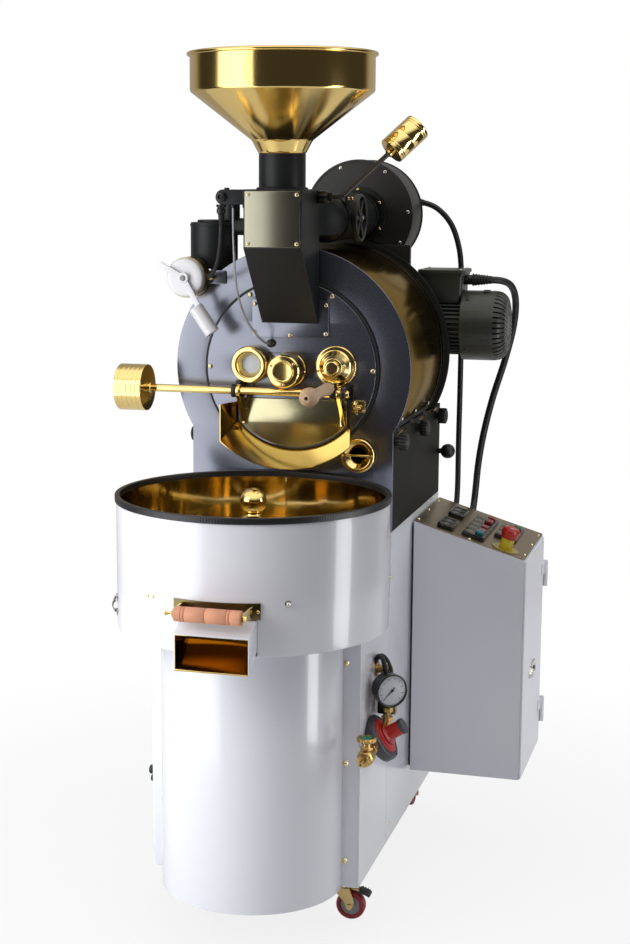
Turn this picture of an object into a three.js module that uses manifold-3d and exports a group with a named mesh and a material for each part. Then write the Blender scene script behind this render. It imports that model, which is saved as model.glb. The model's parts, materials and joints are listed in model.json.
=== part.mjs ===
// Shop coffee roaster of about six kilograms, on castors, in millimetres with +Z up.
// X runs to the machine's right side, Y from the front to the rear, Z up from the floor.
// The drum axis lies along Y at X = 0, and Y = 0 is the face of the front disc.
import * as THREE from 'three';
import { mergeVertices } from 'three/addons/utils/BufferGeometryUtils.js';
import Module from 'manifold-3d';

const wasm = await Module();
wasm.setup();

// Shared fits and tools
const seat = 0.3;
const overrun = 30;
const slip = 0.4;
const weld = 0.0001;
const fine = 36;
const round = 20;
const coarse = 16;
const small = 10;
const tiny = 8;
const right = Math.PI / 2;
const degree = Math.PI / 180;

// Base cabinet
const baseHalf = 217;
const baseFront = -254;
const baseRear = 524;
const baseBottom = 83;
const stepTop = 618.7;
const baseTop = 758;
const baseWall = 3;
const frontCutHalf = 150;
const frontCutMargin = 30;
const hatchFront = -248;
const hatchRear = -18;
const hatchLow = 108;
const hatchHigh = 418;
const hatchProud = 4;

// Castors
const wheelRadius = 30;
const wheelHalf = 11;
const hubRadius = 12;
const hubHalf = 13.5;
const axleRadius = 4;
const forkGap = 15;
const forkSheet = 2.5;
const forkTop = 70;
const forkNeck = 19;
const trail = 20;
const castorPlateHalf = 34;
const castorPlate = 3;
const swivelRadius = 21;
const kingpinRadius = 6;
const castorX = 172;
const castorFrontY = -212;
const castorRearY = 470;
const pedalReach = 62;
const pedalHalf = 12;
const pedalDrop = 22;
const pedalThick = 6;

// Front shell
const shellRadius = 183;
const shellSheet = 2;
const shellLip = 30;

// Cooling tray
const trayY = -266;
const trayRadius = 267;
const trayWall = 3;
const trayTop = 868;
const trayFloorBottom = 703;
const trayFloorSheet = 3;
const trayLedge = 12;
const plenumHole = 55;
const plenumHoleY = -150;
const trimLip = 3;
const trimHeight = 14;
const trimWall = 4;
const floorSlots = 16;
const floorSlotRows = 2;
const floorSlotInner = 60;
const floorSlotLength = 56;
const floorSlotPitch = 90;
const floorSlotWidth = 5;

// Agitator and its drive
const stirShaft = 9;
const stirHub = 24;
const stirHubTop = 838;
const stirNeck = 14;
const ballRadius = 23;
const ballZ = 866;
const stirArmZ = 768;
const stirArmHalf = 7;
const stirReach = 246;
const paddleLow = 709;
const paddleSheet = 4;
const paddleLength = 74;
const paddleLean = 28;
const stirArms = 4;
const stirBox = 46;
const stirBoxDepth = 70;
const stirMotor = 42;
const stirMotorLength = 120;

// Cooling gate and spout
const spoutX = 12;
const spoutHalf = 72;
const spoutSheet = 2;
const mouthY = -570;
const mouthTop = 666;
const mouthBottom = 596;
const spoutInnerY = -446;
const spoutNeckY = -512;
const spoutRise = 684;
const spoutLid = 688;
const gateThick = 3;
const gateHalf = 68;
const gateInnerY = -448;
const dropFrontY = -508;
const dropRearY = -456;
const dropHalf = 60;
const gateX = 8;
const gateFaceHalf = 82;
const gateFaceLow = 690;
const gateFaceHigh = 721;
const gateFaceSheet = 3;
const gateArmReach = 50;
const gateArmSheet = 4;
const rollerX = 11;
const rollerHalf = 64;
const rollerRadius = 14;
const rollerZ = 707;
const rollerPin = 4;
const rollerGroove = 1.2;
const gateTravel = 66;

// Drum, jacket and plates
const drumZ = 1093;
const discRadius = 183.5;
const plateFront = 10;
const plateThick = 6;
const plateRadius = 252;
const drumHole = 165;
const jacketRadius = 245;
const jacketWall = 3;
const rearPlateFront = 404;
const rearPlateThick = 8;
const rearPlateRadius = 258;
const frameTop = 967;
const frameWall = 3;
const deckSheet = 4;
const deckFront = 414;
const frameSill = 3.3;
const drumRadius = 158;
const drumWall = 3;
const drumFront = 22;
const drumRear = 396;
const drumShaft = 15;
const drumShaftFront = -44;
const drumShaftRear = 528;
const vaneDepth = 34;
const vaneThick = 3;
const vaneCount = 4;
const vaneTwist = 50;
const spiderHalf = 9;
const spiderThick = 8;
const ventRadius = 26;
const ventCircle = 95;

// Ports on the front disc
const capBase = 35;
const capBaseDepth = 14;
const capRadius = 31;
const capFront = -60;
const capDisc = 17.5;
const capDiscProud = 4;
const capRim = 2;
const sightX = -82;
const sightZ = 1101;
const sightRadius = 35;
const sightDepth = 30;
const sightGlass = 19;
const sightMouth = 27;
const sightGlassY = -9;
const sightPane = 4;
const trierX = 98;
const trierZ = 1101;
const trierFlange = 35.5;
const trierFlangeDepth = 8;
const trierBoss = 27;
const trierTip = 17;
const trierBossFront = -34;
const trierTube = 10;
const trierKnob = 15;
const trierKnobDepth = 10;
const trierReach = 120;
const trierTravel = 130;
const portX = 146;
const portZ = 918;
const portRadius = 36;
const portDepth = 20;
const portBore = 16;
const portMouth = 26;
const portBar = 3;

// Discharge door, shaft, weight and handle
const doorX = 7;
const doorHalf = 115;
const doorTop = 1030;
const doorStraight = 49;
const doorSag = 50;
const doorThick = 5;
const doorLap = 9;
const hingeY = -45;
const hingeZ = 1049;
const hingeRadius = 8;
const tongueLeft = -98;
const tongueRight = 116;
const tongueWidth = 8;
const tongueRing = 13;
const tongueDrop = 50;
const tongueFoot = 7;
const bearingLeft = -108;
const bearingRight = 126;
const bearingWidth = 8;
const bearingHalf = 14;
const weightRadius = 48.5;
const weightLength = 60;
const weightRight = -298;
const weightGroove = 1.5;
const weightGrooves = 4;
const shaftRight = 137;
const handleX = 104;
const handleLift = 16;
const clampWidth = 12;
const clampHalf = 14;
const studRadius = 5;
const studFront = -110;
const gripRear = -84;
const gripLength = 178;
const gripNeck = 12;
const gripWaist = 11;
const gripBulb = 19;
const doorSheet = 1.6;

// Discharge trough
const troughBackHalf = 121;
const troughFrontHalf = 139;
const troughTop = 1022;
const troughBackStraight = 41;
const troughFrontStraight = 77;
const troughBackSag = 56;
const troughFrontSag = 53;
const troughReach = 70;

// Charge box, neck and hopper
const boxHalf = 60;
const boxFront = -138;
const boxTop = 1460;
const boxElbow = 1344;
const boxToe = 1178;
const boxToeY = -12;
const boxSheet = 3;
const chuteHalf = 50;
const chuteLow = 1190;
const chuteHigh = 1242;
const flangeHalf = 82;
const flangeLow = 1157;
const flangeHigh = 1236;
const flangeThick = 4;
const hopperY = -67.5;
const neckRadius = 47;
const neckWall = 3;
const neckTop = 1531;
const coneFoot = 1557;
const bandFoot = 1652;
const rimZ = 1727;
const coneRadius = 62;
const bandRadius = 184;
const rimRadius = 190;
const rimRoll = 4;
const hopperSheet = 2;
const cableArmReach = 118;
const cableArmLow = 1430;
const cableArmFront = -135;
const cableArmRear = -121;
const glandRadius = 9;
const glandDepth = 14;

// Charge gate lever
const leverY = -14;
const leverZ = 1445;
const leverShaft = 6;
const flapHalf = 56;
const flapReach = 104;
const flapThick = 3;
const leverHub = 13;
const leverHubLength = 22;
const leverNut = 9;
const leverNutLength = 12;
const leverRod = 5;
const leverElbow = 110;
const leverNear = 140;
const leverOut = 0.615;
const leverBack = 0.442;
const leverUp = 0.65;
const leverWeight = 28.5;
const leverWeightLength = 77;
const leverWeightGroove = 1.5;

// Exhaust duct, damper and side can
const ductX = 40;
const ductZ = 1400;
const ductRadius = 50;
const ductWall = 3;
const ductBoxHalf = 48;
const ductBoxX = 6;
const ductBoxZ = 1411;
const ductBoxTall = 47;
const ductStraight = 40;
const ductRoundY = 118;
const damperY = 150;
const damperBlade = 45;
const damperThick = 3;
const damperPin = 5;
const damperWheelX = 101;
const damperWheel = 50;
const damperRim = 8;
const damperWheelDepth = 13;
const damperHub = 12;
const canX = -187;
const canY = 67;
const canRadius = 50;
const canLow = 1295;
const canHigh = 1391;
const canLid = 5;
const canPipe = 20;
const canPipeX = -151;
const canPipeTop = 1446;
const canLegX = -170;
const canLeg = 24;
const canStubZ = 1382;
const canStub = 18;

// Exhaust fan
const fanRadius = 125;
const fanFront = 425;
const fanDepth = 117;
const fanWall = 3;
const fanEye = 47;
const fanMotor = 58;
const fanMotorLength = 105;
const fanBoxShare = 1.4;
const fanFootHalf = 108;
const fanFootLow = 1245;
const fanFootX = 55;
const fanOutletWidth = 72;
const fanOutletLow = 1268;
const impellerRadius = 104;
const impellerFront = 14;
const impellerRear = 20;
const impellerPlate = 3;
const impellerBlades = 10;
const impellerBladeInner = 62;
const impellerShaft = 8;
const impellerHub = 20;
const impellerReach = 40;

// Drive
const gearHalf = 58;
const gearFront = 430;
const gearDepth = 100;
const gearLow = 1030;
const gearHigh = 1222;
const gearFootHalf = 44;
const motorY = 486;
const motorZ = 1153;
const motorFlange = 66;
const motorFlangeThick = 12;
const motorBody = 60;
const motorFins = 20;
const motorFinTip = 68;
const motorBodyEnd = 279;
const cowlRadius = 79;
const cowlEnd = 378;
const terminalLeft = 180;
const terminalRight = 279;
const terminalHalf = 48;
const terminalLow = 1206;
const terminalHigh = 1280;
const terminalLid = 8;
const terminalLip = 4;
const terminalGland = 1256;

// Control cabinet and panel
const cabinetRight = 465;
const cabinetFront = 216;
const cabinetRear = 520;
const cabinetBottom = 175;
const cabinetHigh = 744;
const cabinetLow = 669;
const cabinetSheet = 3;
const panelSheet = 2;
const panelLap = 3;
const cabinetDoor = 4;
const doorGap = 2;
const knuckleRadius = 6;
const knuckleLength = 40;
const knuckleHighShare = 0.8;
const knuckleLowShare = 0.14;
const lockZ = 393;
const lockY = 372;
const lockRadius = 8;
const lockProud = 10;
const controllerWide = 37;
const controllerDeep = 78;
const controllerProud = 9;
const controllerAt = 51;
const controllerFrontY = 243;
const controllerRearY = 374;
const blockOneAt = 108;
const blockTwoAt = 169;
const blockWide = 52;
const blockRearY = 457;
const blockOneY = 247;
const blockTwoY = 331;
const blockProud = 8;
const blockPitch = 42;
const capWide = 17;
const capDeep = 25;
const capTall = 11;
const capTravel = 4;
const capSocket = 7;
const capShare = 0.68;
const stopAt = 208;
const stopY = 254;
const stopPlate = 30;
const stopPlateThick = 2;
const stopCollar = 14;
const stopCollarTall = 32;
const stopCap = 20;
const stopCapTall = 14;
const stopStem = 7;
const stopTravel = 5;

// Gas train
const pipeOut = 23;
const pipeX = baseHalf + pipeOut;
const pipeZ = 374;
const pipeRadius = 9;
const nozzleY = -350;
const nozzleLength = 26;
const nozzleRadius = 6;
const valveY = -300;
const valveHalf = 17;
const valveStem = 8;
const valveStemTop = 414;
const handleDiscRadius = 20;
const handleDiscThick = 9;
const regulatorY = -178;
const regulatorRadius = 49;
const regulatorThick = 26;
const regulatorTilt = 33;
const knobRadius = 15;
const knobLength = 42;
const knobBase = 24;
const gaugeOut = 22;
const gaugeX = pipeX + gaugeOut;
const gaugeZ = 476;
const gaugeRadius = 34;
const gaugeDepth = 26;
const gaugeTurn = 40;
const gaugeRim = 3;
const gaugeSink = 4;
const feedY = -116;
const feedZ = 500;
const solenoidHalf = 17;
const burnerZ = 800;
const burnerFront = 60;
const burnerRear = 380;
const burnerRadius = 11;
const burnerX = 70;

// Work lamp
const lampX = -218;
const lampZ = 1279;
const lampRadius = 41;
const lampFront = -54;
const lampBell = 30;
const lampStrapEnd = -142;
const lampStrapHalf = 14;
const lampStrapThick = 3;
const lampPin = 5;
const lampArmThick = 4;
const lampArmHalf = 6;
const lampArmUp = 55;
const lampArmDown = 73;
const lampUpTurn = 142;
const lampDownTurn = -60;
const lampHeadTurn = -54;
const lampHead = 15.5;
const lampHeadLength = 58;
const lampHeadSheet = 2;

// Cables
const lampCable = 4;
const probeWire = 2.5;
const fanCable = 6.5;
const motorCable = 8;
const motorGland = 11;

// Finishes
const finish = (color, roughness, metalness) =>
  new THREE.MeshStandardMaterial({ color, roughness, metalness });
const whitePaint = () => finish(0xe9eaee, 0.28, 0);
const greyPaint = () => finish(0xc3c5cb, 0.4, 0);
const darkPaint = () => finish(0x5d6478, 0.55, 0.1);
const blackPaint = () => finish(0x23252a, 0.5, 0.1);
const brass = () => finish(0xd9a441, 0.15, 1);
const steel = () => finish(0xb5aa98, 0.22, 1);
const zinc = () => finish(0xc9a55c, 0.35, 0.9);
const rubber = () => finish(0x1c1c1e, 0.85, 0);
const wood = () => finish(0xcfa987, 0.6, 0);
const redPlastic = () => finish(0xd3261c, 0.35, 0);

// A closed body from a geometry, with its faces turned outward
function solid(geometry) {
  const bare = geometry.clone();
  for (const extra of ['normal', 'uv', 'color']) bare.deleteAttribute(extra);
  const merged = mergeVertices(bare, weld);
  const at = merged.attributes.position;
  const index = Array.from(merged.index.array);
  const corner = [new THREE.Vector3(), new THREE.Vector3(), new THREE.Vector3()];
  let volume = 0;
  const kept = [];
  for (let i = 0; i < index.length; i += 3) {
    const face = index.slice(i, i + 3);
    if (new Set(face).size < 3) continue;
    face.forEach((v, k) => corner[k].fromBufferAttribute(at, v));
    volume += corner[0].dot(corner[1].clone().cross(corner[2]));
    kept.push(face);
  }
  const triVerts = kept.flatMap(([a, b, c]) => (volume < 0 ? [a, c, b] : [a, b, c]));
  const vertProperties = new Float32Array(at.array);
  return new wasm.Manifold(new wasm.Mesh({ numProp: 3, vertProperties, triVerts: new Uint32Array(triVerts) }));
}

const asSolid = (thing) => (thing.isBufferGeometry ? solid(thing) : thing);
const join = (first, ...rest) => rest.reduce((sum, next) => sum.add(asSolid(next)), asSolid(first));
const cut = (first, ...tools) => tools.reduce((sum, tool) => sum.subtract(asSolid(tool)), asSolid(first));
const common = (first, second) => asSolid(first).intersect(asSolid(second));

// Box between two corners
function box(x0, x1, y0, y1, z0, z1) {
  const geometry = new THREE.BoxGeometry(x1 - x0, y1 - y0, z1 - z0);
  return geometry.translate((x0 + x1) / 2, (y0 + y1) / 2, (z0 + z1) / 2);
}

// Turn a shape made about Y so that it runs along the named axis, then set it down
function along(axis, geometry, a, b) {
  if (axis === 'x') return geometry.rotateZ(-right).translate(0, a, b);
  if (axis === 'z') return geometry.rotateX(right).translate(a, b, 0);
  return geometry.translate(a, 0, b);
}

// Cylinder along an axis; a and b are its place in the other two directions
function rod(axis, radius, from, to, a = 0, b = 0, sides = coarse) {
  const geometry = new THREE.CylinderGeometry(radius, radius, to - from, sides);
  return along(axis, geometry.translate(0, (from + to) / 2, 0), a, b);
}

// Body turned from a profile of radius and length along the axis
function turned(axis, profile, a = 0, b = 0, sides = round) {
  const points = profile.map(([radius, length]) => new THREE.Vector2(radius, length));
  return along(axis, new THREE.LatheGeometry(points, sides), a, b);
}

const pipe = (axis, outer, inner, from, to, a = 0, b = 0, sides = round) =>
  turned(axis, [[outer, from], [outer, to], [inner, to], [inner, from], [outer, from]], a, b, sides);

const outline = (points) => new THREE.Shape(points.map(([u, v]) => new THREE.Vector2(u, v)));

// Extrusion of a shape: 'xz' shapes run along Y, 'yz' shapes along X and 'xy' shapes along Z
function prism(plane, shape, from, to, curveSegments = small) {
  const options = { depth: to - from, bevelEnabled: false, curveSegments };
  const geometry = new THREE.ExtrudeGeometry(shape, options);
  if (plane === 'xz') return geometry.rotateX(right).translate(0, to, 0);
  if (plane === 'yz') {
    const swap = new THREE.Matrix4().set(0, 0, 1, 0, 1, 0, 0, 0, 0, 1, 0, 0, 0, 0, 0, 1);
    return geometry.applyMatrix4(swap).translate(from, 0, 0);
  }
  return geometry.translate(0, 0, from);
}

// Round section carried along a curve
function tube(radius, curve, steps, sides) {
  const section = new THREE.Shape();
  for (let i = 0; i < sides; i += 1) {
    const angle = (i / sides) * Math.PI * 2;
    const point = [radius * Math.cos(angle), radius * Math.sin(angle)];
    if (i === 0) section.moveTo(...point);
    else section.lineTo(...point);
  }
  return new THREE.ExtrudeGeometry(section, { steps, extrudePath: curve, bevelEnabled: false });
}

// Skin over rings of equal count, closed by flat ends; flat picks the two directions of an end
function loft(rings, flat) {
  const count = rings[0].length;
  const position = rings.flat().flatMap((p) => [p.x, p.y, p.z]);
  const index = [];
  for (let r = 0; r + 1 < rings.length; r += 1) {
    for (let i = 0; i < count; i += 1) {
      const a = r * count + i;
      const b = r * count + ((i + 1) % count);
      index.push(a, b, b + count, a, b + count, a + count);
    }
  }
  const last = (rings.length - 1) * count;
  const close = (ring, start, forward) => {
    const contour = ring.map(flat);
    const turn = Math.sign(THREE.ShapeUtils.area(contour));
    for (const [a, b, c] of THREE.ShapeUtils.triangulateShape(contour, [])) {
      const same = Math.sign(THREE.ShapeUtils.area([contour[a], contour[b], contour[c]])) === turn;
      const face = same === forward ? [a, b, c] : [a, c, b];
      index.push(...face.map((v) => v + start));
    }
  };
  close(rings[0], 0, false);
  close(rings[rings.length - 1], last, true);
  const geometry = new THREE.BufferGeometry();
  geometry.setAttribute('position', new THREE.Float32BufferAttribute(position, 3));
  geometry.setIndex(index);
  return geometry;
}

// Named mesh in its group
function piece(parent, name, body, material) {
  const mesh = asSolid(body).getMesh();
  const geometry = new THREE.BufferGeometry();
  geometry.setAttribute('position', new THREE.BufferAttribute(new Float32Array(mesh.vertProperties), 3));
  geometry.setIndex(new THREE.BufferAttribute(new Uint32Array(mesh.triVerts), 1));
  const made = new THREE.Mesh(geometry, material);
  made.name = name;
  parent.add(made);
  return made;
}

function place(parent, x, y, z, turnZ = 0) {
  const frame = new THREE.Group();
  frame.position.set(x, y, z);
  frame.rotation.set(0, 0, turnZ);
  parent.add(frame);
  return frame;
}

const group = new THREE.Group();

// Base cabinet on its castors
function baseBody() {
  const side = (inset) => outline([
    [baseFront + inset, baseBottom], [baseRear - inset, baseBottom], [baseRear - inset, baseTop - inset],
    [plateFront + inset, baseTop - inset], [plateFront + inset, stepTop - inset], [baseFront + inset, stepTop - inset],
  ]);
  const inner = join(
    prism('yz', side(baseWall), -baseHalf + baseWall, baseHalf - baseWall),
    box(baseWall - baseHalf, baseHalf - baseWall, baseFront + baseWall, baseRear - baseWall,
      baseBottom - overrun, baseBottom + overrun),
  );
  const doorway = box(-frontCutHalf, frontCutHalf, baseFront - overrun, baseFront + overrun,
    baseBottom + frontCutMargin, stepTop - frontCutMargin);
  const hatch = box(-baseHalf - hatchProud, -baseHalf + seat, hatchFront, hatchRear, hatchLow, hatchHigh);
  return cut(
    join(cut(prism('yz', side(0), -baseHalf, baseHalf), inner), hatch),
    doorway,
    rod('z', plenumHole, stepTop - overrun, stepTop + overrun, 0, plenumHoleY, round),
    rod('z', stirBox + slip, stepTop - stirBoxDepth, stepTop + overrun, 0, trayY, round),
    rod('x', pipeRadius + slip, baseHalf - overrun, baseHalf + overrun, feedY, feedZ),
    rod('z', pipeRadius + slip, baseTop - overrun, baseTop + overrun, frontCutHalf, burnerRisesY()),
  );
}

const burnerRisesY = () => burnerFront + overrun;

function castorLegs(axis, x, y) {
  const a = axleRadius + forkSheet;
  const leg = outline([
    [-forkNeck, forkTop], [trail - forkNeck / 2, wheelRadius + a], [trail - a, wheelRadius],
    [trail - a / 2, wheelRadius - a], [trail + a / 2, wheelRadius - a], [trail + a, wheelRadius],
    [trail + forkNeck / 2, wheelRadius + forkNeck], [forkNeck, forkTop],
  ]);
  const sheets = [forkGap, -forkGap - forkSheet].map((from) => prism('xz', leg, from, from + forkSheet));
  const bridge = box(-forkNeck, forkNeck, -forkGap - forkSheet, forkGap + forkSheet, forkTop - forkSheet, forkTop);
  const axle = rod('y', axleRadius, -forkGap - forkSheet, forkGap + forkSheet, trail, wheelRadius, small);
  const legs = join(...sheets, bridge, axle);
  return (axis === 'y' ? legs : legs.rotate([0, 0, 90])).translate([x, y, 0]);
}

function baseFloor() {
  const inset = baseWall + seat;
  let floor = asSolid(box(inset - baseHalf, baseHalf - inset, baseFront + inset, baseRear - inset,
    baseBottom, baseBottom + castorPlate));
  for (const x of [-castorX, castorX]) {
    for (const y of [castorFrontY, castorRearY]) {
      const plate = box(x - castorPlateHalf, x + castorPlateHalf, y - castorPlateHalf, y + castorPlateHalf,
        baseBottom - castorPlate, baseBottom + seat);
      floor = join(floor, plate);
    }
    const pin = turned('z', [[0, forkTop - kingpinRadius], [kingpinRadius, forkTop - kingpinRadius],
      [kingpinRadius, baseBottom], [0, baseBottom]], x, castorFrontY, small);
    const neck = rod('z', forkNeck, forkTop - seat, baseBottom, x, castorRearY);
    floor = join(floor, pin, neck, castorLegs('x', x, castorRearY - trail));
  }
  return floor;
}

function frontFork() {
  const race = rod('z', swivelRadius, forkTop - seat, baseBottom - castorPlate - seat, 0, 0);
  const pedal = outline([
    [0, forkTop], [forkNeck, forkTop], [pedalReach - pedalThick, forkTop - pedalDrop / 2],
    [pedalReach, forkTop - pedalDrop / 2 - pedalThick], [pedalReach - pedalThick, forkTop - pedalDrop / 2 - pedalThick],
    [forkNeck + pedalThick, forkTop - pedalThick], [0, forkTop - pedalThick],
  ]);
  const fork = join(castorLegs('y', 0, 0), race, prism('xz', pedal, -pedalHalf, pedalHalf));
  return cut(fork, rod('z', kingpinRadius + slip, forkTop - overrun / 2, baseBottom, 0, 0, small));
}

function castorWheel(axis) {
  const bore = axleRadius + slip;
  const profile = [
    [bore, -hubHalf], [hubRadius, -hubHalf], [hubRadius, -wheelHalf], [wheelRadius - forkSheet, -wheelHalf],
    [wheelRadius, forkSheet - wheelHalf], [wheelRadius, wheelHalf - forkSheet], [wheelRadius - forkSheet, wheelHalf],
    [hubRadius, wheelHalf], [hubRadius, hubHalf], [bore, hubHalf], [bore, -hubHalf],
  ];
  return turned(axis, profile, 0, 0, round);
}

function frontShell() {
  const edge = baseFront - seat;
  const flange = shellRadius + shellLip;
  const curve = common(
    pipe('z', shellRadius, shellRadius - shellSheet, baseBottom, stepTop, 0, trayY, fine),
    box(-flange, flange, trayY - shellRadius - overrun, edge, baseBottom - overrun, stepTop + overrun),
  );
  const inner = shellRadius - shellSheet;
  return join(curve,
    box(inner, flange, edge - shellSheet, edge, baseBottom, stepTop),
    box(-flange, -inner, edge - shellSheet, edge, baseBottom, stepTop));
}

// Dark frame that carries the drum
function upperFrame() {
  const low = baseTop + seat;
  const front = plateFront + plateThick + seat;
  const shell = join(
    box(-baseHalf, baseHalf, front, baseRear, low, low + frameWall),
    box(baseHalf - frameWall, baseHalf, front, baseRear, low, frameTop),
    box(-baseHalf, frameWall - baseHalf, front, baseRear, low, frameTop),
    box(-baseHalf, baseHalf, baseRear - frameWall, baseRear, low, frameTop),
    box(-baseHalf, baseHalf, deckFront, baseRear, frameTop - deckSheet, frameTop),
  );
  return cut(shell, rod('z', pipeRadius + slip, low - overrun, low + overrun, frontCutHalf, burnerRisesY()));
}

function roundedPlate(radius, half, foot, shoulder, y0, y1) {
  return join(
    rod('y', radius, y0, y1, 0, drumZ, fine),
    box(-half, half, y0, y1, foot, shoulder),
  );
}

function frontPlate() {
  const back = plateFront + plateThick;
  const plate = roundedPlate(plateRadius, baseHalf, baseTop + seat, frameTop, plateFront, back);
  return cut(plate,
    rod('y', drumHole, 0, back + overrun, 0, drumZ, fine),
    rod('y', portBore, 0, back + overrun, portX, portZ));
}

function rearPlate() {
  const back = rearPlateFront + rearPlateThick;
  const half = baseHalf - frameWall - seat;
  const upper = common(
    rod('y', rearPlateRadius, rearPlateFront, back, 0, drumZ, fine),
    box(-rearPlateRadius, rearPlateRadius, rearPlateFront, back, frameTop + seat, drumZ + rearPlateRadius),
  );
  const lower = box(-half, half, rearPlateFront, back, baseTop + frameSill + seat, drumZ);
  return cut(join(upper, lower), rod('y', drumShaft + slip, rearPlateFront - overrun, back + overrun, 0, drumZ));
}

function drumJacket() {
  const front = plateFront + plateThick + seat;
  const rear = rearPlateFront - seat;
  const flame = box(-jacketRadius / 2, jacketRadius / 2, front + overrun, rear - overrun,
    drumZ - jacketRadius - overrun, drumZ - jacketRadius / 2);
  return cut(pipe('y', jacketRadius, jacketRadius - jacketWall, front, rear, 0, drumZ, fine), flame);
}

// Turning drum with its vanes and shaft
function vane(turn) {
  const rings = [];
  const steps = 4;
  for (let i = 0; i <= steps; i += 1) {
    const share = i / steps;
    const y = drumFront + seat + (drumRear - drumFront - seat * 2) * share;
    const angle = turn + vaneTwist * degree * share;
    const out = [Math.cos(angle), Math.sin(angle)];
    const side = [-Math.sin(angle) * vaneThick / 2, Math.cos(angle) * vaneThick / 2];
    const at = (radius, sign) => new THREE.Vector3(
      out[0] * radius + side[0] * sign, y, drumZ + out[1] * radius + side[1] * sign);
    const low = drumRadius - drumWall - vaneDepth;
    const high = drumRadius - drumWall / 2;
    rings.push([at(low, -1), at(high, -1), at(high, 1), at(low, 1)]);
  }
  return loft(rings, (p) => new THREE.Vector2(p.x, p.z));
}

function drum() {
  let body = asSolid(pipe('y', drumRadius, drumRadius - drumWall, drumFront, drumRear, 0, drumZ, fine));
  for (let i = 0; i < vaneCount; i += 1) body = join(body, vane((i / vaneCount) * Math.PI * 2));
  let back = asSolid(rod('y', drumRadius - drumWall / 2, drumRear - spiderThick, drumRear, 0, drumZ, fine));
  for (let i = 0; i < 6; i += 1) {
    const angle = (i / 6) * Math.PI * 2;
    back = cut(back, rod('y', ventRadius, drumRear - overrun, drumRear + overrun,
      ventCircle * Math.cos(angle), drumZ + ventCircle * Math.sin(angle), small));
  }
  const armY = (drumFront + drumRear) / 2;
  for (let i = 0; i < 3; i += 1) {
    const arm = asSolid(box(0, drumRadius - drumWall / 2, armY, armY + spiderThick, -spiderHalf, spiderHalf));
    body = join(body, arm.rotate([0, i * 120 + 30, 0]).translate([0, 0, drumZ]));
  }
  return join(body, back, rod('y', drumShaft, drumShaftFront, drumShaftRear, 0, drumZ));
}

// Front disc with its openings and hinge posts
function doorShape(half, top, straight, sag) {
  const radius = (half * half + sag * sag) / (2 * sag);
  const centre = top - straight - sag + radius;
  const sweep = Math.asin(half / radius);
  const points = [[-half, top]];
  const steps = 10;
  for (let i = 0; i <= steps; i += 1) {
    const angle = -sweep + (2 * sweep * i) / steps;
    points.push([radius * Math.sin(angle), centre - radius * Math.cos(angle)]);
  }
  points.push([half, top]);
  return outline(points.map(([x, z]) => [x + doorX, z]));
}

function screwHead(x, z, y, radius) {
  return rod('y', radius, y - radius / 2, y + seat, x, z, small);
}

function frontDisc() {
  let disc = asSolid(rod('y', discRadius, 0, plateFront - seat, 0, drumZ, fine));
  const circle = discRadius - capDiscProud - seat * 10;
  for (let i = 0; i < 6; i += 1) {
    const angle = (i / 6) * Math.PI * 2;
    disc = join(disc, screwHead(circle * Math.cos(angle), drumZ + circle * Math.sin(angle), 0, capDiscProud));
  }
  for (const x of [bearingLeft, bearingRight]) {
    disc = join(disc,
      box(x - bearingWidth / 2, x + bearingWidth / 2, hingeY, seat, hingeZ - bearingHalf, hingeZ + bearingHalf),
      rod('x', bearingHalf, x - bearingWidth / 2, x + bearingWidth / 2, hingeY, hingeZ));
  }
  const window = doorShape(doorHalf - doorLap, doorTop - doorLap, doorStraight - doorLap, doorSag - doorLap / 2);
  return cut(disc,
    prism('xz', window, -overrun / 2, overrun, coarse),
    box(-chuteHalf, chuteHalf, -overrun, overrun, chuteLow, chuteHigh),
    rod('y', sightMouth - capDiscProud, -overrun, overrun, sightX, sightZ),
    rod('y', trierTube + slip * 2, -overrun, overrun, trierX, trierZ),
    rod('y', drumShaft + slip, -overrun, overrun, 0, drumZ),
    rod('x', hingeRadius + slip, bearingLeft - overrun, bearingRight + overrun, hingeY, hingeZ));
}

function bearingCap() {
  const back = -seat;
  const profile = [
    [0, capFront - capDiscProud], [capDisc, capFront - capDiscProud], [capDisc, capFront], [capRadius - capRim, capFront],
    [capRadius, capFront + capRim], [capRadius, -capBaseDepth], [capBase, -capBaseDepth], [capBase, back],
    [drumShaft + slip, back], [drumShaft + slip, drumShaftFront - seat * 3], [0, drumShaftFront - seat * 3],
  ];
  return turned('y', profile, 0, drumZ, round);
}

function sightPort() {
  const profile = [
    [sightMouth, -sightDepth], [sightRadius, -sightDepth], [sightRadius, -seat],
    [sightGlass, -seat], [sightGlass, sightGlassY - sightPane], [sightMouth, -sightDepth],
  ];
  const pane = rod('y', sightGlass + seat, sightGlassY - sightPane * 2, sightGlassY, sightX, sightZ);
  return join(turned('y', profile, sightX, sightZ, round), pane);
}

function trierPort() {
  const bore = trierTube + slip;
  const profile = [
    [bore, -seat], [trierFlange, -seat], [trierFlange, -trierFlangeDepth], [trierBoss, -trierFlangeDepth],
    [trierTip, trierBossFront], [bore, trierBossFront], [bore, -seat],
  ];
  return turned('y', profile, trierX, trierZ, round);
}

function trier() {
  const front = trierBossFront - seat;
  const knob = turned('y', [
    [0, front - trierKnobDepth], [trierKnob - capRim, front - trierKnobDepth], [trierKnob, front - trierKnobDepth + capRim],
    [trierKnob, front], [trierTube, front], [trierTube, trierReach], [0, trierReach],
  ], trierX, trierZ, coarse);
  const scoop = box(trierX - trierKnob, trierX + trierKnob, overrun, trierReach - trierTube,
    trierZ - trierTube / 4, trierZ + trierKnob);
  const channel = rod('y', trierTube - capRim, overrun, trierReach - trierTube, trierX, trierZ, small);
  return cut(knob, scoop, channel);
}

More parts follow.
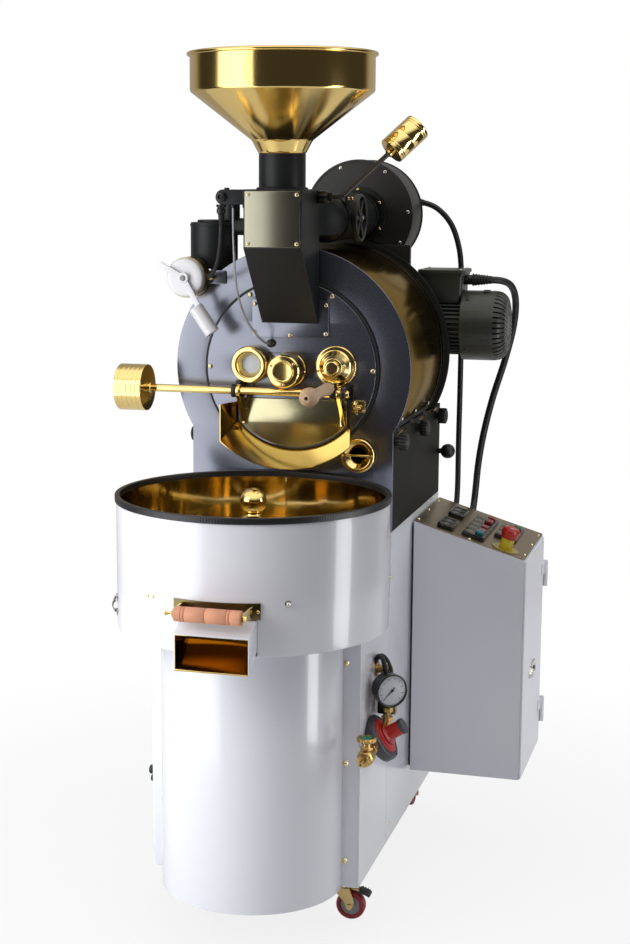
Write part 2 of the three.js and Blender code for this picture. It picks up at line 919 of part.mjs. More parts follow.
function inspectionPort() {
  const back = plateFront - seat;
  const front = back - portDepth;
  const ring = turned('y', [
    [portBore, back], [portRadius, back], [portRadius, front + capRim], [portRadius - capRim, front],
    [portMouth, front], [portBore, back - portDepth / 2], [portBore, back],
  ], portX, portZ, round);
  return join(ring, box(portX - portMouth, portX + portMouth, front + portBar, front + portBar * 2,
    portZ - portBar, portZ + portBar));
}

// Discharge door on its weighted shaft
function dischargeDoor() {
  const back = -seat;
  const face = doorShape(doorHalf, doorTop, doorStraight, doorSag);
  let door = asSolid(prism('xz', face, back - doorThick, back, coarse));
  const front = back - doorThick;
  const arm = outline([
    [hingeY - tongueRing + hingeRadius / 2, hingeZ - hingeRadius], [hingeY + hingeRadius / 2, hingeZ + tongueRing - seat],
    [front + seat, doorTop - tongueFoot], [front + seat, doorTop - tongueDrop], [front - tongueFoot, doorTop - tongueDrop],
    [hingeY + tongueFoot, doorTop - tongueFoot * 2],
  ]);
  for (const x of [tongueLeft, tongueRight]) {
    const from = x - tongueWidth / 2;
    const to = x + tongueWidth / 2;
    door = join(door, prism('yz', arm, from, to), rod('x', tongueRing, from, to, hingeY, hingeZ));
  }
  return cut(door, rod('x', hingeRadius + seat, tongueLeft - overrun, tongueRight + overrun, hingeY, hingeZ));
}

function groovedWeight(radius, length, grooves, depth) {
  const points = [[0, 0], [radius - depth, 0]];
  const pitch = length / grooves;
  for (let i = 0; i < grooves; i += 1) {
    const start = i * pitch;
    points.push([radius, start + depth], [radius, start + pitch - depth]);
    points.push([radius - depth, start + pitch]);
  }
  points.push([0, length]);
  return points;
}

function doorShaft() {
  const weight = groovedWeight(weightRadius, weightLength, weightGrooves, weightGroove)
    .map(([radius, t]) => [radius, t + weightRight - weightLength]);
  const half = clampWidth / 2;
  const top = hingeZ + handleLift + studRadius + capRim;
  return join(
    turned('x', weight, hingeY, hingeZ, round),
    rod('x', hingeRadius, weightRight - seat, shaftRight, hingeY, hingeZ),
    rod('x', clampHalf, handleX - half, handleX + half, hingeY, hingeZ),
    box(handleX - half, handleX + half, hingeY - clampHalf, hingeY + clampHalf / 2, hingeZ, top),
    rod('y', studRadius, studFront + seat, hingeY, handleX, hingeZ + handleLift, small),
    rod('y', studRadius + capRim, gripRear + seat, hingeY, handleX, hingeZ + handleLift, small),
  );
}

function doorHandle() {
  const front = gripRear - gripLength;
  const tip = front + gripBulb;
  const profile = [
    [0, front], [gripBulb * 0.55, front + gripBulb * 0.12], [gripBulb * 0.9, front + gripBulb * 0.55],
    [gripBulb, tip], [gripBulb * 0.93, tip + gripBulb], [gripWaist + 2, tip + gripBulb * 2.6],
    [gripWaist, (front + gripRear) / 2], [gripNeck, gripRear - gripNeck], [gripNeck, gripRear],
    [studRadius + seat, gripRear], [studRadius + seat, studFront], [0, studFront],
  ];
  return turned('y', profile, handleX, hingeZ + handleLift, coarse);
}

// Sheet trough below the discharge door
function troughRing(y, half, straight, sag) {
  const arc = (h, depth, sheet) => {
    const radius = (h * h + depth * depth) / (2 * depth);
    const sweep = Math.asin(h / radius);
    const low = troughTop - straight - sag + sheet;
    const points = [];
    const steps = 8;
    for (let i = 0; i <= steps; i += 1) {
      const angle = -sweep + (2 * sweep * i) / steps;
      points.push(new THREE.Vector3(doorX + radius * Math.sin(angle), y, low + radius - radius * Math.cos(angle)));
    }
    return points;
  };
  const top = (x) => new THREE.Vector3(doorX + x, y, troughTop);
  const outer = [top(-half), ...arc(half, sag, 0), top(half)];
  const inner = [top(doorSheet - half), ...arc(half - doorSheet, sag - doorSheet, doorSheet), top(half - doorSheet)];
  return [...outer, ...inner.reverse()];
}

function dischargeTrough() {
  const rings = [
    troughRing(-seat, troughBackHalf, troughBackStraight, troughBackSag),
    troughRing(-troughReach, troughFrontHalf, troughFrontStraight, troughFrontSag),
  ];
  return loft(rings, (p) => new THREE.Vector2(p.x, p.z));
}

// Charge box with its flange, neck and cable arm
function chargeBox() {
  const back = -seat;
  const half = boxHalf - boxSheet;
  const low = chuteLow - boxSheet * 2;
  const outer = outline([[boxFront, boxElbow], [boxFront, boxTop], [back, boxTop], [back, flangeLow],
    [-flangeThick, flangeLow], [boxToeY, boxToe]]);
  const inner = outline([[boxFront + boxSheet, boxElbow + boxSheet], [boxFront + boxSheet, boxTop - boxSheet],
    [back - boxSheet, boxTop - boxSheet], [back - boxSheet, chuteLow], [boxToeY - boxSheet * 2, chuteLow]]);
  let body = join(
    prism('yz', outer, -boxHalf, boxHalf),
    box(-flangeHalf, flangeHalf, back - flangeThick, back, flangeLow, flangeHigh),
    box(-cableArmReach, seat - boxHalf, cableArmFront, cableArmRear, cableArmLow, boxTop),
    rod('z', glandRadius, cableArmLow - glandDepth, cableArmLow + seat, -cableArmReach + glandRadius,
      (cableArmFront + cableArmRear) / 2, small),
    rod('z', neckRadius, boxTop - boxSheet, neckTop, 0, hopperY, round),
  );
  const rows = [flangeLow + glandRadius, flangeHigh - glandRadius];
  for (const x of [-flangeHalf, flangeHalf]) {
    const inset = Math.sign(x) * glandRadius / 2;
    for (const z of rows) body = join(body, screwHead(x - inset, z, back - flangeThick, capDiscProud));
  }
  const flapTop = leverZ + flapThick / 2 + slip;
  body = cut(body,
    prism('yz', inner, -half, half),
    box(-chuteHalf, chuteHalf, boxToeY - low / overrun, overrun, chuteLow, chuteHigh),
    box(ductBoxX - ductBoxHalf + ductWall, ductBoxX + ductBoxHalf - ductWall, -overrun, overrun,
      ductBoxZ - ductBoxTall + ductWall, ductBoxZ + ductBoxTall - ductWall));
  body = join(body, rod('z', neckRadius, flapTop, boxTop, 0, hopperY, round));
  return cut(body,
    rod('z', neckRadius - neckWall, flapTop - overrun, neckTop + overrun, 0, hopperY, round),
    rod('x', leverShaft + slip, -boxHalf - overrun, boxHalf + overrun, leverY, leverZ, small));
}

function hopper() {
  const throat = neckRadius - neckWall;
  const profile = [
    [throat, neckTop + seat], [neckRadius + neckWall, neckTop + seat], [coneRadius, coneFoot],
    [bandRadius, bandFoot], [bandRadius, rimZ - rimRoll * 2], [rimRadius - rimRoll / 2, rimZ - rimRoll * 2],
    [rimRadius, rimZ - rimRoll], [rimRadius - rimRoll / 2, rimZ], [bandRadius - rimRoll / 2, rimZ],
    [bandRadius - hopperSheet, rimZ - rimRoll], [bandRadius - hopperSheet, bandFoot + hopperSheet],
    [coneRadius - hopperSheet, coneFoot + hopperSheet], [throat, neckTop + seat + hopperSheet], [throat, neckTop + seat],
  ];
  return turned('z', profile, 0, hopperY, fine);
}

// Charge gate lever and its weight
const leverWay = () => new THREE.Vector3(leverOut, leverBack, leverUp).normalize();

function alongWay(body) {
  const turn = new THREE.Quaternion().setFromUnitVectors(new THREE.Vector3(0, 1, 0), leverWay());
  return body.applyQuaternion(turn).translate(leverElbow, leverY, leverZ);
}

function chargeLever() {
  const hubEnd = boxHalf + seat + leverHubLength;
  const arm = new THREE.CylinderGeometry(leverRod, leverRod, leverNear + leverWeightLength / 2, small)
    .translate(0, (leverNear + leverWeightLength / 2) / 2, 0);
  return join(
    box(-flapHalf, flapHalf, leverY - flapReach, leverY, leverZ - flapThick / 2, leverZ + flapThick / 2),
    rod('x', leverShaft, -boxHalf - leverShaft, boxHalf + leverHub, leverY, leverZ, small),
    rod('x', leverHub, boxHalf + seat, hubEnd, leverY, leverZ),
    rod('x', leverNut, hubEnd - seat, hubEnd + leverNutLength, leverY, leverZ, 6),
    rod('x', leverRod, hubEnd, leverElbow, leverY, leverZ, small),
    new THREE.SphereGeometry(leverRod, small, small / 2).translate(leverElbow, leverY, leverZ),
    alongWay(arm),
  );
}

function chargeWeight() {
  const rounded = groovedWeight(leverWeight, leverWeightLength, weightGrooves, leverWeightGroove)
    .map(([radius, t]) => new THREE.Vector2(radius, t + leverNear));
  const bore = new THREE.CylinderGeometry(leverRod + seat, leverRod + seat, leverWeightLength + seat * 2, small)
    .translate(0, leverNear, 0);
  return cut(alongWay(new THREE.LatheGeometry(rounded, round)), alongWay(bore));
}

// Exhaust duct with the side can
function ductRing(y, share, inset) {
  const points = [];
  const count = 24;
  const smooth = share * share * (3 - 2 * share);
  const mix = (a, b) => a + (b - a) * smooth;
  for (let i = 0; i < count; i += 1) {
    const angle = (i / count) * Math.PI * 2;
    const c = Math.cos(angle);
    const s = Math.sin(angle);
    const square = Math.min((ductBoxHalf - inset) / Math.abs(c), (ductBoxTall - inset) / Math.abs(s));
    const radius = mix(square, ductRadius - inset);
    points.push(new THREE.Vector3(mix(ductBoxX, ductX) + radius * c, y, mix(ductBoxZ, ductZ) + radius * s));
  }
  return points;
}

function ductSkin(inset, from, to) {
  const rings = [ductRing(from, 0, inset)];
  const steps = 3;
  for (let i = 0; i <= steps; i += 1) {
    const share = i / steps;
    rings.push(ductRing(ductStraight + (ductRoundY - ductStraight) * share, share, inset));
  }
  rings.push(ductRing(to, 1, inset));
  return loft(rings, (p) => new THREE.Vector2(p.x, p.z));
}

function exhaustDuct() {
  const end = fanFront - seat;
  const legTop = canLow + seat;
  const saddle = rod('y', jacketRadius + seat, 0, rearPlateFront, 0, drumZ, fine);
  const leg = cut(rod('z', canLeg, canLow - canRadius, legTop, canLegX, canY), saddle);
  const shell = join(
    ductSkin(0, 0, end),
    rod('z', canRadius, canLow, canHigh, canX, canY, round),
    rod('z', canRadius - canPipe / 2, canHigh - seat, canHigh + canLid, canX + canLid, canY, round),
    rod('z', canPipe, canHigh, canPipeTop, canPipeX, canY),
    rod('x', canStub, canX + canPipe, -ductBoxHalf / 2, canY, canStubZ),
    leg,
  );
  return cut(shell,
    ductSkin(ductWall, -overrun, end + overrun),
    rod('z', canRadius - ductWall, canLow + ductWall, canHigh - ductWall, canX, canY, round),
    rod('z', canPipe - ductWall, canHigh - overrun, canPipeTop + overrun, canPipeX, canY),
    rod('x', canStub - ductWall, canX + canPipe, ductBoxX, canY, canStubZ),
    rod('x', damperPin + slip, ductX - ductRadius - overrun, ductX + ductRadius + overrun, damperY, ductZ, small));
}

function damper() {
  const wheelEnd = damperWheelX + damperWheelDepth;
  const wheel = pipe('x', damperWheel, damperWheel - damperRim, damperWheelX, wheelEnd, damperY, ductZ, round);
  const middle = damperWheelX + damperWheelDepth / 2;
  const spokes = [0, 60, 120].map((turn) => asSolid(
    box(-damperWheelDepth / 4, damperWheelDepth / 4, -damperWheel + damperRim / 2, damperWheel - damperRim / 2,
      -damperRim / 2, damperRim / 2)).rotate([turn, 0, 0]).translate([middle, damperY, ductZ]));
  return join(wheel, ...spokes,
    rod('x', damperHub, damperWheelX, wheelEnd, damperY, ductZ, small),
    rod('x', damperPin, ductX - ductRadius - damperPin, middle, damperY, ductZ, small),
    rod('z', damperBlade, ductZ - damperThick / 2, ductZ + damperThick / 2, ductX, damperY, round));
}

// Exhaust fan
function fanHousing() {
  const rear = fanFront + fanDepth;
  const outletLeft = ductX - fanRadius;
  const shell = join(
    rod('y', fanRadius, fanFront, rear, ductX, ductZ, fine),
    box(outletLeft, outletLeft + fanOutletWidth, fanFront, rear, fanOutletLow, ductZ),
    box(fanFootX - fanFootHalf, fanFootX + fanFootHalf, rearPlateFront + rearPlateThick + seat, fanFront + seat,
      fanFootLow, ductZ - ductRadius - fanWall * 5),
    rod('y', fanMotor, rear - seat, rear + fanMotorLength, ductX, ductZ, round),
    rod('y', fanMotor - impellerPlate * 4, rear, rear + fanMotorLength + impellerPlate * 2, ductX, ductZ, round),
    box(ductX + fanMotor / 2, ductX + fanMotor * fanBoxShare, rear - seat, rear + fanMotor, ductZ + fanWall,
      ductZ + fanMotor),
  );
  return cut(shell,
    rod('y', fanRadius - fanWall, fanFront + fanWall, rear - fanWall, ductX, ductZ, fine),
    box(outletLeft + fanWall, outletLeft + fanOutletWidth - fanWall, fanFront + fanWall, rear - fanWall,
      fanOutletLow - overrun, ductZ),
    rod('y', fanEye, fanFront - overrun, fanFront + overrun, ductX, ductZ, round),
    rod('y', impellerShaft + slip * 2, rear - overrun, rear + impellerReach, ductX, ductZ, small));
}

function fanImpeller() {
  const front = fanFront + impellerFront;
  const rear = fanFront + fanDepth - impellerRear;
  let wheel = join(
    rod('y', impellerRadius, rear - impellerPlate, rear, ductX, ductZ, round),
    pipe('y', impellerRadius, impellerBladeInner, front, front + impellerPlate, ductX, ductZ, round),
    rod('y', impellerHub, front + impellerPlate, rear, ductX, ductZ),
    rod('y', impellerShaft, rear - seat, fanFront + fanDepth + impellerReach - impellerPlate, ductX, ductZ, small),
  );
  for (let i = 0; i < impellerBlades; i += 1) {
    const blade = asSolid(box(impellerBladeInner + seat, impellerRadius - seat, front + seat, rear - seat,
      -impellerPlate / 2, impellerPlate / 2));
    wheel = join(wheel, blade.rotate([0, (i * 360) / impellerBlades, 0]).translate([ductX, 0, ductZ]));
  }
  return wheel;
}

// Gearbox and drive motor
function gearbox() {
  const rear = gearFront + gearDepth;
  const inset = gearDepth / 10;
  return cut(join(
    box(-gearHalf, gearHalf, gearFront, rear, gearLow, gearHigh),
    rod('y', gearHalf - inset, gearFront - inset / 2, rear, 0, drumZ),
    box(-gearFootHalf, gearFootHalf, gearFront + inset, rear - inset, frameTop + seat, gearLow + seat),
    rod('x', motorFlange, gearHalf - seat, gearHalf + motorFlangeThick / 2, motorY, motorZ, round),
  ), rod('y', drumShaft + slip, gearFront - overrun, rear + overrun, 0, drumZ));
}

function driveMotor() {
  const start = gearHalf + motorFlangeThick / 2 + seat;
  let motor = join(
    rod('x', motorFlange, start, start + motorFlangeThick, motorY, motorZ, round),
    rod('x', motorBody, start, motorBodyEnd + seat, motorY, motorZ, round),
  );
  for (let i = 0; i < motorFins; i += 1) {
    const fin = asSolid(box(start + motorFlangeThick * 2, motorBodyEnd, -seat * 3, seat * 3, motorBody - capRim, motorFinTip));
    motor = join(motor, fin.rotate([(i * 360) / motorFins, 0, 0]).translate([0, motorY, motorZ]));
  }
  const cowl = turned('x', [
    [0, motorBodyEnd], [cowlRadius - capRim, motorBodyEnd], [cowlRadius, motorBodyEnd + capRim],
    [cowlRadius, cowlEnd - motorFlangeThick], [cowlRadius - motorFlangeThick, cowlEnd], [0, cowlEnd],
  ], motorY, motorZ, round);
  const lid = terminalHigh - terminalLid;
  return join(motor, cowl,
    box(terminalLeft, terminalRight, motorY - terminalHalf, motorY + terminalHalf, terminalLow, lid),
    box(terminalLeft - terminalLip, terminalRight + terminalLip, motorY - terminalHalf - terminalLip,
      motorY + terminalHalf + terminalLip, lid - seat, terminalHigh),
    rod('x', motorGland, terminalRight, terminalRight + glandDepth, motorY, terminalGland, small));
}

// Cooling tray
function trayShell() {
  const inner = trayRadius - trayWall;
  const foot = stepTop + seat;
  const profile = [
    [stirNeck, foot], [trayRadius, foot], [trayRadius, trayTop], [inner, trayTop], [inner, foot + trayWall],
    [stirNeck, foot + trayWall], [stirNeck, foot],
  ];
  const ledge = cut(
    pipe('z', inner + seat, inner - trayLedge, trayFloorBottom - trayFloorSheet * 2, trayFloorBottom - seat, 0, trayY, fine),
    box(spoutX - spoutHalf - trayLedge, spoutX + spoutHalf + trayLedge, trayY - trayRadius - overrun,
      spoutInnerY + trayLedge, trayFloorBottom - overrun, trayFloorBottom + overrun));
  return cut(join(turned('z', profile, 0, trayY, fine), ledge),
    box(spoutX - spoutHalf - seat, spoutX + spoutHalf + seat, trayY - trayRadius - overrun, spoutNeckY + trayWall,
      foot + trayWall - slip, spoutLid + seat),
    box(gateX - gateHalf - slip, gateX + gateHalf + slip, trayY - trayRadius - overrun, spoutNeckY + trayWall,
      trayFloorBottom - gateThick - slip * 3, trayFloorBottom + seat),
    rod('z', plenumHole, foot - overrun, foot + overrun, 0, plenumHoleY, round));
}

function trayTrim() {
  const top = trayTop + trimHeight - trimWall;
  const low = top - trimHeight;
  const inner = trayRadius - trayWall - seat;
  const outer = trayRadius + trimLip;
  const profile = [
    [outer, low], [outer, top], [inner - trimWall, top], [inner - trimWall, low],
    [inner, low], [inner, trayTop + seat], [trayRadius + seat, trayTop + seat], [trayRadius + seat, low], [outer, low],
  ];
  return turned('z', profile, 0, trayY, fine);
}

function trayFloor() {
  const radius = trayRadius - trayWall - seat;
  const top = trayFloorBottom + trayFloorSheet;
  let floor = asSolid(turned('z', [
    [stirShaft + slip, trayFloorBottom], [radius, trayFloorBottom], [radius, top], [stirShaft + slip, top],
    [stirShaft + slip, trayFloorBottom],
  ], 0, 0, fine));
  for (let i = 0; i < floorSlots; i += 1) {
    const turn = ((i + 0.5) * 360) / floorSlots;
    for (let row = 0; row < floorSlotRows; row += 1) {
      const start = floorSlotInner + row * floorSlotPitch;
      const slot = asSolid(box(start, start + floorSlotLength, -floorSlotWidth / 2, floorSlotWidth / 2,
        trayFloorBottom - seat, top + seat));
      if (Math.abs(turn - 270) > 30 || row < 1) floor = cut(floor, slot.rotate([0, 0, turn]));
    }
  }
  return cut(floor.translate([0, trayY, 0]),
    box(spoutX - dropHalf, spoutX + dropHalf, dropFrontY, dropRearY, trayFloorBottom - seat, top + seat));
}

function agitator() {
  const shaft = turned('z', [
    [0, stepTop - stirBoxDepth + overrun], [stirShaft, stepTop - stirBoxDepth + overrun], [stirShaft, paddleLow],
    [stirHub, paddleLow], [stirHub, stirHubTop], [stirNeck, stirHubTop + trimWall], [stirNeck, ballZ - ballRadius / 2],
    [0, ballZ - ballRadius / 2],
  ], 0, 0, coarse);
  const ball = new THREE.SphereGeometry(ballRadius, coarse, tiny).rotateX(right).translate(0, 0, ballZ);
  let body = join(shaft, ball);
  for (let i = 0; i < stirArms; i += 1) {
    const turn = (i * 360) / stirArms + 45;
    const arm = asSolid(rod('x', stirArmHalf, 0, stirReach, 0, stirArmZ, small));
    const outer = i % 2 === 0 ? stirReach - paddleLength / 2 : stirReach - paddleLength * 1.4;
    const paddle = asSolid(box(-paddleLength / 2, paddleLength / 2, -paddleSheet / 2, paddleSheet / 2,
      paddleLow, stirArmZ + stirArmHalf)).rotate([0, 0, paddleLean]).translate([outer - paddleSheet, 0, 0]);
    body = join(body, arm.rotate([0, 0, turn]), paddle.rotate([0, 0, turn]));
  }
  return body;
}

function trayGearbox() {
  const low = stepTop - stirBoxDepth;
  return cut(join(
    rod('z', stirBox, low, stepTop, 0, trayY, round),
    rod('z', stirMotor, low - stirMotorLength, low + seat, 0, trayY, round),
  ), rod('z', stirShaft + slip, low + overrun / 2, stepTop + overrun, 0, trayY));
}

// Bean gate with its front plate and roller
function gateSlide() {
  const low = trayFloorBottom - seat - gateThick;
  const front = trayY - trayRadius;
  const plate = common(
    box(gateX - gateHalf, gateX + gateHalf, front - overrun, gateInnerY, low, low + gateThick),
    rod('z', trayRadius + gateFaceSheet / 2, low - overrun, low + overrun, 0, trayY, fine));
  const face = common(
    pipe('z', trayRadius + seat + gateFaceSheet, trayRadius + seat, gateFaceLow, gateFaceHigh, 0, trayY, fine),
    box(gateX - gateFaceHalf, gateX + gateFaceHalf, front - overrun, trayY, gateFaceLow, gateFaceHigh));
  const rollerY = front - gateArmReach;
  const arm = outline([
    [rollerY - rollerPin * 2, rollerZ - rollerPin], [rollerY, rollerZ - rollerPin * 2], [front + overrun / 2, gateFaceLow + rollerPin],
    [front + overrun / 2, gateFaceHigh - rollerPin], [rollerY, rollerZ + rollerPin * 2], [rollerY - rollerPin * 2, rollerZ + rollerPin],
  ]);
  const reach = rollerHalf + slip;
  const outside = rod('z', trayRadius + gateFaceSheet / 2, gateFaceLow - overrun, gateFaceHigh + overrun, 0, trayY, fine);
  const arms = [-reach - gateArmSheet, reach].map((from) => cut(
    prism('yz', arm, rollerX + from, rollerX + from + gateArmSheet), outside));
  return join(plate, face, ...arms,
    rod('x', rollerPin, rollerX - reach - gateArmSheet, rollerX + reach + gateArmSheet, rollerY, rollerZ, small));
}

function gateRoller() {
  const bore = rollerPin + slip;
  const inner = rollerRadius - rollerGroove;
  const points = [[bore, -rollerHalf], [inner, -rollerHalf], [rollerRadius, rollerGroove - rollerHalf]];
  for (const at of [-rollerHalf * 0.75, 0, rollerHalf * 0.75]) {
    points.push([rollerRadius, at - rollerGroove], [inner, at], [rollerRadius, at + rollerGroove]);
  }
  points.push([rollerRadius, rollerHalf - rollerGroove], [inner, rollerHalf], [bore, rollerHalf], [bore, -rollerHalf]);
  return turned('x', points, 0, 0, coarse);
}

function spout() {
  const fall = (spoutRise - mouthBottom) / (spoutInnerY - mouthY);
  const floorAt = (y, lift) => spoutRise + (y - spoutInnerY) * fall + lift;
  const throat = trayFloorBottom - gateThick - slip * 3;
  const outer = outline([
    [spoutInnerY, floorAt(spoutInnerY, 0)], [spoutInnerY, throat], [dropFrontY, throat], [spoutNeckY, spoutLid],
    [trayY - trayRadius + spoutSheet, spoutLid], [mouthY, mouthTop], [mouthY, mouthBottom],
  ]);
  const lift = spoutSheet * 1.3;
  const far = mouthY - overrun;
  const inner = outline([
    [spoutInnerY - spoutSheet, floorAt(spoutInnerY - spoutSheet, lift)], [spoutInnerY - spoutSheet, throat + overrun],
    [dropFrontY + spoutSheet, throat + overrun], [dropFrontY + spoutSheet, spoutLid - spoutSheet],
    [trayY - trayRadius + spoutSheet, spoutLid - spoutSheet], [mouthY, mouthTop - spoutSheet],
    [far, mouthTop - spoutSheet - overrun], [far, floorAt(far, lift)],
  ]);
  const half = spoutHalf;
  return cut(prism('yz', outer, spoutX - half, spoutX + half),
    prism('yz', inner, spoutX - half + spoutSheet, spoutX + half - spoutSheet));
}

// Cabinet shell, door and panel
function controlCabinet() {
  const left = baseHalf + seat;
  const shape = (inset, end) => outline([[left + inset, cabinetBottom + inset], [end, cabinetBottom + inset],
    [end, cabinetLow + (cabinetRight - end) * panelFall() - inset], [left + inset, cabinetHigh - inset]]);
  let body = cut(prism('xz', shape(0, cabinetRight), cabinetFront, cabinetRear),
    prism('xz', shape(cabinetSheet, cabinetRight + overrun / 10), cabinetFront + cabinetSheet, cabinetRear - cabinetSheet));
  for (const z of knuckleHeights()) {
    body = join(body,
      box(cabinetRight - cabinetSheet, hingeLineX(), cabinetRear - cabinetSheet, cabinetRear, z, z + knuckleLength / 2),
      rod('z', knuckleRadius, z, z + knuckleLength / 2, hingeLineX(), hingeLineY(), small),
      rod('z', knuckleRadius / 2, z, z + knuckleLength - slip, hingeLineX(), hingeLineY(), small));
  }
  return body;
}

const panelFall = () => (cabinetHigh - cabinetLow) / (cabinetRight - baseHalf - seat);
const hingeLineX = () => cabinetRight + knuckleRadius + cabinetDoor / 2;
const hingeLineY = () => cabinetRear - capRim;
const knuckleHeights = () => [knuckleLowShare, knuckleHighShare]
  .map((share) => cabinetBottom + (cabinetLow - cabinetBottom) * share);

function cabinetDoorLeaf() {
  const left = cabinetRight + seat;
  const right = left + cabinetDoor;
  const rear = hingeLineY() - knuckleRadius - capRim;
  const top = cabinetLow - doorGap;
  let leaf = join(
    box(left, right, cabinetFront, rear, cabinetBottom + doorGap, top),
    rod('x', lockRadius, right - seat, right + lockProud, lockY, lockZ, small));
  for (const z of knuckleHeights()) {
    const low = z + knuckleLength / 2 + slip;
    leaf = join(leaf,
      box(left, hingeLineX(), rear - seat, hingeLineY(), low, z + knuckleLength),
      rod('z', knuckleRadius, low, z + knuckleLength, hingeLineX(), hingeLineY(), small));
  }
  return cut(leaf, rod('z', knuckleRadius / 2 + slip, cabinetBottom, cabinetLow, hingeLineX(), hingeLineY(), small));
}

// Panel coordinates: x down the slope, y as the machine, z away from the sheet
const capSpots = () => {
  const across = blockOneAt + blockWide * capShare;
  const acrossTwo = blockTwoAt + blockWide * capShare;
  const row = (count) => blockRearY - blockPitch * (count + 0.5);
  return { teal: [across, row(4)], redOne: [across, row(1)], redTwo: [across, row(0)], green: [acrossTwo, row(0)] };
};

function controlPanel() {
  const length = Math.hypot(cabinetRight - baseHalf - seat, cabinetHigh - cabinetLow) - panelLap;
  const top = seat + panelSheet;
  let panel = asSolid(box(panelLap, length, cabinetFront + panelLap, cabinetRear - panelLap, seat, top));
  for (const y of [controllerFrontY, controllerRearY]) {
    panel = join(panel, box(controllerAt, controllerAt + controllerWide, y, y + controllerDeep, top - seat,
      top + controllerProud));
  }
  for (const [at, from] of [[blockOneAt, blockOneY], [blockTwoAt, blockTwoY]]) {
    panel = join(panel, box(at, at + blockWide, from, blockRearY, top - seat, top + blockProud));
  }
  panel = join(panel, rod('z', stopPlate, top - seat, top + stopPlateThick, stopAt, stopY, round),
    rod('z', stopCollar, top, top + stopCollarTall, stopAt, stopY));
  for (const [x, y] of Object.values(capSpots())) {
    panel = cut(panel, box(x - capWide / 2 - slip, x + capWide / 2 + slip, y - capDeep / 2 - slip, y + capDeep / 2 + slip,
      top + blockProud - capSocket - capRim / 2, top + overrun));
  }
  return cut(panel, rod('z', stopStem + slip, top + capRim, top + overrun * 2, stopAt, stopY, small));
}

function switchCap() {
  return asSolid(box(-capWide / 2, capWide / 2, -capDeep / 2, capDeep / 2, capTravel - capSocket + capRim, capTall - capSocket + capTravel));
}

function emergencyStop() {
  const start = stopTravel + slip;
  return turned('z', [
    [0, -stopCollar], [stopStem, -stopCollar], [stopStem, start], [stopCap - capRim, start], [stopCap, start + capRim],
    [stopCap, start + stopCapTall / 2], [stopCap * 0.75, start + stopCapTall * 0.9], [0, start + stopCapTall],
  ], 0, 0, coarse);
}

// Gas train and burner
function gasPipework() {
  const rises = burnerRisesY();
  const side = rod('y', pipeRadius, nozzleY + nozzleLength, feedY + pipeRadius, pipeX, pipeZ, tiny);
  let body = join(side,
    rod('y', nozzleRadius, nozzleY, nozzleY + nozzleLength + seat, pipeX, pipeZ, tiny),
    rod('y', valveHalf, valveY - valveHalf, valveY + valveHalf, pipeX, pipeZ, 6),
    rod('z', valveStem, pipeZ, valveStemTop - handleDiscThick - slip, pipeX, valveY, tiny),
    rod('z', valveStem / 2, pipeZ, valveStemTop - capRim - slip, pipeX, valveY, tiny),
    rod('z', pipeRadius, pipeZ, feedZ + pipeRadius, pipeX, feedY, tiny),
    box(pipeX - solenoidHalf, pipeX + solenoidHalf, feedY - solenoidHalf, feedY + solenoidHalf,
      pipeZ + solenoidHalf * 2, pipeZ + solenoidHalf * 5),
    rod('x', solenoidHalf, baseHalf + seat, baseHalf + capDiscProud, feedY, feedZ),
    rod('x', pipeRadius, frontCutHalf - pipeRadius, pipeX + pipeRadius, feedY, feedZ, tiny),
    rod('y', pipeRadius, feedY, rises + pipeRadius, frontCutHalf, feedZ, tiny),
    rod('z', pipeRadius, feedZ, burnerZ + pipeRadius, frontCutHalf, rises, tiny),
    rod('x', pipeRadius, -burnerX, frontCutHalf, rises, burnerZ, tiny),
    rod('y', burnerRadius, burnerFront, burnerRear, burnerX, burnerZ, tiny),
    rod('y', burnerRadius, burnerFront, burnerRear, -burnerX, burnerZ, tiny));
  const gauge = turned('y', [
    [0, gaugeSink - gaugeDepth], [gaugeRadius - gaugeRim, gaugeSink - gaugeDepth], [gaugeRadius - gaugeRim, -gaugeDepth],
    [gaugeRadius, -gaugeDepth], [gaugeRadius, 0], [0, 0],
  ], 0, 0, round).rotateZ(gaugeTurn * degree).translate(gaugeX - gaugeDepth / 2, regulatorY + gaugeDepth / 2, gaugeZ);
  body = join(body, gauge,
    rod('y', pipeRadius / 2, regulatorY + gaugeDepth / 2 - pipeRadius / 2, feedY, pipeX + pipeRadius / 2, gaugeZ, small));
  return body;
}

function tilted(body) {
  return body.rotateY(right - regulatorTilt * degree).translate(pipeX, regulatorY, pipeZ);
}

function gasRegulator() {
  const half = regulatorThick / 2;
  const disc = turned('z', [
    [knobRadius * 0.6, half + capRim * 2], [knobBase, half + capRim * 2], [knobBase, half], [regulatorRadius - capRim, half],
    [regulatorRadius, half - capRim], [regulatorRadius, -half], [0, -half], [0, half - capRim],
    [knobRadius * 0.6, half - capRim], [knobRadius * 0.6, half + capRim * 2],
  ], 0, 0, round);
  return cut(tilted(disc),
    rod('y', pipeRadius + slip * 2, regulatorY - regulatorRadius * 2, regulatorY + regulatorRadius * 2, pipeX, pipeZ, small),
    box(baseHalf - overrun, baseHalf + seat, regulatorY - regulatorRadius * 2, regulatorY + regulatorRadius * 2,
      pipeZ - overrun * 3, pipeZ + overrun * 3));
}

function regulatorKnob() {
  const start = slip;
  const stem = knobRadius * 0.6 - slip;
  return turned('z', [
    [0, start - capRim * 2], [stem, start - capRim * 2], [stem, start], [knobBase - capRim, start],
    [knobBase - capRim, start + capRim * 2], [knobRadius, start + capRim * 3], [knobRadius, knobLength - capRim],
    [knobRadius - capRim, knobLength], [0, knobLength],
  ], 0, 0, coarse);
}

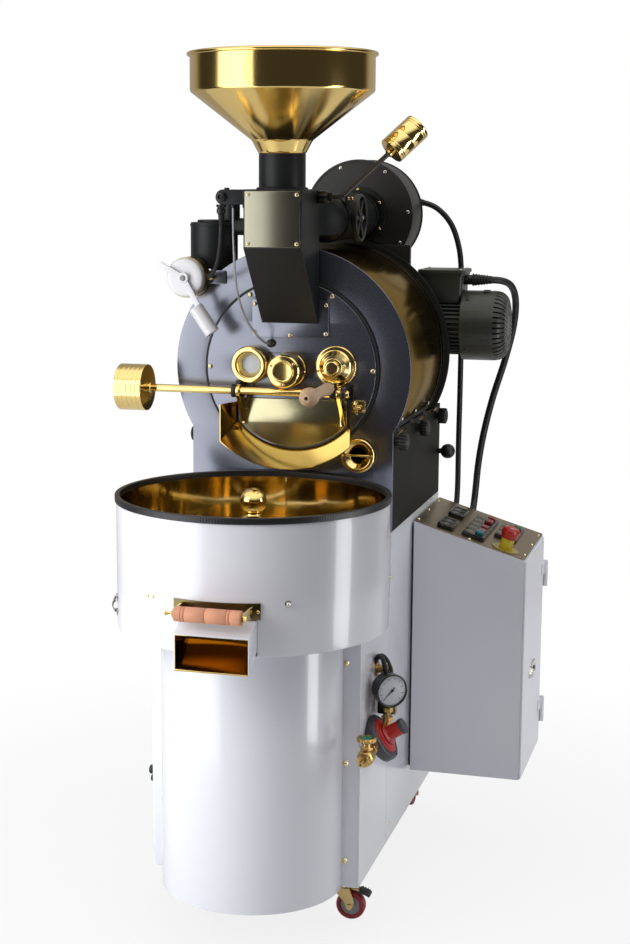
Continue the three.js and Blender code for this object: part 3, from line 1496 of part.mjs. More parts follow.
function valveHandle() {
  return turned('z', [
    [valveStem / 2 + slip, 0], [handleDiscRadius - capRim, 0], [handleDiscRadius, capRim],
    [handleDiscRadius, handleDiscThick - capRim], [handleDiscRadius - capRim, handleDiscThick],
    [0, handleDiscThick], [0, handleDiscThick - capRim], [valveStem / 2 + slip, handleDiscThick - capRim],
    [valveStem / 2 + slip, 0],
  ], 0, 0, coarse);
}

// Work lamp
function lampBase() {
  const back = plateFront - seat;
  const bell = turned('y', [
    [0, lampFront], [lampRadius * 0.5, lampFront], [lampRadius * 0.85, lampFront + lampBell / 3],
    [lampRadius, lampFront + lampBell], [lampRadius, back - lampStrapThick], [0, back - lampStrapThick],
  ], lampX, lampZ, round);
  return join(bell,
    box(lampX - lampStrapHalf, lampStrapEnd, back - lampStrapThick - seat, back, lampZ - lampStrapHalf, lampZ + lampStrapHalf),
    rod('y', lampPin, lampFront - lampArmThick * 3, lampFront + seat, lampX, lampZ, small));
}

function lampArm() {
  const strip = (turn, length) => {
    const bar = join(box(0, length, -lampArmThick / 2, lampArmThick / 2, -lampArmHalf, lampArmHalf),
      rod('y', lampArmHalf, -lampArmThick / 2, lampArmThick / 2, length, 0, small));
    return bar.rotate([0, -turn, 0]);
  };
  const joint = [lampArmDown * Math.cos(lampDownTurn * degree), lampArmDown * Math.sin(lampDownTurn * degree)];
  const head = cut(
    rod('x', lampHead, -lampArmHalf, lampHeadLength, 0, 0, coarse),
    rod('x', lampHead - lampHeadSheet, lampHead, lampHeadLength + overrun, 0, 0, coarse))
    .rotate([0, -lampHeadTurn, 0]).translate([joint[0], -lampHead - lampArmThick / 2 + seat, joint[1]]);
  return cut(join(
    rod('y', lampArmHalf * 2, -lampArmThick / 2, lampArmThick / 2, 0, 0, coarse),
    strip(lampUpTurn, lampArmUp), strip(lampDownTurn, lampArmDown), head,
  ), rod('y', lampPin + slip, -overrun, overrun, 0, 0, small));
}

// Cables run as tubes between their glands
function cable(radius, points, steps, sides) {
  const path = new THREE.CatmullRomCurve3(points.map(([x, y, z]) => new THREE.Vector3(x, y, z)), false, 'centripetal');
  return tube(radius, path, steps, sides);
}

// Fixed body of the machine
piece(group, 'base_body', baseBody(), whitePaint());
piece(group, 'base_floor', baseFloor(), zinc());
piece(group, 'front_shell', frontShell(), whitePaint());
piece(group, 'upper_frame', upperFrame(), darkPaint());
piece(group, 'front_plate', frontPlate(), darkPaint());
piece(group, 'front_disc', frontDisc(), darkPaint());
piece(group, 'rear_plate', rearPlate(), darkPaint());
piece(group, 'drum_jacket', drumJacket(), steel());
piece(group, 'discharge_trough', dischargeTrough(), brass());
piece(group, 'bearing_cap', bearingCap(), brass());
piece(group, 'sight_port', sightPort(), brass());
piece(group, 'trier_port', trierPort(), brass());
piece(group, 'inspection_port', inspectionPort(), brass());
piece(group, 'charge_box', chargeBox(), darkPaint());
piece(group, 'hopper', hopper(), brass());
piece(group, 'exhaust_duct', exhaustDuct(), darkPaint());
piece(group, 'fan_housing', fanHousing(), blackPaint());
piece(group, 'lamp_base', lampBase(), blackPaint());
piece(group, 'gearbox', gearbox(), greyPaint());
piece(group, 'drive_motor', driveMotor(), greyPaint());
piece(group, 'tray_shell', trayShell(), whitePaint());
piece(group, 'tray_trim', trayTrim(), rubber());
piece(group, 'tray_floor', trayFloor(), brass());
piece(group, 'tray_gearbox', trayGearbox(), greyPaint());
piece(group, 'spout', spout(), whitePaint());
piece(group, 'control_cabinet', controlCabinet(), greyPaint());
piece(group, 'gas_pipework', gasPipework(), brass());
piece(group, 'gas_regulator', gasRegulator(), greyPaint());

// Panel and its buttons lie on the sloping cabinet top
const panel = place(group, baseHalf + seat, 0, cabinetHigh);
panel.rotation.y = Math.atan2(cabinetHigh - cabinetLow, cabinetRight - baseHalf - seat);
piece(panel, 'control_panel', controlPanel(), steel());
const blockFace = seat + panelSheet + blockProud;
const spots = capSpots();
piece(place(panel, ...spots.teal, blockFace), 'cap_teal', switchCap(), finish(0x1d8f8a, 0.4, 0));
piece(place(panel, ...spots.redOne, blockFace), 'cap_red_front', switchCap(), redPlastic());
piece(place(panel, ...spots.redTwo, blockFace), 'cap_red_rear', switchCap(), redPlastic());
piece(place(panel, ...spots.green, blockFace), 'cap_green', switchCap(), finish(0x2d9a4d, 0.4, 0));
const stopFace = seat + panelSheet + stopCollarTall;
piece(place(panel, stopAt, stopY, stopFace), 'emergency_stop', emergencyStop(), redPlastic());

// Moving pieces
piece(group, 'drum', drum(), steel());
piece(group, 'fan_impeller', fanImpeller(), steel());
piece(place(group, 0, trayY, 0), 'agitator', agitator(), brass());
piece(group, 'discharge_door', dischargeDoor(), brass());
piece(group, 'door_shaft', doorShaft(), brass());
piece(group, 'door_handle', doorHandle(), wood());
piece(group, 'charge_lever', chargeLever(), steel());
piece(group, 'charge_weight', chargeWeight(), brass());
piece(group, 'damper', damper(), darkPaint());
piece(group, 'trier', trier(), brass());
piece(group, 'gate_slide', gateSlide(), brass());
const rollerFrame = place(group, rollerX, trayY - trayRadius - gateArmReach, rollerZ);
piece(rollerFrame, 'gate_roller', gateRoller(), finish(0xb5523a, 0.45, 0));
piece(group, 'cabinet_door', cabinetDoorLeaf(), greyPaint());
const handleFrame = place(group, pipeX, valveY, valveStemTop - handleDiscThick);
piece(handleFrame, 'valve_handle', valveHandle(), finish(0x2f8f4a, 0.45, 0));
const knobFrame = place(group, pipeX, regulatorY, pipeZ);
knobFrame.rotation.y = right - regulatorTilt * degree;
const knobSeat = place(knobFrame, 0, 0, regulatorThick / 2 + capRim * 2);
piece(knobSeat, 'regulator_knob', regulatorKnob(), redPlastic());
const armFrame = place(group, lampX, lampFront - lampArmThick * 1.5, lampZ);
piece(armFrame, 'lamp_arm', lampArm(), blackPaint());

// Castors: swivelling at the front, fixed at the rear
for (const [side, x] of [['left', -castorX], ['right', castorX]]) {
  const swivel = place(group, x, castorFrontY, 0);
  piece(swivel, `front_fork_${side}`, frontFork(), zinc());
  piece(place(swivel, trail, 0, wheelRadius), `front_wheel_${side}`, castorWheel('y'), rubber());
  piece(place(group, x, castorRearY, wheelRadius), `rear_wheel_${side}`, castorWheel('x'), rubber());
}

// Cables between their glands
const armGlandX = glandRadius - cableArmReach;
const armGlandY = (cableArmFront + cableArmRear) / 2;
const armGlandZ = cableArmLow - glandDepth - seat * 2;
const fanBoxSide = ductX + fanMotor * fanBoxShare + seat * 3;
const cabinetBack = cabinetRear + seat * 3;
const lampCablePath = [
  [armGlandX, armGlandY, armGlandZ], [armGlandX, armGlandY, 1398], [-116, -114, 1352], [-134, -78, 1312],
  [-156, -44, 1288], [lampX + lampRadius + lampCable + seat, lampFront + lampBell, lampZ],
];
const probePath = [
  [-84, armGlandY, cableArmLow - seat * 2], [-84, armGlandY, 1412], [-84, -123, 1340], [-84, -104, 1262],
  [-74, -76, 1202], [-58, -46, 1164], [-46, -22, 1147], [-41.5, -10, 1145], [-41.5, -2, 1145],
];
const motorCablePath = [
  [terminalRight + glandDepth + seat * 2, motorY, terminalGland], [308, motorY, 1256], [333, 490, 1256],
  [354, 504, 1254], [370, 527, 1246], [378, 556, 1226], [379, 581, 1191], [372, 599, 1140], [354, 607, 1066], [326, 606, 970],
  [306, 605, 880], [296, 604.5, 810], [292, 604, 760], [290, 595.2, 723], [290, 571, 698.8], [290, 538, 690],
  [290, cabinetBack, 690],
];
const fanCablePath = [
  [fanBoxSide, 571, 1430], [142, 571, 1430], [186, 573, 1418], [222, 580, 1382], [242, 590, 1324],
  [248, 598, 1250], [249, 603, 1150], [249, 604, 1000], [248, 604, 860], [248, 604, 760], [248, 595.2, 723],
  [248, 571, 698.8], [248, 538, 690], [248, cabinetBack, 690],
];
piece(group, 'lamp_cable', cable(lampCable, lampCablePath, 16, 8), rubber());
piece(group, 'probe_wire', cable(probeWire, probePath, 22, 6), steel());
piece(group, 'motor_cable', cable(motorCable, motorCablePath, 24, 8), rubber());
piece(group, 'fan_cable', cable(fanCable, fanCablePath, 24, 8), rubber());

// Origin at the middle of the underside of the bounding box
group.updateMatrixWorld(true);
const bounds = new THREE.Box3().setFromObject(group, true);
const middle = bounds.getCenter(new THREE.Vector3());
group.position.set(-middle.x, -middle.y, -bounds.min.z);
group.updateMatrixWorld(true);

export default group;
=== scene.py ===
import json
import math

import bmesh
import bpy
import numpy as np
from mathutils import Matrix, Vector

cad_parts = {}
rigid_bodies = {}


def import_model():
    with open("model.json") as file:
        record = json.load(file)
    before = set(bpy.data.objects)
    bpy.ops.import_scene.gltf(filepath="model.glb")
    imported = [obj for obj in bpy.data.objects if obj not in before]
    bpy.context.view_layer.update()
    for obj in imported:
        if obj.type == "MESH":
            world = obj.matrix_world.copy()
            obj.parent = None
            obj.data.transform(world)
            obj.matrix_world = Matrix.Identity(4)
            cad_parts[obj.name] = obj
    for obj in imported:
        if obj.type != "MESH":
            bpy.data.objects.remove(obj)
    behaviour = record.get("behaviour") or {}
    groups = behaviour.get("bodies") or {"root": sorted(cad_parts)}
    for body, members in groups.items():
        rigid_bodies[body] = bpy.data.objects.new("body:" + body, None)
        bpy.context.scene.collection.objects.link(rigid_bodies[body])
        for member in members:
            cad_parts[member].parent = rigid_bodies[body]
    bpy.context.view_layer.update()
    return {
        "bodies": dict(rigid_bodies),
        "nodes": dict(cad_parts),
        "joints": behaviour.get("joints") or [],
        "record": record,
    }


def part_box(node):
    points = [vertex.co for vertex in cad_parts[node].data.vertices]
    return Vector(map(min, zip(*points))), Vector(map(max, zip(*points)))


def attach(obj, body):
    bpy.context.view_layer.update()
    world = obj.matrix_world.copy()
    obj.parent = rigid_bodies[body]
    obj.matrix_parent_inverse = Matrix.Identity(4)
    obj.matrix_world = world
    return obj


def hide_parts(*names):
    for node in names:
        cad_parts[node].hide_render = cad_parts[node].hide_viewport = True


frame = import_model()
nodes = frame["nodes"]

# Sizes are millimetres in the machine's own frame: X = 0 on the drum's axis, Y = 0 on the
# face of the front disc, Z = 0 on the floor. The front plate gives where that frame lies.
mm = 0.001
plateLow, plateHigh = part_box("front_plate")
plateFace = 10
machineOrigin = np.array([(plateLow.x + plateHigh.x) / 2, plateLow.y - plateFace * mm, 0.0])
drumZ = 1093
trayY = -266
drumAxis = (0, 0, drumZ)
trayAxis = (0, trayY, 0)
print("stage: frame loaded,", len(nodes), "nodes")


def sceneObject(name, data):
    made = bpy.data.objects.new(name, data)
    bpy.context.scene.collection.objects.link(made)
    return made


def machinePoint(x, y, z):
    return np.array([x, y, z], float) * mm + machineOrigin


class Signal:
    # a socket whose arithmetic adds Math nodes
    def __init__(self, finish, socket):
        self.finish = finish
        self.socket = socket

    def maths(self, operation, other=0.0, reflected=False):
        first, second = (other, self) if reflected else (self, other)
        return self.finish.node("ShaderNodeMath", {"operation": operation}, {0: first, 1: second})

    def __add__(self, other):
        return self.maths("ADD", other)

    __radd__ = __add__

    def __sub__(self, other):
        return self.maths("SUBTRACT", other)

    def __rsub__(self, other):
        return self.maths("SUBTRACT", other, True)

    def __mul__(self, other):
        return self.maths("MULTIPLY", other)

    __rmul__ = __mul__


class Finish:
    # one material; node() adds any node and gives back one of its outputs
    def __init__(self, name):
        self.material = bpy.data.materials.new(name)
        self.material.use_nodes = True
        self.tree = self.material.node_tree
        self.shader = self.tree.nodes["Principled BSDF"]
        self.place = self.node("ShaderNodeTexCoord", {}, {}, "Object")

    def node(self, kind, settings, sockets, output=0):
        made = self.tree.nodes.new(kind)
        for key, value in settings.items():
            setattr(made, key, value)
        for key, value in sockets.items():
            self.feed(made.inputs[key], value)
        return Signal(self, made.outputs[output])

    def feed(self, socket, value):
        if isinstance(value, Signal):
            self.tree.links.new(value.socket, socket)
        else:
            socket.default_value = value

    def set(self, **sockets):
        for key, value in sockets.items():
            self.feed(self.shader.inputs[key.replace("_", " ")], value)
        return self

    def stretched(self, x, y, z):
        return self.node("ShaderNodeMapping", {}, {"Vector": self.place, "Scale": (x, y, z)})

    def noise(self, scale, detail=2.0, vector=None):
        sockets = {"Vector": vector or self.place, "Scale": scale, "Detail": detail}
        return self.node("ShaderNodeTexNoise", {}, sockets, "Fac")

    def blend(self, factor, first, second):
        sockets = {0: factor, 6: first, 7: second}
        return self.node("ShaderNodeMix", {"data_type": "RGBA"}, sockets, 2)

    def sine(self, angle):
        return self.node("ShaderNodeMath", {"operation": "SINE"}, {0: angle})

    def smoothStep(self, value, low, high, first=0.0, last=1.0):
        # an S-shaped rise from one number to another, while the value goes from low to high
        return self.node("ShaderNodeMapRange", {"interpolation_type": "SMOOTHSTEP"},
                         {"Value": value, 1: low, 2: high, 3: first, 4: last})

    def ray(self, kind):
        # 1 for light rays of one kind, otherwise 0
        return self.node("ShaderNodeLightPath", {}, {}, f"Is {kind} Ray")

    def bump(self, height, depth):
        return self.set(Normal=self.node("ShaderNodeBump", {},
                                         {"Height": height, "Distance": depth}))


def between(factor, low, high):
    # straight blend of two numbers by a factor
    return low + (high - low) * factor


def rgb(screen):
    # a colour as it is read off a screen, 0 to 255, in linear light
    screen = np.array(screen) / 255
    linear = np.where(screen > 0.04045, ((screen + 0.055) / 1.055) ** 2.4, screen / 12.92)
    return (*linear.tolist(), 1.0)


def polishedMetal(name, light, dark, low, high, ripple=0.0001, ripples=9.0, edge=(1, 1, 1, 1)):
    # two tones drift in cloudy patches, and slow ripples bend the reflections
    finish = Finish(name)
    cloud = finish.noise(6.0, 3.0)
    fine = finish.noise(420.0, 2.0)
    finish.set(Base_Color=finish.blend(cloud, rgb(light), rgb(dark)), Metallic=1.0,
               Specular_Tint=edge)
    finish.set(Roughness=between(cloud * 0.6 + fine * 0.4, low, high))
    finish.bump(finish.noise(ripples, 1.0) + fine * 0.01, ripple)
    return finish.material


def enamel(name, color, shade, rough, coat=0.0, peel=0.00006, grain=900.0, gloss=0.5, ior=1.5,
           tint=(1, 1, 1, 1)):
    # sprayed paint: even colour with a slight drift, and orange peel as a fine bump
    finish = Finish(name)
    drift = finish.noise(3.0, 2.0)
    finish.set(Base_Color=finish.blend(drift, rgb(color), rgb(shade)), Coat_Weight=coat)
    finish.set(Coat_Roughness=0.06, Specular_IOR_Level=gloss, IOR=ior, Specular_Tint=tint)
    finish.set(Roughness=between(drift, rough, rough * 1.25))
    finish.bump(finish.noise(grain, 1.0), peel)
    return finish.material


def darker(color, share):
    return tuple(c * share for c in color[:3]) + (1.0,)


def plainPlastic(name, color, rough=0.35, grain=1400.0, depth=0.00004):
    # moulded plastic or rubber: small grain in bump and roughness
    finish = Finish(name)
    color = rgb(color)
    grainNoise = finish.noise(grain, 1.0)
    drift = finish.noise(30.0, 2.0)
    finish.set(Base_Color=finish.blend(drift, color, darker(color, 0.82)))
    finish.set(Roughness=between(grainNoise, rough * 0.85, rough * 1.2))
    finish.bump(grainNoise, depth)
    return finish.material


def turnedWood(name, pale, deep, along=1, rings=70.0):
    # growth rings: stripes across the piece, bent by noise drawn out along its length
    finish = Finish(name)
    scale = [60.0, 60.0, 60.0]
    scale[along] = 5.0
    grain = finish.noise(1.0, 4.0, finish.stretched(*scale))
    fibre = finish.noise(1.0, 2.0, finish.stretched(*[s * 8 for s in scale]))
    band = finish.sine(grain * rings * 0.35)
    tone = (band * 0.5 + 0.5) * 0.55 + fibre * 0.45
    finish.set(Base_Color=finish.blend(tone, rgb(pale), rgb(deep)),
               Roughness=between(fibre, 0.45, 0.7))
    finish.bump(fibre + tone * 0.5, 0.0002)
    return finish.material


def brushedSteel(name, tone, along=1, low=0.22, high=0.42):
    # fine lines drawn out along one axis
    finish = Finish(name)
    scale = [900.0, 900.0, 900.0]
    scale[along] = 12.0
    lines = finish.noise(1.0, 3.0, finish.stretched(*scale))
    finish.set(Base_Color=finish.blend(lines, rgb(tone), darker(rgb(tone), 0.8)), Metallic=1.0)
    finish.set(Roughness=between(lines, low, high))
    finish.bump(lines, 0.00003)
    return finish.material


# metals: two tones, lowest and highest roughness, depth in metres and number of the ripples
# to the metre, tint of the edge. Enamels: two tones, roughness, clear coat, depth and number of
# the orange peel. Plastics: tone, roughness, number and depth of the grain.
brass = polishedMetal("polishedBrass", (240, 216, 150), (222, 190, 116), 0.06, 0.14)
spunBrass = polishedMetal("spunBrass", (238, 212, 142), (216, 182, 104), 0.09, 0.18, 0.0004, 12.0)
faceBrass = polishedMetal("faceBrass", (154, 152, 136), (122, 120, 102), 0.2, 0.3, 0.0002, 7.0)
cloudyBrass = polishedMetal("cloudyBrass", (214, 208, 172), (160, 154, 122), 0.10, 0.26, 0.0001,
                            26.0)
# a darker, browner copy of the brass: painted shade for the gate face
gateShadeBronze = polishedMetal("gateShadeBronze", (122, 112, 76), (72, 66, 40), 0.18, 0.32, 0.0004, 30.0)
jacketMetal = polishedMetal("jacketSteel", (150, 128, 82), (132, 110, 66), 0.14, 0.2, 0.00004, 4.0,
                            (0.82, 0.70, 0.48, 1))
whitePaint = enamel("whiteEnamel", (238, 239, 246), (232, 234, 242), 0.22, 0.6)
cabinetPaint = enamel("cabinetPaint", (242, 243, 249), (236, 238, 246), 0.38, 0.1, 0.0001, 700.0)
darkPaint = enamel("darkPlatePaint", (50, 53, 62), (42, 45, 54), 0.2, 0.0, 0.000014, 1100.0, 0.5,
                   2.75, (0.80, 0.84, 1, 1))
boxPaint = enamel("chuteBoxPaint", (34, 36, 38), (26, 28, 29), 0.36, 0.0, 0.0001, 1100.0, 0.25)
fanPaint = enamel("fanPaint", (46, 47, 47), (36, 37, 37), 0.36, 0.0, 0.00012, 600.0, 0.4)
motorPaint = enamel("motorPaint", (78, 82, 74), (62, 66, 60), 0.34, 0.15, 0.00016, 500.0, 0.4)
blackPlastic = plainPlastic("blackPlastic", (26, 27, 30), 0.38)
blackRubber = plainPlastic("blackRubber", (24, 24, 26), 0.6, 700.0, 0.0001)
redPlastic = plainPlastic("redPlastic", (200, 22, 12), 0.3)
greenPlastic = plainPlastic("greenPlastic", (20, 132, 88), 0.35)
tealPlastic = plainPlastic("tealPlastic", (34, 124, 132), 0.35)
yellowPlastic = plainPlastic("yellowPlastic", (230, 206, 20), 0.4)
whitePlastic = plainPlastic("whitePlastic", (226, 226, 224), 0.4)
greyPlastic = plainPlastic("greyPlastic", (84, 84, 84), 0.45)
tyreRed = plainPlastic("tyreRed", (150, 22, 30), 0.4)
zinc = polishedMetal("yellowZinc", (210, 186, 130), (168, 144, 96), 0.26, 0.44, 0.0003, 60.0)
brightSteel = polishedMetal("brightSteel", (214, 212, 208), (176, 174, 172), 0.12, 0.26)
screwBrass = polishedMetal("screwBrass", (232, 220, 184), (206, 188, 144), 0.12, 0.24)
panelSteel = brushedSteel("panelSteel", (160, 145, 116), 1)
darkSteel = brushedSteel("darkSteel", (66, 64, 62), 0)
handleWood = turnedWood("handleWood", (222, 192, 158), (186, 150, 116))
gripWood = turnedWood("gripWood", (226, 162, 128), (202, 134, 102), 0, 30.0)
trayBrass = polishedMetal("trayBrass", (242, 216, 148), (228, 196, 122), 0.05, 0.11, 0.0009, 10.0)
trimRubber = plainPlastic("trimRubber", (30, 31, 34), 0.34, 500.0, 0.00008)
framePaint = enamel("frameBlackPaint", (36, 37, 33), (28, 29, 26), 0.5, 0.0, 0.00014, 900.0, 0.2)
knobPlastic = plainPlastic("knobPlastic", (22, 22, 23), 0.42)
jacketBand = polishedMetal("jacketBand", (60, 56, 48), (44, 40, 34), 0.2, 0.34, 0.0002, 30.0)
lampWhite = enamel("lampWhite", (238, 238, 240), (226, 226, 232), 0.28, 0.3, 0.00005, 900.0)
lampBrass = polishedMetal("lampBrass", (206, 186, 134), (164, 142, 92), 0.2, 0.34, 0.0003, 30.0)
glossBlack = plainPlastic("glossBlack", (22, 23, 24), 0.2, 300.0, 0.00001)
windowGrey = plainPlastic("windowGrey", (50, 50, 44), 0.2, 200.0, 0.00001)
labelSilver = brushedSteel("labelSilver", (150, 142, 124), 1, 0.3, 0.44)
redLens = plainPlastic("redLens", (150, 20, 20), 0.2, 200.0, 0.00001)
yellowDisc = plainPlastic("yellowDisc", (176, 158, 60), 0.26, 200.0, 0.00002)
dialWhite = plainPlastic("dialWhite", (222, 224, 232), 0.3, 200.0, 0.00001)
gasBrass = polishedMetal("gasBrass", (214, 182, 118), (150, 118, 66), 0.2, 0.36, 0.0004, 60.0)
regulatorGrey = plainPlastic("regulatorGrey", (66, 68, 74), 0.4)
galvanised = polishedMetal("galvanised", (176, 178, 182), (140, 142, 146), 0.34, 0.5, 0.0002, 40.0)
hubGrey = plainPlastic("hubGrey", (150, 150, 152), 0.4)
drumSteel = polishedMetal("drumSteel", (120, 112, 104), (70, 62, 56), 0.34, 0.52, 0.0003, 20.0)
paneGlass = plainPlastic("paneGlass", (206, 214, 224), 0.08, 60.0, 0.00001)
print("stage: finishes made")


def gridFaces(rows, columns, wrap=True, closed=False):
    # quads between neighbouring rows of a grid; wrap joins the last column to the first, and
    # closed joins the last row to the first
    row = np.arange(rows - 1)[:, None]
    column = np.arange(columns if wrap else columns - 1)[None, :]
    after = (column + 1) % columns
    corners = [row * columns + column, row * columns + after,
               (row + 1) * columns + after, (row + 1) * columns + column]
    faces = np.stack(corners, -1).reshape(-1, 4).tolist()
    if closed:
        ring, last = np.arange(columns), (rows - 1) * columns
        ahead = (ring + 1) % columns
        faces += np.stack([last + ring, last + ahead, ahead, ring], -1).tolist()
    return faces


def endFaces(rows, columns):
    # the two faces that fill the ends of a tube
    last = (rows - 1) * columns
    return [list(range(columns))[::-1], [last + i for i in range(columns)]]


def softened(profile, radius=1.0, steps=3):
    # each corner of a profile is replaced by a short curve: the quadratic blend of the points
    # before, at and after the corner, which start no further than the radius from it
    points = np.array(profile, float)
    before, corner, after = points[:-2], points[1:-1], points[2:]
    back, ahead = before - corner, after - corner
    backLength = np.linalg.norm(back, axis=1, keepdims=True) + 1e-9
    aheadLength = np.linalg.norm(ahead, axis=1, keepdims=True) + 1e-9
    start = corner + back / backLength * np.minimum(radius, backLength * 0.45)
    end = corner + ahead / aheadLength * np.minimum(radius, aheadLength * 0.45)
    t = np.linspace(0, 1, steps + 1)[None, :, None]
    curve = (start[:, None] * (1 - t) ** 2 + 2 * corner[:, None] * t * (1 - t)
             + end[:, None] * t ** 2)
    return np.vstack([points[:1], curve.reshape(-1, 2), points[-1:]])


def softRing(corners, radius=0.8, steps=3):
    # a closed profile with every corner softened
    around = [corners[-1], *corners, corners[0]]
    return softened(around, radius, steps)[1:-1]


axisTurns = {
    "x": Matrix(((0, 0, 1), (1, 0, 0), (0, 1, 0))),
    "y": Matrix(((1, 0, 0), (0, 0, 1), (0, 1, 0))),
    "z": Matrix(((1, 0, 0), (0, 1, 0), (0, 0, 1))),
}


def aimed(points, axis, centre):
    # shapes are worked out about +Z, then turned so that Z lies along the axis, and moved
    if isinstance(axis, str):
        turn = np.array(axisTurns[axis])
    else:
        turn = np.array(Vector((0, 0, 1)).rotation_difference(Vector(axis)).to_matrix())
    return points @ turn.T + np.array(centre, float)


def turned(profile, axis="z", centre=(0, 0, 0), sides=64, closed=False):
    # surface of revolution: x = radius·cos, y = radius·sin, z = distance along the axis
    radius, along = np.array(profile, float).T
    angle = np.arange(sides) / sides * 2 * np.pi
    x, y = np.outer(radius, np.cos(angle)), np.outer(radius, np.sin(angle))
    points = np.stack([x, y, np.repeat(along[:, None], sides, 1)], -1).reshape(-1, 3)
    return aimed(points, axis, centre), gridFaces(len(radius), sides, closed=closed)


def roundCut(radius, low, high, axis, centre, sides):
    # plain cylinder from one height to another, to cut with
    return turned([(0, low), (radius, low), (radius, high), (0, high)], axis, centre, sides)


def roundBar(radius, low, high, soft, axis, centre, sides):
    # solid cylinder with softened edges
    return turned(softened([(0, low), (radius, low), (radius, high), (0, high)], soft), axis,
                  centre, sides)


def roundSleeve(inner, outer, low, high, soft, axis, centre, sides):
    # hollow cylinder with softened edges
    corners = [(inner, low), (outer, low), (outer, high), (inner, high)]
    return turned(softRing(corners, soft), axis, centre, sides, closed=True)


def roundBush(inner, outer, low, high, soft, axis, centre, sides):
    # hollow cylinder whose bore keeps sharp edges
    corners = [(inner, low), (outer, low), (outer, high), (inner, high)]
    return turned(softened(corners, soft), axis, centre, sides, closed=True)


def arcPoints(radius, start, end, steps, centre=(0, 0)):
    # points of a circle from one angle to another, in degrees
    angle = np.radians(np.linspace(start, end, steps))
    return np.stack([centre[0] + radius * np.cos(angle), centre[1] + radius * np.sin(angle)], -1)


def roundedRectangle(x0, x1, y0, y1, radius, steps=4):
    # a rectangle whose corners are quarter circles
    corners = [((x1 - radius, y0 + radius), -90), ((x1 - radius, y1 - radius), 0),
               ((x0 + radius, y1 - radius), 90), ((x0 + radius, y0 + radius), 180)]
    return np.vstack([arcPoints(radius, start, start + 90, steps + 1, c) for c, start in corners])


def plate(loops, low, high, axis="z", centre=(0, 0, 0), bevel=0.4, rounding=2):
    # a filled flat curve, raised between two heights with rounded edges; inner loops are holes.
    # The bevel adds its own width to a curve, so each loop is drawn in by an offset of -bevel.
    curve = bpy.data.curves.new("flat", "CURVE")
    curve.dimensions, curve.fill_mode = "2D", "BOTH"
    bevel = min(bevel, (high - low) * 0.45)
    curve.extrude, curve.bevel_depth, curve.offset = (high - low) / 2 - bevel, bevel, -bevel
    curve.bevel_resolution = rounding
    for loop in loops:
        spline = curve.splines.new("POLY")
        flat = np.column_stack([loop, np.zeros(len(loop)), np.ones(len(loop))])
        spline.points.add(len(loop) - 1)
        spline.points.foreach_set("co", flat.ravel())
        spline.use_cyclic_u = True
    holder = sceneObject("flat", curve)
    graph = bpy.context.evaluated_depsgraph_get()
    mesh = bpy.data.meshes.new_from_object(holder.evaluated_get(graph))
    points, faces = meshArrays(mesh)
    bpy.data.objects.remove(holder)
    bpy.data.curves.remove(curve)
    bpy.data.meshes.remove(mesh)
    points[:, 2] += (low + high) / 2
    return aimed(points, axis, centre), faces


def block(low, high, corner=2.0, axis="z", bevel=0.6):
    # rounded rectangle raised along one axis between two corners of a box
    low, high = np.array(low, float), np.array(high, float)
    middle, half = (low + high) / 2, (high - low) / 2
    order = {"z": (0, 1, 2), "x": (1, 2, 0), "y": (0, 2, 1)}[axis]
    u, v, w = half[list(order)]
    corner = min(corner, u * 0.95, v * 0.95)
    outline = roundedRectangle(-u, u, -v, v, corner, 4)
    return plate([outline], -w, w, axis, middle, bevel)


def swept(path, radius, sides=12):
    # a circle carried along a path: centre + radius·(cos·side + sin·up), side and up turned
    # along with the path
    path = np.array(path, float)
    tangent = np.gradient(path, axis=0)
    tangent /= np.linalg.norm(tangent, axis=1, keepdims=True)
    side = np.zeros_like(path)
    start = np.cross(tangent[0], (0.0, 0.0, 1.0))
    if np.linalg.norm(start) < 0.1:
        start = np.cross(tangent[0], (1.0, 0.0, 0.0))
    for i, direction in enumerate(tangent):
        start = start - direction * start.dot(direction)
        start /= np.linalg.norm(start)
        side[i] = start
    up = np.cross(tangent, side)
    angle = np.arange(sides) / sides * 2 * np.pi
    radius = np.broadcast_to(np.asarray(radius, float), len(path))[:, None, None]
    ring = np.cos(angle)[None, :, None] * side[:, None] + np.sin(angle)[None, :, None] * up[:, None]
    points = (path[:, None] + radius * ring).reshape(-1, 3)
    return points, gridFaces(len(path), sides) + endFaces(len(path), sides)


def lengthAlong(line):
    # how far along it each point of a line is
    return np.concatenate([[0], np.cumsum(np.linalg.norm(np.diff(line, axis=0), axis=1))])


def smoothPath(points, count=60):
    # Catmull-Rom curve through the points, spaced by the square root of their distances,
    # then set out again at even steps
    p = np.array(points, float)
    p = np.vstack([2 * p[0] - p[1], p, 2 * p[-1] - p[-2]])
    knot = np.concatenate([[0], np.cumsum(np.linalg.norm(np.diff(p, axis=0), axis=1) ** 0.5)])
    made = []
    for i in range(1, len(p) - 2):
        t = np.linspace(knot[i], knot[i + 1], 40, endpoint=False)[:, None]
        k0, k1, k2, k3 = knot[i - 1:i + 3]
        a1 = p[i - 1] * (k1 - t) / (k1 - k0) + p[i] * (t - k0) / (k1 - k0)
        a2 = p[i] * (k2 - t) / (k2 - k1) + p[i + 1] * (t - k1) / (k2 - k1)
        a3 = p[i + 1] * (k3 - t) / (k3 - k2) + p[i + 2] * (t - k2) / (k3 - k2)
        b1 = a1 * (k2 - t) / (k2 - k0) + a2 * (t - k0) / (k2 - k0)
        b2 = a2 * (k3 - t) / (k3 - k1) + a3 * (t - k1) / (k3 - k1)
        made.append(b1 * (k2 - t) / (k2 - k1) + b2 * (t - k1) / (k2 - k1))
    line = np.vstack([*made, p[-2:-1]])
    length = lengthAlong(line)
    even = np.linspace(0, length[-1], count)
    return np.stack([np.interp(even, length, line[:, k]) for k in range(3)], -1)


def meshArrays(mesh):
    points = np.empty(len(mesh.vertices) * 3)
    mesh.vertices.foreach_get("co", points)
    return points.reshape(-1, 3), [list(p.vertices) for p in mesh.polygons]


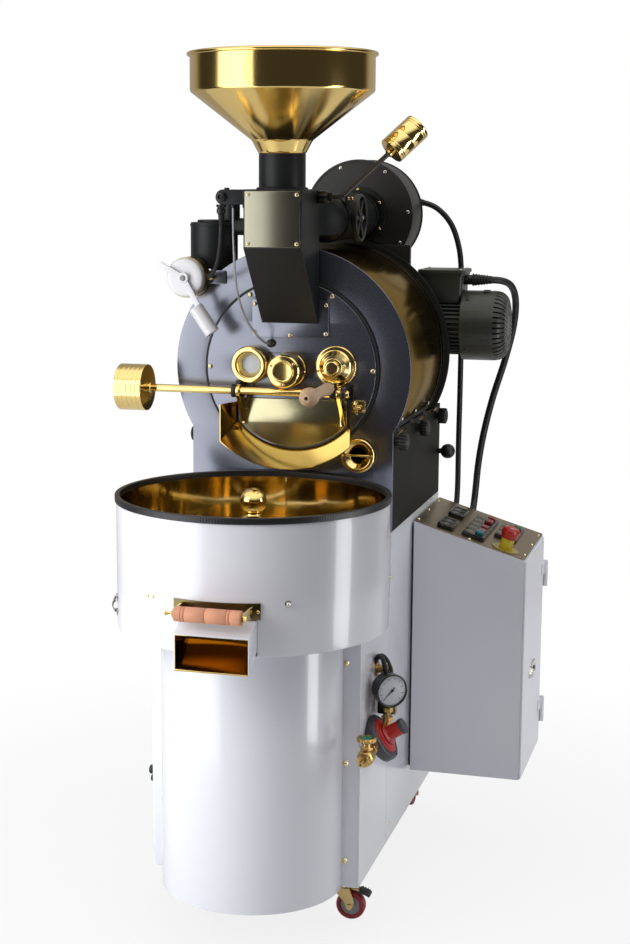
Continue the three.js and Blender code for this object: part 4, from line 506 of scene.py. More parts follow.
def shifted(shape, offset):
    return shape[0] + np.array(offset, float), shape[1]


def rolled(shape, axis, degrees, centre=(0, 0, 0)):
    # turned about an axis through a centre
    turn = np.array(Matrix.Rotation(math.radians(degrees), 3, axis))
    centre = np.array(centre, float)
    return (shape[0] - centre) @ turn.T + centre, shape[1]


def joined(shapes):
    # several shapes as one, with their faces renumbered
    points, faces, start = [], [], 0
    for shapePoints, shapeFaces in shapes:
        points.append(shapePoints)
        faces += [[v + start for v in face] for face in shapeFaces]
        start += len(shapePoints)
    return np.vstack(points), faces


def turnedOutward(mesh, merged):
    # every face looks outward; merged also takes away doubles and faces without an area
    work = bmesh.new()
    work.from_mesh(mesh)
    if merged:
        bmesh.ops.remove_doubles(work, verts=work.verts, dist=0.004)
        bmesh.ops.dissolve_degenerate(work, edges=work.edges, dist=0.0005)
    bmesh.ops.recalc_face_normals(work, faces=work.faces)
    work.to_mesh(mesh)
    work.free()


def outwardMesh(name, shapes):
    points, faces = joined(shapes)
    mesh = bpy.data.meshes.new(name)
    mesh.from_pydata(points.tolist(), [], faces)
    turnedOutward(mesh, True)
    return mesh


def carved(shapes, cutters):
    # the shapes with the cutters taken away, by exact mesh booleans
    body = sceneObject("body", outwardMesh("body", shapes))
    tools = []
    for cutter in cutters:
        tool = sceneObject("tool", outwardMesh("tool", [cutter]))
        modifier = body.modifiers.new("cut", "BOOLEAN")
        modifier.operation, modifier.solver, modifier.object = "DIFFERENCE", "EXACT", tool
        tools.append(tool)
    graph = bpy.context.evaluated_depsgraph_get()
    mesh = bpy.data.meshes.new_from_object(body.evaluated_get(graph))
    result = meshArrays(mesh)
    for thing in [body, *tools]:
        bpy.data.objects.remove(thing)
    return result


def makePiece(name, shapes, material, replaces=(), body="machine", sharp=34):
    # a finished piece: metres, at the origin, smooth but for edges sharper than an angle
    mesh = outwardMesh(name, shapes)
    points = np.empty(len(mesh.vertices) * 3)
    mesh.vertices.foreach_get("co", points)
    points = points.reshape(-1, 3) * mm + machineOrigin
    mesh.vertices.foreach_set("co", points.ravel())
    mesh.polygons.foreach_set("use_smooth", np.ones(len(mesh.polygons), bool))
    mesh.set_sharp_from_angle(angle=math.radians(sharp))
    mesh.update()
    made = sceneObject(name, mesh)
    made.data.materials.append(material)
    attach(made, body)
    if replaces:
        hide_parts(*replaces)
    return made


def repaint(node, material):
    nodes[node].data.materials.clear()
    nodes[node].data.materials.append(material)


cameraSettings = {
    "place": (968.9, -3477.9, 1476.0), "yaw": 0.292, "pitch": 0.171, "roll": -0.001,
    "focalPixels": 1746.79, "centrePixel": (255.0, 482.896), "frame": (630, 944),
    "sensor": 36.0,
}


def makeCamera(s):
    # right, down and forward directions of the picture, as rows, from yaw, pitch and roll
    cy, sy = math.cos(s["yaw"]), math.sin(s["yaw"])
    cp, sp = math.cos(s["pitch"]), math.sin(s["pitch"])
    forward = np.array([-sy * cp, cy * cp, -sp])
    right = np.array([cy, sy, 0.0])
    down = np.cross(forward, right)
    cr, sr = math.cos(s["roll"]), math.sin(s["roll"])
    right, down = cr * right + sr * down, -sr * right + cr * down
    data = bpy.data.cameras.new("photoCamera")
    made = sceneObject("photoCamera", data)
    wide, tall = s["frame"]
    data.sensor_width, data.sensor_fit = s["sensor"], "AUTO"
    data.lens = s["focalPixels"] * s["sensor"] / tall
    data.shift_x = (wide / 2 - s["centrePixel"][0]) / tall
    data.shift_y = (s["centrePixel"][1] - tall / 2) / tall
    data.clip_end = 100
    turn = Matrix(np.column_stack([right, -down, -forward]).tolist()).to_4x4()
    made.matrix_world = Matrix.Translation(machinePoint(*s["place"])) @ turn
    bpy.context.scene.camera = made


makeCamera(cameraSettings)
print("stage: camera set")


floorSettings = {
    "radius": 2.6, "sides": 96, "middle": (0.0, 0.1), "white": 0.66, "near": 0.5, "far": 1.7,
    "shadowShare": 0.84,
    "mirrorShare": 0.4,
}


def makeFloor(s):
    # round pale floor: diffuse near the machine, so it keeps the soft shadow, and plain white
    # towards its edge for the camera, where it meets the white background
    sides = s["sides"]
    angle = np.arange(sides) / sides * 2 * np.pi
    rim = np.column_stack([s["radius"] * np.cos(angle), s["radius"] * np.sin(angle),
                           np.zeros(sides)])
    mesh = bpy.data.meshes.new("floor")
    mesh.from_pydata(rim.tolist(), [], [list(range(sides))])
    floor = sceneObject("floor", mesh)
    finish = Finish("floorWhite")
    grain = finish.noise(40.0, 2.0)
    finish.set(Base_Color=finish.blend(grain, (s["white"],) * 3 + (1,),
                                       (s["white"] * 0.98,) * 3 + (1,)))
    finish.set(Roughness=between(grain, 0.7, 0.8))
    glow = finish.node("ShaderNodeEmission", {}, {"Color": (1, 1, 1, 1), "Strength": 1.0})
    reach = finish.node("ShaderNodeVectorMath", {"operation": "DISTANCE"},
                        {0: finish.place, 1: (*s["middle"], 0.0)}, "Value")
    away = finish.smoothStep(reach, s["near"], s["far"], s["shadowShare"])
    mirrored = finish.ray("Glossy") * s["mirrorShare"]
    share = finish.ray("Camera") * away + mirrored + finish.ray("Transmission") * away
    mixed = finish.node("ShaderNodeMixShader", {},
                        {0: share, 1: Signal(finish, finish.shader.outputs[0]), 2: glow})
    finish.tree.links.new(mixed.socket, finish.tree.nodes["Material Output"].inputs["Surface"])
    floor.data.materials.append(finish.material)


class Sky(Finish):
    # the world's own tree, with the same way of adding nodes
    def __init__(self, world):
        self.material = world
        world.use_nodes = True
        self.tree = world.node_tree
        self.shader = self.tree.nodes["Background"]
        self.place = self.node("ShaderNodeTexCoord", {}, {}, "Generated")


# rise: the directions in Z between which the wall goes over to the ceiling. Each panel: middle
# and half width of its azimuth in degrees, its lowest and highest direction in Z, how soft its
# edges are, and its colour and brightness
skySettings = {
    "rise": (0.25, 0.7),
    "wall": (0.050, 0.047, 0.043, 1), "top": (1.5, 1.46, 1.4, 1), "matt": (0.62, 0.62, 0.65, 1),
    "panels": [
        ((106, 52), (-0.9, 0.9), 0.16, (0.42, 0.40, 0.38, 1)),
        ((-142, 20), (-0.75, 0.62), 0.05, (0.9, 0.9, 0.93, 1)),
    ],
}


def makeSky(s):
    # white for the camera. Mirrors see a studio: dark walls, a bright ceiling, a grey backdrop
    # behind the machine and a bright panel before it on the left. Matt surfaces see the walls
    # and a softer ceiling.
    sky = Sky(bpy.data.worlds.new("studio"))
    bpy.context.scene.world = sky.material
    part = [sky.node("ShaderNodeSeparateXYZ", {}, {0: sky.place}, axis) for axis in "XYZ"]
    azimuth = sky.node("ShaderNodeMath", {"operation": "ARCTAN2"}, {0: part[1], 1: part[0]})
    rise = sky.smoothStep(part[2], *s["rise"])
    color = sky.blend(rise, s["wall"], s["top"])

    def inside(value, low, high, soft):
        up = sky.smoothStep(value, low - soft, low + soft)
        return up * sky.smoothStep(value, high - soft, high + soft, 1.0, 0.0)

    for (middle, half), (low, high), soft, tone in s["panels"]:
        side = inside(azimuth, math.radians(middle - half), math.radians(middle + half), soft)
        color = sky.blend(side * inside(part[2], low, high, soft), color, tone)
    color = sky.blend(sky.ray("Glossy"), sky.blend(rise, s["wall"], s["matt"]), color)
    sky.set(Color=sky.blend(sky.ray("Camera") + sky.ray("Transmission"), color, (1, 1, 1, 1)))


# place, aimed point and size in millimetres, power in watts. Only the strip and the soft box
# show in glossy surfaces. The strip lights nothing else: it draws the bright upright line on
# the tray. The soft box stands close, so polished and satin faces show its edge.
lampSettings = {
    "strip": {"place": (1618, -256, 760), "aim": (230, -439, 760), "size": (440, 1500),
              "power": 12},
    "softBox": {"place": (-1165, -1230, 980), "aim": (-625, 25, 930), "size": (1480, 2000),
                "power": 20.5},
    "key": {"place": (-2700, -2900, 2300), "aim": (0, 0, 800), "size": (2000, 2000), "power": 50},
    "fill": {"place": (3100, 1500, 1500), "aim": (0, 0, 700), "size": (2200, 2200), "power": 33},
    "rim": {"place": (700, 3000, 2700), "aim": (0, 0, 1000), "size": (1500, 1500), "power": 22},
}


def makeLamps(lamps):
    for name, s in lamps.items():
        data = bpy.data.lights.new(name, "AREA")
        data.shape, data.energy = "RECTANGLE", s["power"]
        data.size, data.size_y = s["size"][0] * mm, s["size"][1] * mm
        made = sceneObject(name, data)
        made.visible_glossy = name in ("strip", "softBox")
        made.visible_diffuse = name != "strip"
        made.visible_camera = False
        place = machinePoint(*s["place"])
        way = Vector(machinePoint(*s["aim"]) - place)
        turn = way.to_track_quat("-Z", "Y").to_matrix().to_4x4()
        made.matrix_world = Matrix.Translation(place) @ turn


makeFloor(floorSettings)
makeSky(skySettings)
makeLamps(lampSettings)
bpy.context.scene.view_settings.view_transform = "Standard"
print("stage: floor, sky and lamps made")


cordSettings = {
    "lampCord": {
        "node": "lamp_cable", "finish": "black", "sides": 16, "relief": 26, "stiffness": "limp",
        "lay": "hanging",
        "radius": 4.0,
        "route": [(-109, -128, 1415.4), (-109, -128, 1398), (-116, -114, 1352), (-134, -78, 1312),
                  (-156, -44, 1288), (-172.7, -24, 1279)],
    },
    "probeCord": {
        "node": "probe_wire", "finish": "braid", "sides": 16, "relief": 0, "stiffness": "limp",
        "lay": "hanging",
        "radius": 2.5,
        "route": [(-84, -128, 1429.4), (-84, -128, 1412), (-84, -123, 1340), (-84, -104, 1262),
                  (-74, -76, 1202), (-58, -46, 1164), (-46, -22, 1147), (-41.5, -10, 1145),
                  (-41.5, -2, 1145)],
    },
    "motorCord": {
        "node": "motor_cable", "finish": "black", "sides": 20, "relief": 44, "stiffness": "medium",
        "lay": "hanging",
        "radius": 8.0,
        "route": [(293.6, 486, 1256), (308, 486, 1256), (333, 490, 1256), (354, 504, 1254),
                  (370, 527, 1246), (378, 556, 1226), (379, 581, 1191), (372, 599, 1140),
                  (354, 607, 1066), (326, 606, 970), (306, 605, 880), (296, 604.5, 810),
                  (292, 604, 760), (290, 595.2, 723), (290, 571, 698.8), (290, 538, 690),
                  (290, 520.9, 690)],
    },
    "fanCord": {
        "node": "fan_cable", "finish": "black", "sides": 20, "relief": 40, "stiffness": "medium",
        "lay": "hanging",
        "radius": 6.5,
        "route": [(122.1, 571, 1430), (142, 571, 1430), (186, 573, 1418), (222, 580, 1382),
                  (242, 590, 1324), (248, 598, 1250), (249, 603, 1150), (249, 604, 1000),
                  (248, 604, 860), (248, 604, 760), (248, 595.2, 723), (248, 571, 698.8),
                  (248, 538, 690), (248, 520.9, 690)],
    },
}


def cordFinish(name, pale, deep, turns, pitch, rough, metallic=0.0):
    # braid on the cord's own map: U runs once round it and V is its length in millimetres;
    # two sets of threads wind in opposite directions, each a sine of U and V
    finish = Finish(name)
    finish.place = finish.node("ShaderNodeTexCoord", {}, {}, "UV")
    around = finish.node("ShaderNodeSeparateXYZ", {}, {0: finish.place}, "X")
    along = finish.node("ShaderNodeSeparateXYZ", {}, {0: finish.place}, "Y")
    full = 2 * math.pi
    left = finish.sine(around * (turns * full) + along * (full / pitch))
    right = finish.sine(around * (turns * full) - along * (full / pitch))
    weave = (left * right) * 0.5 + 0.5
    finish.set(Base_Color=finish.blend(weave, rgb(deep), rgb(pale)), Metallic=metallic)
    finish.set(Roughness=between(weave, rough * 1.3, rough))
    finish.bump(weave, 0.0003)
    return finish.material


def tubePiece(name, line, radius, sides, material):
    # a cord's own mesh, with a map that runs round and along it
    points, faces = swept(line, radius, sides)
    mesh = bpy.data.meshes.new(name)
    mesh.from_pydata((points * mm + machineOrigin).tolist(), [], faces)
    length = lengthAlong(line)
    around, along = np.tile(np.arange(sides) / sides, len(line)), np.repeat(length, sides)
    corner = np.empty(len(mesh.loops), int)
    mesh.loops.foreach_get("vertex_index", corner)
    u = around[corner]
    quads = np.arange(len(mesh.loops)) < 4 * sides * (len(line) - 1)
    quad = np.where(quads)[0].reshape(-1, 4)
    seam = u[quad].max(1) - u[quad].min(1) > 0.5
    u[quad] = np.where(seam[:, None] & (u[quad] < 0.5), u[quad] + 1, u[quad])
    mesh.uv_layers.new(name="cordMap").uv.foreach_set("vector",
                                                      np.stack([u, along[corner]], -1).ravel())
    turnedOutward(mesh, False)
    mesh.polygons.foreach_set("use_smooth", np.ones(len(mesh.polygons), bool))
    made = sceneObject(name, mesh)
    mesh.materials.append(material)
    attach(made, "machine")
    return made


def reliefPiece(name, line, radius, length, material):
    # ribbed sleeve that tapers onto the cord: radius falls from 1.7 to 1.08 of the cord's, with
    # a small rise at every rib
    reach = lengthAlong(line)
    at = np.linspace(0, length, 41)
    centre = np.stack([np.interp(at, reach, line[:, k]) for k in range(3)], -1)
    share = at / length
    rib = 1 + 0.07 * np.sign(np.sin(share * 14 * math.pi)) * (share < 0.85)
    return makePiece(name, [swept(centre, radius * (1.7 - 0.62 * share) * rib, 20)], material)


def makeCords(cords):
    for name, s in cords.items():
        fine = smoothPath(s["route"], 200)
        made = tubePiece(name, fine, s["radius"], s["sides"], cordFinishes[s["finish"]])
        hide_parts(s["node"])
        if s["relief"]:
            reliefPiece(name + "Relief", fine, s["radius"], s["relief"],
                                       blackRubber)
        s["radius"] * 2 * mm


cordFinishes = {
    "black": cordFinish("cordBlack", (34, 34, 37), (20, 20, 22), 1, 60.0, 0.42),
    "braid": cordFinish("cordBraid", (196, 200, 208), (110, 112, 120), 6, 2.4, 0.32, 0.8),
}
makeCords(cordSettings)
print("stage: cords laid")


def screw(centre, axis="y", radius=4.6, height=3.0, out=-1):
    # domed head with a six-sided socket: rows of radius and height, where the socket's rows
    # follow a hexagon, radius·cos 30° / cos((angle mod 60°) - 30°)
    rows = np.array([[0, -0.1], [1, -0.1], [1, 0.3], [0.93, 0.62], [0.76, 0.86], [0.5, 1.0],
                     [0.42, 1.0], [0.4, 0.45], [0, 0.45]])
    hexed = np.array([0, 0, 0, 0, 0, 0, 1, 1, 1])[:, None]
    angle = np.arange(24) / 24 * 2 * np.pi
    six = math.cos(math.radians(30)) / np.cos(np.mod(angle, math.radians(60)) - math.radians(30))
    reach = rows[:, :1] * radius * (1 + hexed * (six - 1))
    along = np.repeat(rows[:, 1:] * height * out, 24, 1)
    points = np.stack([reach * np.cos(angle), reach * np.sin(angle), along], -1).reshape(-1, 3)
    return aimed(points, axis, centre), gridFaces(len(rows), 24)


def screwsAround(reach, middle, degrees, radius, height, out=-1):
    # screws set round a circle that faces the front or the back
    x, y, z = middle
    return [screw((x + reach * math.cos(a), y, z + reach * math.sin(a)), "y", radius, height, out)
            for a in (math.radians(v) for v in degrees)]


def tubeBetween(start, end, radius, sides=32, soft=0.8):
    # plain rod between two points, with softened ends
    start, end = np.array(start, float), np.array(end, float)
    length = float(np.linalg.norm(end - start))
    profile = softened([(0, 0), (radius, 0), (radius, length), (0, length)], soft)
    return turned(profile, (end - start) / length, start, sides)


hopperSettings = {
    "middle": (0, -67.5, 0), "foot": 1531.4, "neck": 47.5, "coneFoot": 1556, "cone": 61,
    "bandFoot": 1651,
    "band": 184, "bead": 4, "rim": 1727, "sheet": 2,
}


def makeHopper(s):
    # one closed profile turned about the vertical: outside, rolled bead, inside
    low, b = s["rim"] - s["bead"], s["bead"]
    outside = softened([(s["neck"], s["foot"]), (s["neck"] + 1.5, s["foot"] + 2),
                        (s["cone"], s["coneFoot"]), (s["band"], s["bandFoot"]),
                        (s["band"], low - b)], 4, 5).tolist()
    roll = arcPoints(b, -110, 190, 14, (s["band"] + 2, low)).tolist()
    t = s["sheet"]
    inside = softened([(s["band"] - t, low - b), (s["band"] - t, s["bandFoot"] + t),
                       (s["cone"] - t, s["coneFoot"] + t), (s["neck"] - t - 1, s["foot"] + 2),
                       (s["neck"] - t - 1, s["foot"])], 4, 5).tolist()
    shape = turned(outside + roll + inside, "z", s["middle"], 160, closed=True)
    makePiece("hopperBowl", [shape], spunBrass, ["hopper"])


chargeSettings = {
    "half": 60, "front": -138, "top": 1460, "elbow": 1344, "toe": (-12, 1194), "foot": 1157,
    "heel": 1188,
    "sheet": 3,
    "flangeHalf": 82, "flangeTop": 1236, "neck": 47, "neckWall": 3, "neckTop": 1531,
    "screws": [(-76, 1226), (-76, 1167), (76, 1226), (76, 1167), (0, 1163)],
    "neckAxis": (0, -67.5, 0), "armAxis": (-106, 0, 1445), "gland": (-109, -128, 0),
    "smallGland": (-84, -128, 0), "probe": (-41.5, 0, 1145),
}


def makeChargeBox(s):
    side = [(s["front"], s["elbow"]), (s["front"], s["top"]), (-0.4, s["top"]), (-0.4, s["heel"]),
            (-6, s["heel"]), s["toe"]]
    t = s["sheet"]
    inner = [(s["front"] + t, s["elbow"] + 1), (s["front"] + t, s["top"] - t), (-3.4, s["top"] - t),
             (-3.4, 1197), (s["toe"][0] - 6, 1204)]
    shell = plate([side], -s["half"], s["half"], "x", bevel=1.4, rounding=3)
    hollow = plate([inner], -s["half"] + t, s["half"] - t, "x", bevel=0.2)
    mouth = block((-50, -14, 1198), (50, 20, 1242), 1, "y")
    throat = roundCut(44, 1440, 1480, "z", s["neckAxis"], 48)
    body = carved([shell], [hollow, mouth, throat])
    lip = block((-s["half"] - 0.6, s["front"] - 0.6, s["top"] - 16),
                (s["half"] + 0.6, -0.5, s["top"] + 0.4), 2, "z", 1.0)
    lid = carved([lip], [shifted(throat, (0, 0, 10)), hollow])
    flange = plate([roundedRectangle(-s["flangeHalf"], s["flangeHalf"], s["foot"], s["flangeTop"],
                                     3)], -4.3, -0.4, "y", bevel=0.8)
    makePiece("chargeFlange", [carved([flange], [mouth])], darkPaint)
    wall = s["neckWall"]
    neck = turned(softened([(s["neck"], s["top"] - 1), (s["neck"], s["neckTop"]),
                            (s["neck"] - wall, s["neckTop"]), (s["neck"] - wall, s["top"] - 1)],
                           0.8), "z", s["neckAxis"], 96, closed=True)
    collar = turned(softened([(s["neck"] + 0.2, s["top"]), (s["neck"] + 5, s["top"]),
                              (s["neck"] + 5, s["top"] + 3), (s["neck"] + 0.2, s["top"] + 5)], 0.8),
                    "z", s["neckAxis"], 96, closed=True)
    cheek = [(-59, 1430), (-59, 1460), *arcPoints(15, 90, 270, 15, (-104, 1445)).tolist()]
    arm = plate([cheek], -135, -121, "y", bevel=1.2)
    armFoot = block((-62, -137.5, 1424), (-59.6, -100, 1460), 2, "x", 0.8)
    makePiece("chargeChute", [body, lid, neck, collar, arm, armFoot], boxPaint, ["charge_box"])


def makeChargeFittings(s):
    gland = turned(softened([(0, 1408), (4.2, 1408), (6.5, 1412), (9, 1414), (9, 1422), (7.6, 1423),
                             (7.6, 1425), (10, 1426), (10, 1430.4), (0, 1430.4)], 0.6), "z",
                   s["gland"], 32)
    smallGland = turned(softened([(0, 1424), (3.4, 1424), (4.6, 1428), (4.6, 1430.5), (0, 1430.5)],
                                 0.4), "z", s["smallGland"], 24)
    boltHead = roundBar(5.5, 1460, 1463.5, 0.5, "z", (-97, -128, 0), 6)
    makePiece("cableGlands", [gland, smallGland, boltHead], blackPlastic)
    face = [roundBar(11, -135, -141, 1.0, "y", s["armAxis"], 6),
            turned(softRing([(4.5, -141), (8.4, -141), (8.4, -144), (4.5, -146)], 0.8), "y",
                   s["armAxis"], 32, closed=True)]
    makePiece("armLockNut", face, blackPlastic)
    probe = turned(softRing([(2.7, -0.4), (8.5, -0.4), (8.5, -7), (6, -10), (2.7, -11)], 0.8), "y",
                   s["probe"], 32, closed=True)
    makePiece("probeGland", [probe], blackPlastic)
    heads = [screw((x, -4.3, z), "y", 4.6, 3.2) for x, z in s["screws"]]
    makePiece("chargeFlangeScrews", heads, screwBrass)
    edge = s["front"]
    outline = roundedRectangle(-57, 57, s["elbow"] + 3, s["top"] - 3, 2)
    face = plate([outline], edge - 1.4, edge + 0.1, "y", bevel=0.5)
    makePiece("boxFacePlate", [face], faceBrass)
    corners = [(x, edge - 1.4, z) for x in (-50, 50) for z in (s["elbow"] + 10, s["top"] - 10)]
    makePiece("boxFaceScrews", [screw(place, "y", 4.2, 2.6) for place in corners], screwBrass)


leverSettings = {
    "axisY": -14, "axisZ": 1445, "elbow": 110, "way": (0.615, 0.442, 0.65), "rod": 5,
    "weight": (140, 217, 28.5),
    "flap": (56, 104, 3),
}


def groovedProfile(start, end, radius, grooves, depth=1.4, width=2.6, soft=2.0):
    # drum with narrow grooves: each groove is a short dip of the radius
    length = end - start
    profile = [(0, start), (radius, start)]
    for middle in grooves:
        at = start + middle * length
        profile += [(radius, at - width / 2), (radius - depth, at - width / 5),
                    (radius - depth, at + width / 5), (radius, at + width / 2)]
    profile += [(radius, end), (0, end)]
    return np.vstack([profile[:1], softened(profile[0:3], soft, 4)[1:-1],
                      softened(profile[2:-1], 0.5, 1)[:-1], softened(profile[-3:], soft, 4)[1:-1],
                      profile[-1:]])


def makeLever(s):
    y, z, elbow = s["axisY"], s["axisZ"], s["elbow"]
    way = np.array(s["way"]) / np.linalg.norm(s["way"])
    corner = np.array([elbow, y, z], float)
    half, reach, thick = s["flap"]
    flap = block((-half, y - reach, z - thick / 2), (half, y, z + thick / 2), 6, "z", 0.5)
    shaft = tubeBetween((-66, y, z), (73, y, z), 5.9)
    hub = turned(softened([(0, 60.4), (13, 60.4), (13, 78), (11.5, 78), (11.5, 82), (0, 82)], 0.8),
                 "x", (0, y, z), 48)
    nut = roundBar(9.5, 82, 92, 1.0, "x", (0, y, z), 6)
    before = np.array([[88, y, z], [elbow - 12, y, z]])
    t = np.linspace(0, 1, 9)[:, None]
    bend = ((1 - t) ** 2 * (corner - (12, 0, 0)) + 2 * t * (1 - t) * corner
            + t ** 2 * (corner + way * 12))
    rod = swept(np.vstack([before[:1], bend, corner + way * (s["weight"][1] - 4)]), s["rod"], 28)
    makePiece("leverArm", [flap, shaft, hub, nut, rod], darkSteel, ["charge_lever"],
              body="charge_gate")
    start, end, radius = s["weight"]
    drum = turned(groovedProfile(start, end, radius, (0.1, 0.16, 0.5, 0.84, 0.9), 0.4, 1.0), way,
                  corner, 96)
    tip = turned(softened([(0, end - 1), (6, end - 1), (5.4, end + 1.2), (0, end + 2.2)], 0.8), way,
                 corner, 32)
    sleeve = roundBush(4.6, 8.5, start - 9, start + 0.5, 0.7, way, corner, 32)
    makePiece("leverWeight", [drum, tip, sleeve], brass, ["charge_weight"], body="charge_gate")


makeHopper(hopperSettings)
makeChargeBox(chargeSettings)
makeChargeFittings(chargeSettings)
makeLever(leverSettings)
print("stage: hopper, charge box and lever made")


discSettings = {"radius": 181, "ring": 186.5, "back": 9.6, "screwCircle": 175,
                "bearings": (-108, 126), "shaftBore": 15.5}
doorSettings = {"x": 7, "half": 115, "top": 1030, "straight": 49, "sag": 50, "thick": 5,
                "shaftY": -45, "shaftZ": 1049}


def doorOutline(half, top, straight, sag, x=7, steps=48):
    # straight sides that end in one shallow arc, whose radius follows from width and sag
    radius = (half * half + sag * sag) / (2 * sag)
    sweep = math.degrees(math.asin(half / radius))
    arc = arcPoints(radius, -90 - sweep, -90 + sweep, steps, (x, top - straight - sag + radius))
    return np.vstack([[(x - half, top)], arc, [(x + half, top)]])


def ringOf(radius, x, z, steps=72):
    return arcPoints(radius, 0, 360 - 360 / steps, steps, (x, z))


def makeFrontDisc(s):
    d = doorSettings
    window = doorOutline(d["half"] - 9, d["top"] - 9, d["straight"] - 9, d["sag"] - 4.5)
    chute = roundedRectangle(-50, 50, 1190, 1242, 1)
    bores = [ringOf(radius, *portSettings[port][::2])
             for port, radius in (("sight", 23), ("trier", 11))]
    loops = [ringOf(s["radius"], 0, drumZ, 180), window, chute, *bores,
             ringOf(s["shaftBore"], 0, drumZ)]
    face = plate(loops, 0, s["back"], "y", bevel=1.0, rounding=3)
    # black rubber ring round the disc's edge: partly the seal's own black, partly painted shade for
    # the gap between disc and plate
    sealGapShade = roundBush(s["radius"] - 0.5, s["ring"], 3.4, s["back"], 0.5, "y", drumAxis, 180)
    makePiece("frontDiscFace", [face], darkPaint, ["front_disc"])
    makePiece("discSealGapShade", [sealGapShade], blackRubber)
    makePiece("discScrews", screwsAround(s["screwCircle"], drumAxis, range(0, 360, 60), 5.2, 3.6),
              screwBrass)
    posts = []
    for x in s["bearings"]:
        ring = roundBush(8.6, 14, -4, 4, 0.7, "x", (x, d["shaftY"], d["shaftZ"]), 64)
        web = block((x - 3.6, d["shaftY"] + 11, d["shaftZ"] - 12), (x + 3.6, 0.1, d["shaftZ"] + 12),
                    3, "x", 0.8)
        foot = block((x - 10, -4, d["shaftZ"] - 17), (x + 10, 0.1, d["shaftZ"] + 17), 3, "y", 0.8)
        posts += [ring, web, foot]
    makePiece("shaftBearings", posts, blackPlastic)


portSettings = {
    "sight": (-82, 0, 1101), "trier": (98, 0, 1101), "inspection": (146, 0, 918),
    "capScrews": (27.4, (35, 155, 275)),
    "trierPegs": (37.6, (195, 350)), "barHalf": 26, "barPegs": 31,
}


def makePorts(s):
    cap = softened([(0, -63), (18.5, -63), (19.5, -64), (22, -64), (23, -62.6), (23, -60.2),
                    (31.5, -60.2), (34.4, -57), (34.4, -16), (36, -14.4), (36, -0.3), (0, -0.3)],
                   0.8)
    reach, degrees = s["capScrews"]
    capScrews = screwsAround(reach, (0, -60, drumZ), degrees, 3.0, 1.8)
    makePiece("bearingCapBody", [turned(cap, "y", drumAxis, 128)] + capScrews, brass,
              ["bearing_cap"])
    sight = softened([(19, -0.3), (39, -0.3), (39, -24), (36.5, -28), (28.5, -28), (26.5, -27),
                      (18.8, -12), (18.8, -0.3)], 1.0)
    makePiece("sightRing", [turned(sight, "y", s["sight"], 128, closed=True)], brass,
              ["sight_port"])
    makePiece("sightGlass", [roundBar(19.4, -10, -6, 0.4, "y", s["sight"], 64)], paneGlass)
    flange = softened([(10.6, -0.3), (43, -0.3), (43, -6.5), (41, -8.3), (33.5, -8.3), (31, -11),
                       (24, -22), (19, -33.6), (10.6, -33.6)], 1.2)
    reach, degrees = s["trierPegs"]
    x, _, z = s["trier"]
    pegs = screwsAround(reach, (x, -8, z), degrees, 2.8, 2.0)
    makePiece("trierCone", [turned(flange, "y", s["trier"], 128, closed=True)] + pegs, brass,
              ["trier_port"])
    knob = softened([(0, -44.3), (12.5, -44.3), (15, -42), (15, -37), (13.6, -34.3), (10, -34.3),
                     (10, 108), (0, 118)], 1.0)
    trough = block((x - 15, 32, z - 2.5), (x + 15, 106, z + 19), 3, "z", 0.5)
    groove = tubeBetween((x, 30, z), (x, 108, z), 8)
    body = carved([turned(knob, "y", s["trier"], 72)], [trough, groove])
    makePiece("trierRod", [body], brass, ["trier"], body="sample_trier")
    ring = softened([(16, 9.6), (36, 9.6), (36, -8.3), (34, -10.3), (28, -10.3), (26, -9),
                     (16.5, -0.5)], 1.0)
    x, _, z = s["inspection"]
    bar = tubeBetween((x - s["barHalf"], -6, z), (x + s["barHalf"], -6, z), 2.6)
    pegs = [screw((x + side * s["barPegs"], -10.3, z), "y", 2.6, 2.0) for side in (-1, 1)]
    makePiece("inspectionRing", [turned(ring, "y", s["inspection"], 128, closed=True), bar] + pegs,
              brass, ["inspection_port"])


def makeDoor(s):
    y, z = s["shaftY"], s["shaftZ"]
    face = plate([doorOutline(s["half"], s["top"], s["straight"], s["sag"])], -0.3 - s["thick"],
                 -0.3, "y", bevel=0.9)
    arms = []
    for x in (-98, 116):
        side = [(y - 10, z - 9), (y + 2, z + 12.4), (-5.2, s["top"] - 7), (-5.2, s["top"] - 50),
                (-11, s["top"] - 50), (y + 9, s["top"] - 13)]
        blade = plate([side], x - 4, x + 4, "x", bevel=0.8)
        boss = roundBush(8.3, 13, -4, 4, 0.7, "x", (x, y, z), 64)
        hole = tubeBetween((x - 9, y, z), (x + 9, y, z), 8.3)
        arms += [carved([blade], [hole]), boss]
        arms.append(block((x - 7, -9.3, s["top"] - 54), (x + 7, -5.2, s["top"] - 22), 2, "y", 0.7))
    makePiece("doorPlate", [face], cloudyBrass, ["discharge_door"], body="bean_door")
    makePiece("doorHinges", arms, brass, body="bean_door")
    shaft = turned(softened([(0, -299), (7.9, -299), (7.9, 134), (6.4, 137), (0, 137)], 1.0), "x",
                   (0, y, z), 64)
    collar = roundBush(7.8, 10.8, -297.9, -289, 0.7, "x", (0, y, z), 64)
    weight = turned(groovedProfile(-358, -298, 48.5, (0.14, 0.31, 0.48, 0.65, 0.82), 0.35, 0.9,
                                   1.6), "x", (0, y, z), 160)
    makePiece("doorShaftRod", [shaft, weight, collar], brass, ["door_shaft"], body="bean_door")
    clamp = roundBush(8.2, 14, 98, 110, 0.8, "x", (0, y, z), 48)
    riser = block((98.5, y - 13, z + 4), (109.5, y + 6, z + 23), 3, "x", 0.8)
    stud = tubeBetween((104, -112, z + 16), (104, y, z + 16), 5)
    ferrule = turned(softened([(5, -86), (9.4, -86), (9.4, -74), (7.4, -71), (5, -71)], 0.7), "y",
                     (104, 0, z + 16), 48, closed=True)
    grub = screw((104, y - 4, z + 23), "z", 3.2, 3.0, 1)
    makePiece("doorClamp", [clamp, riser], darkSteel, body="bean_door")
    makePiece("doorStud", [stud, ferrule, grub], brass, body="bean_door")


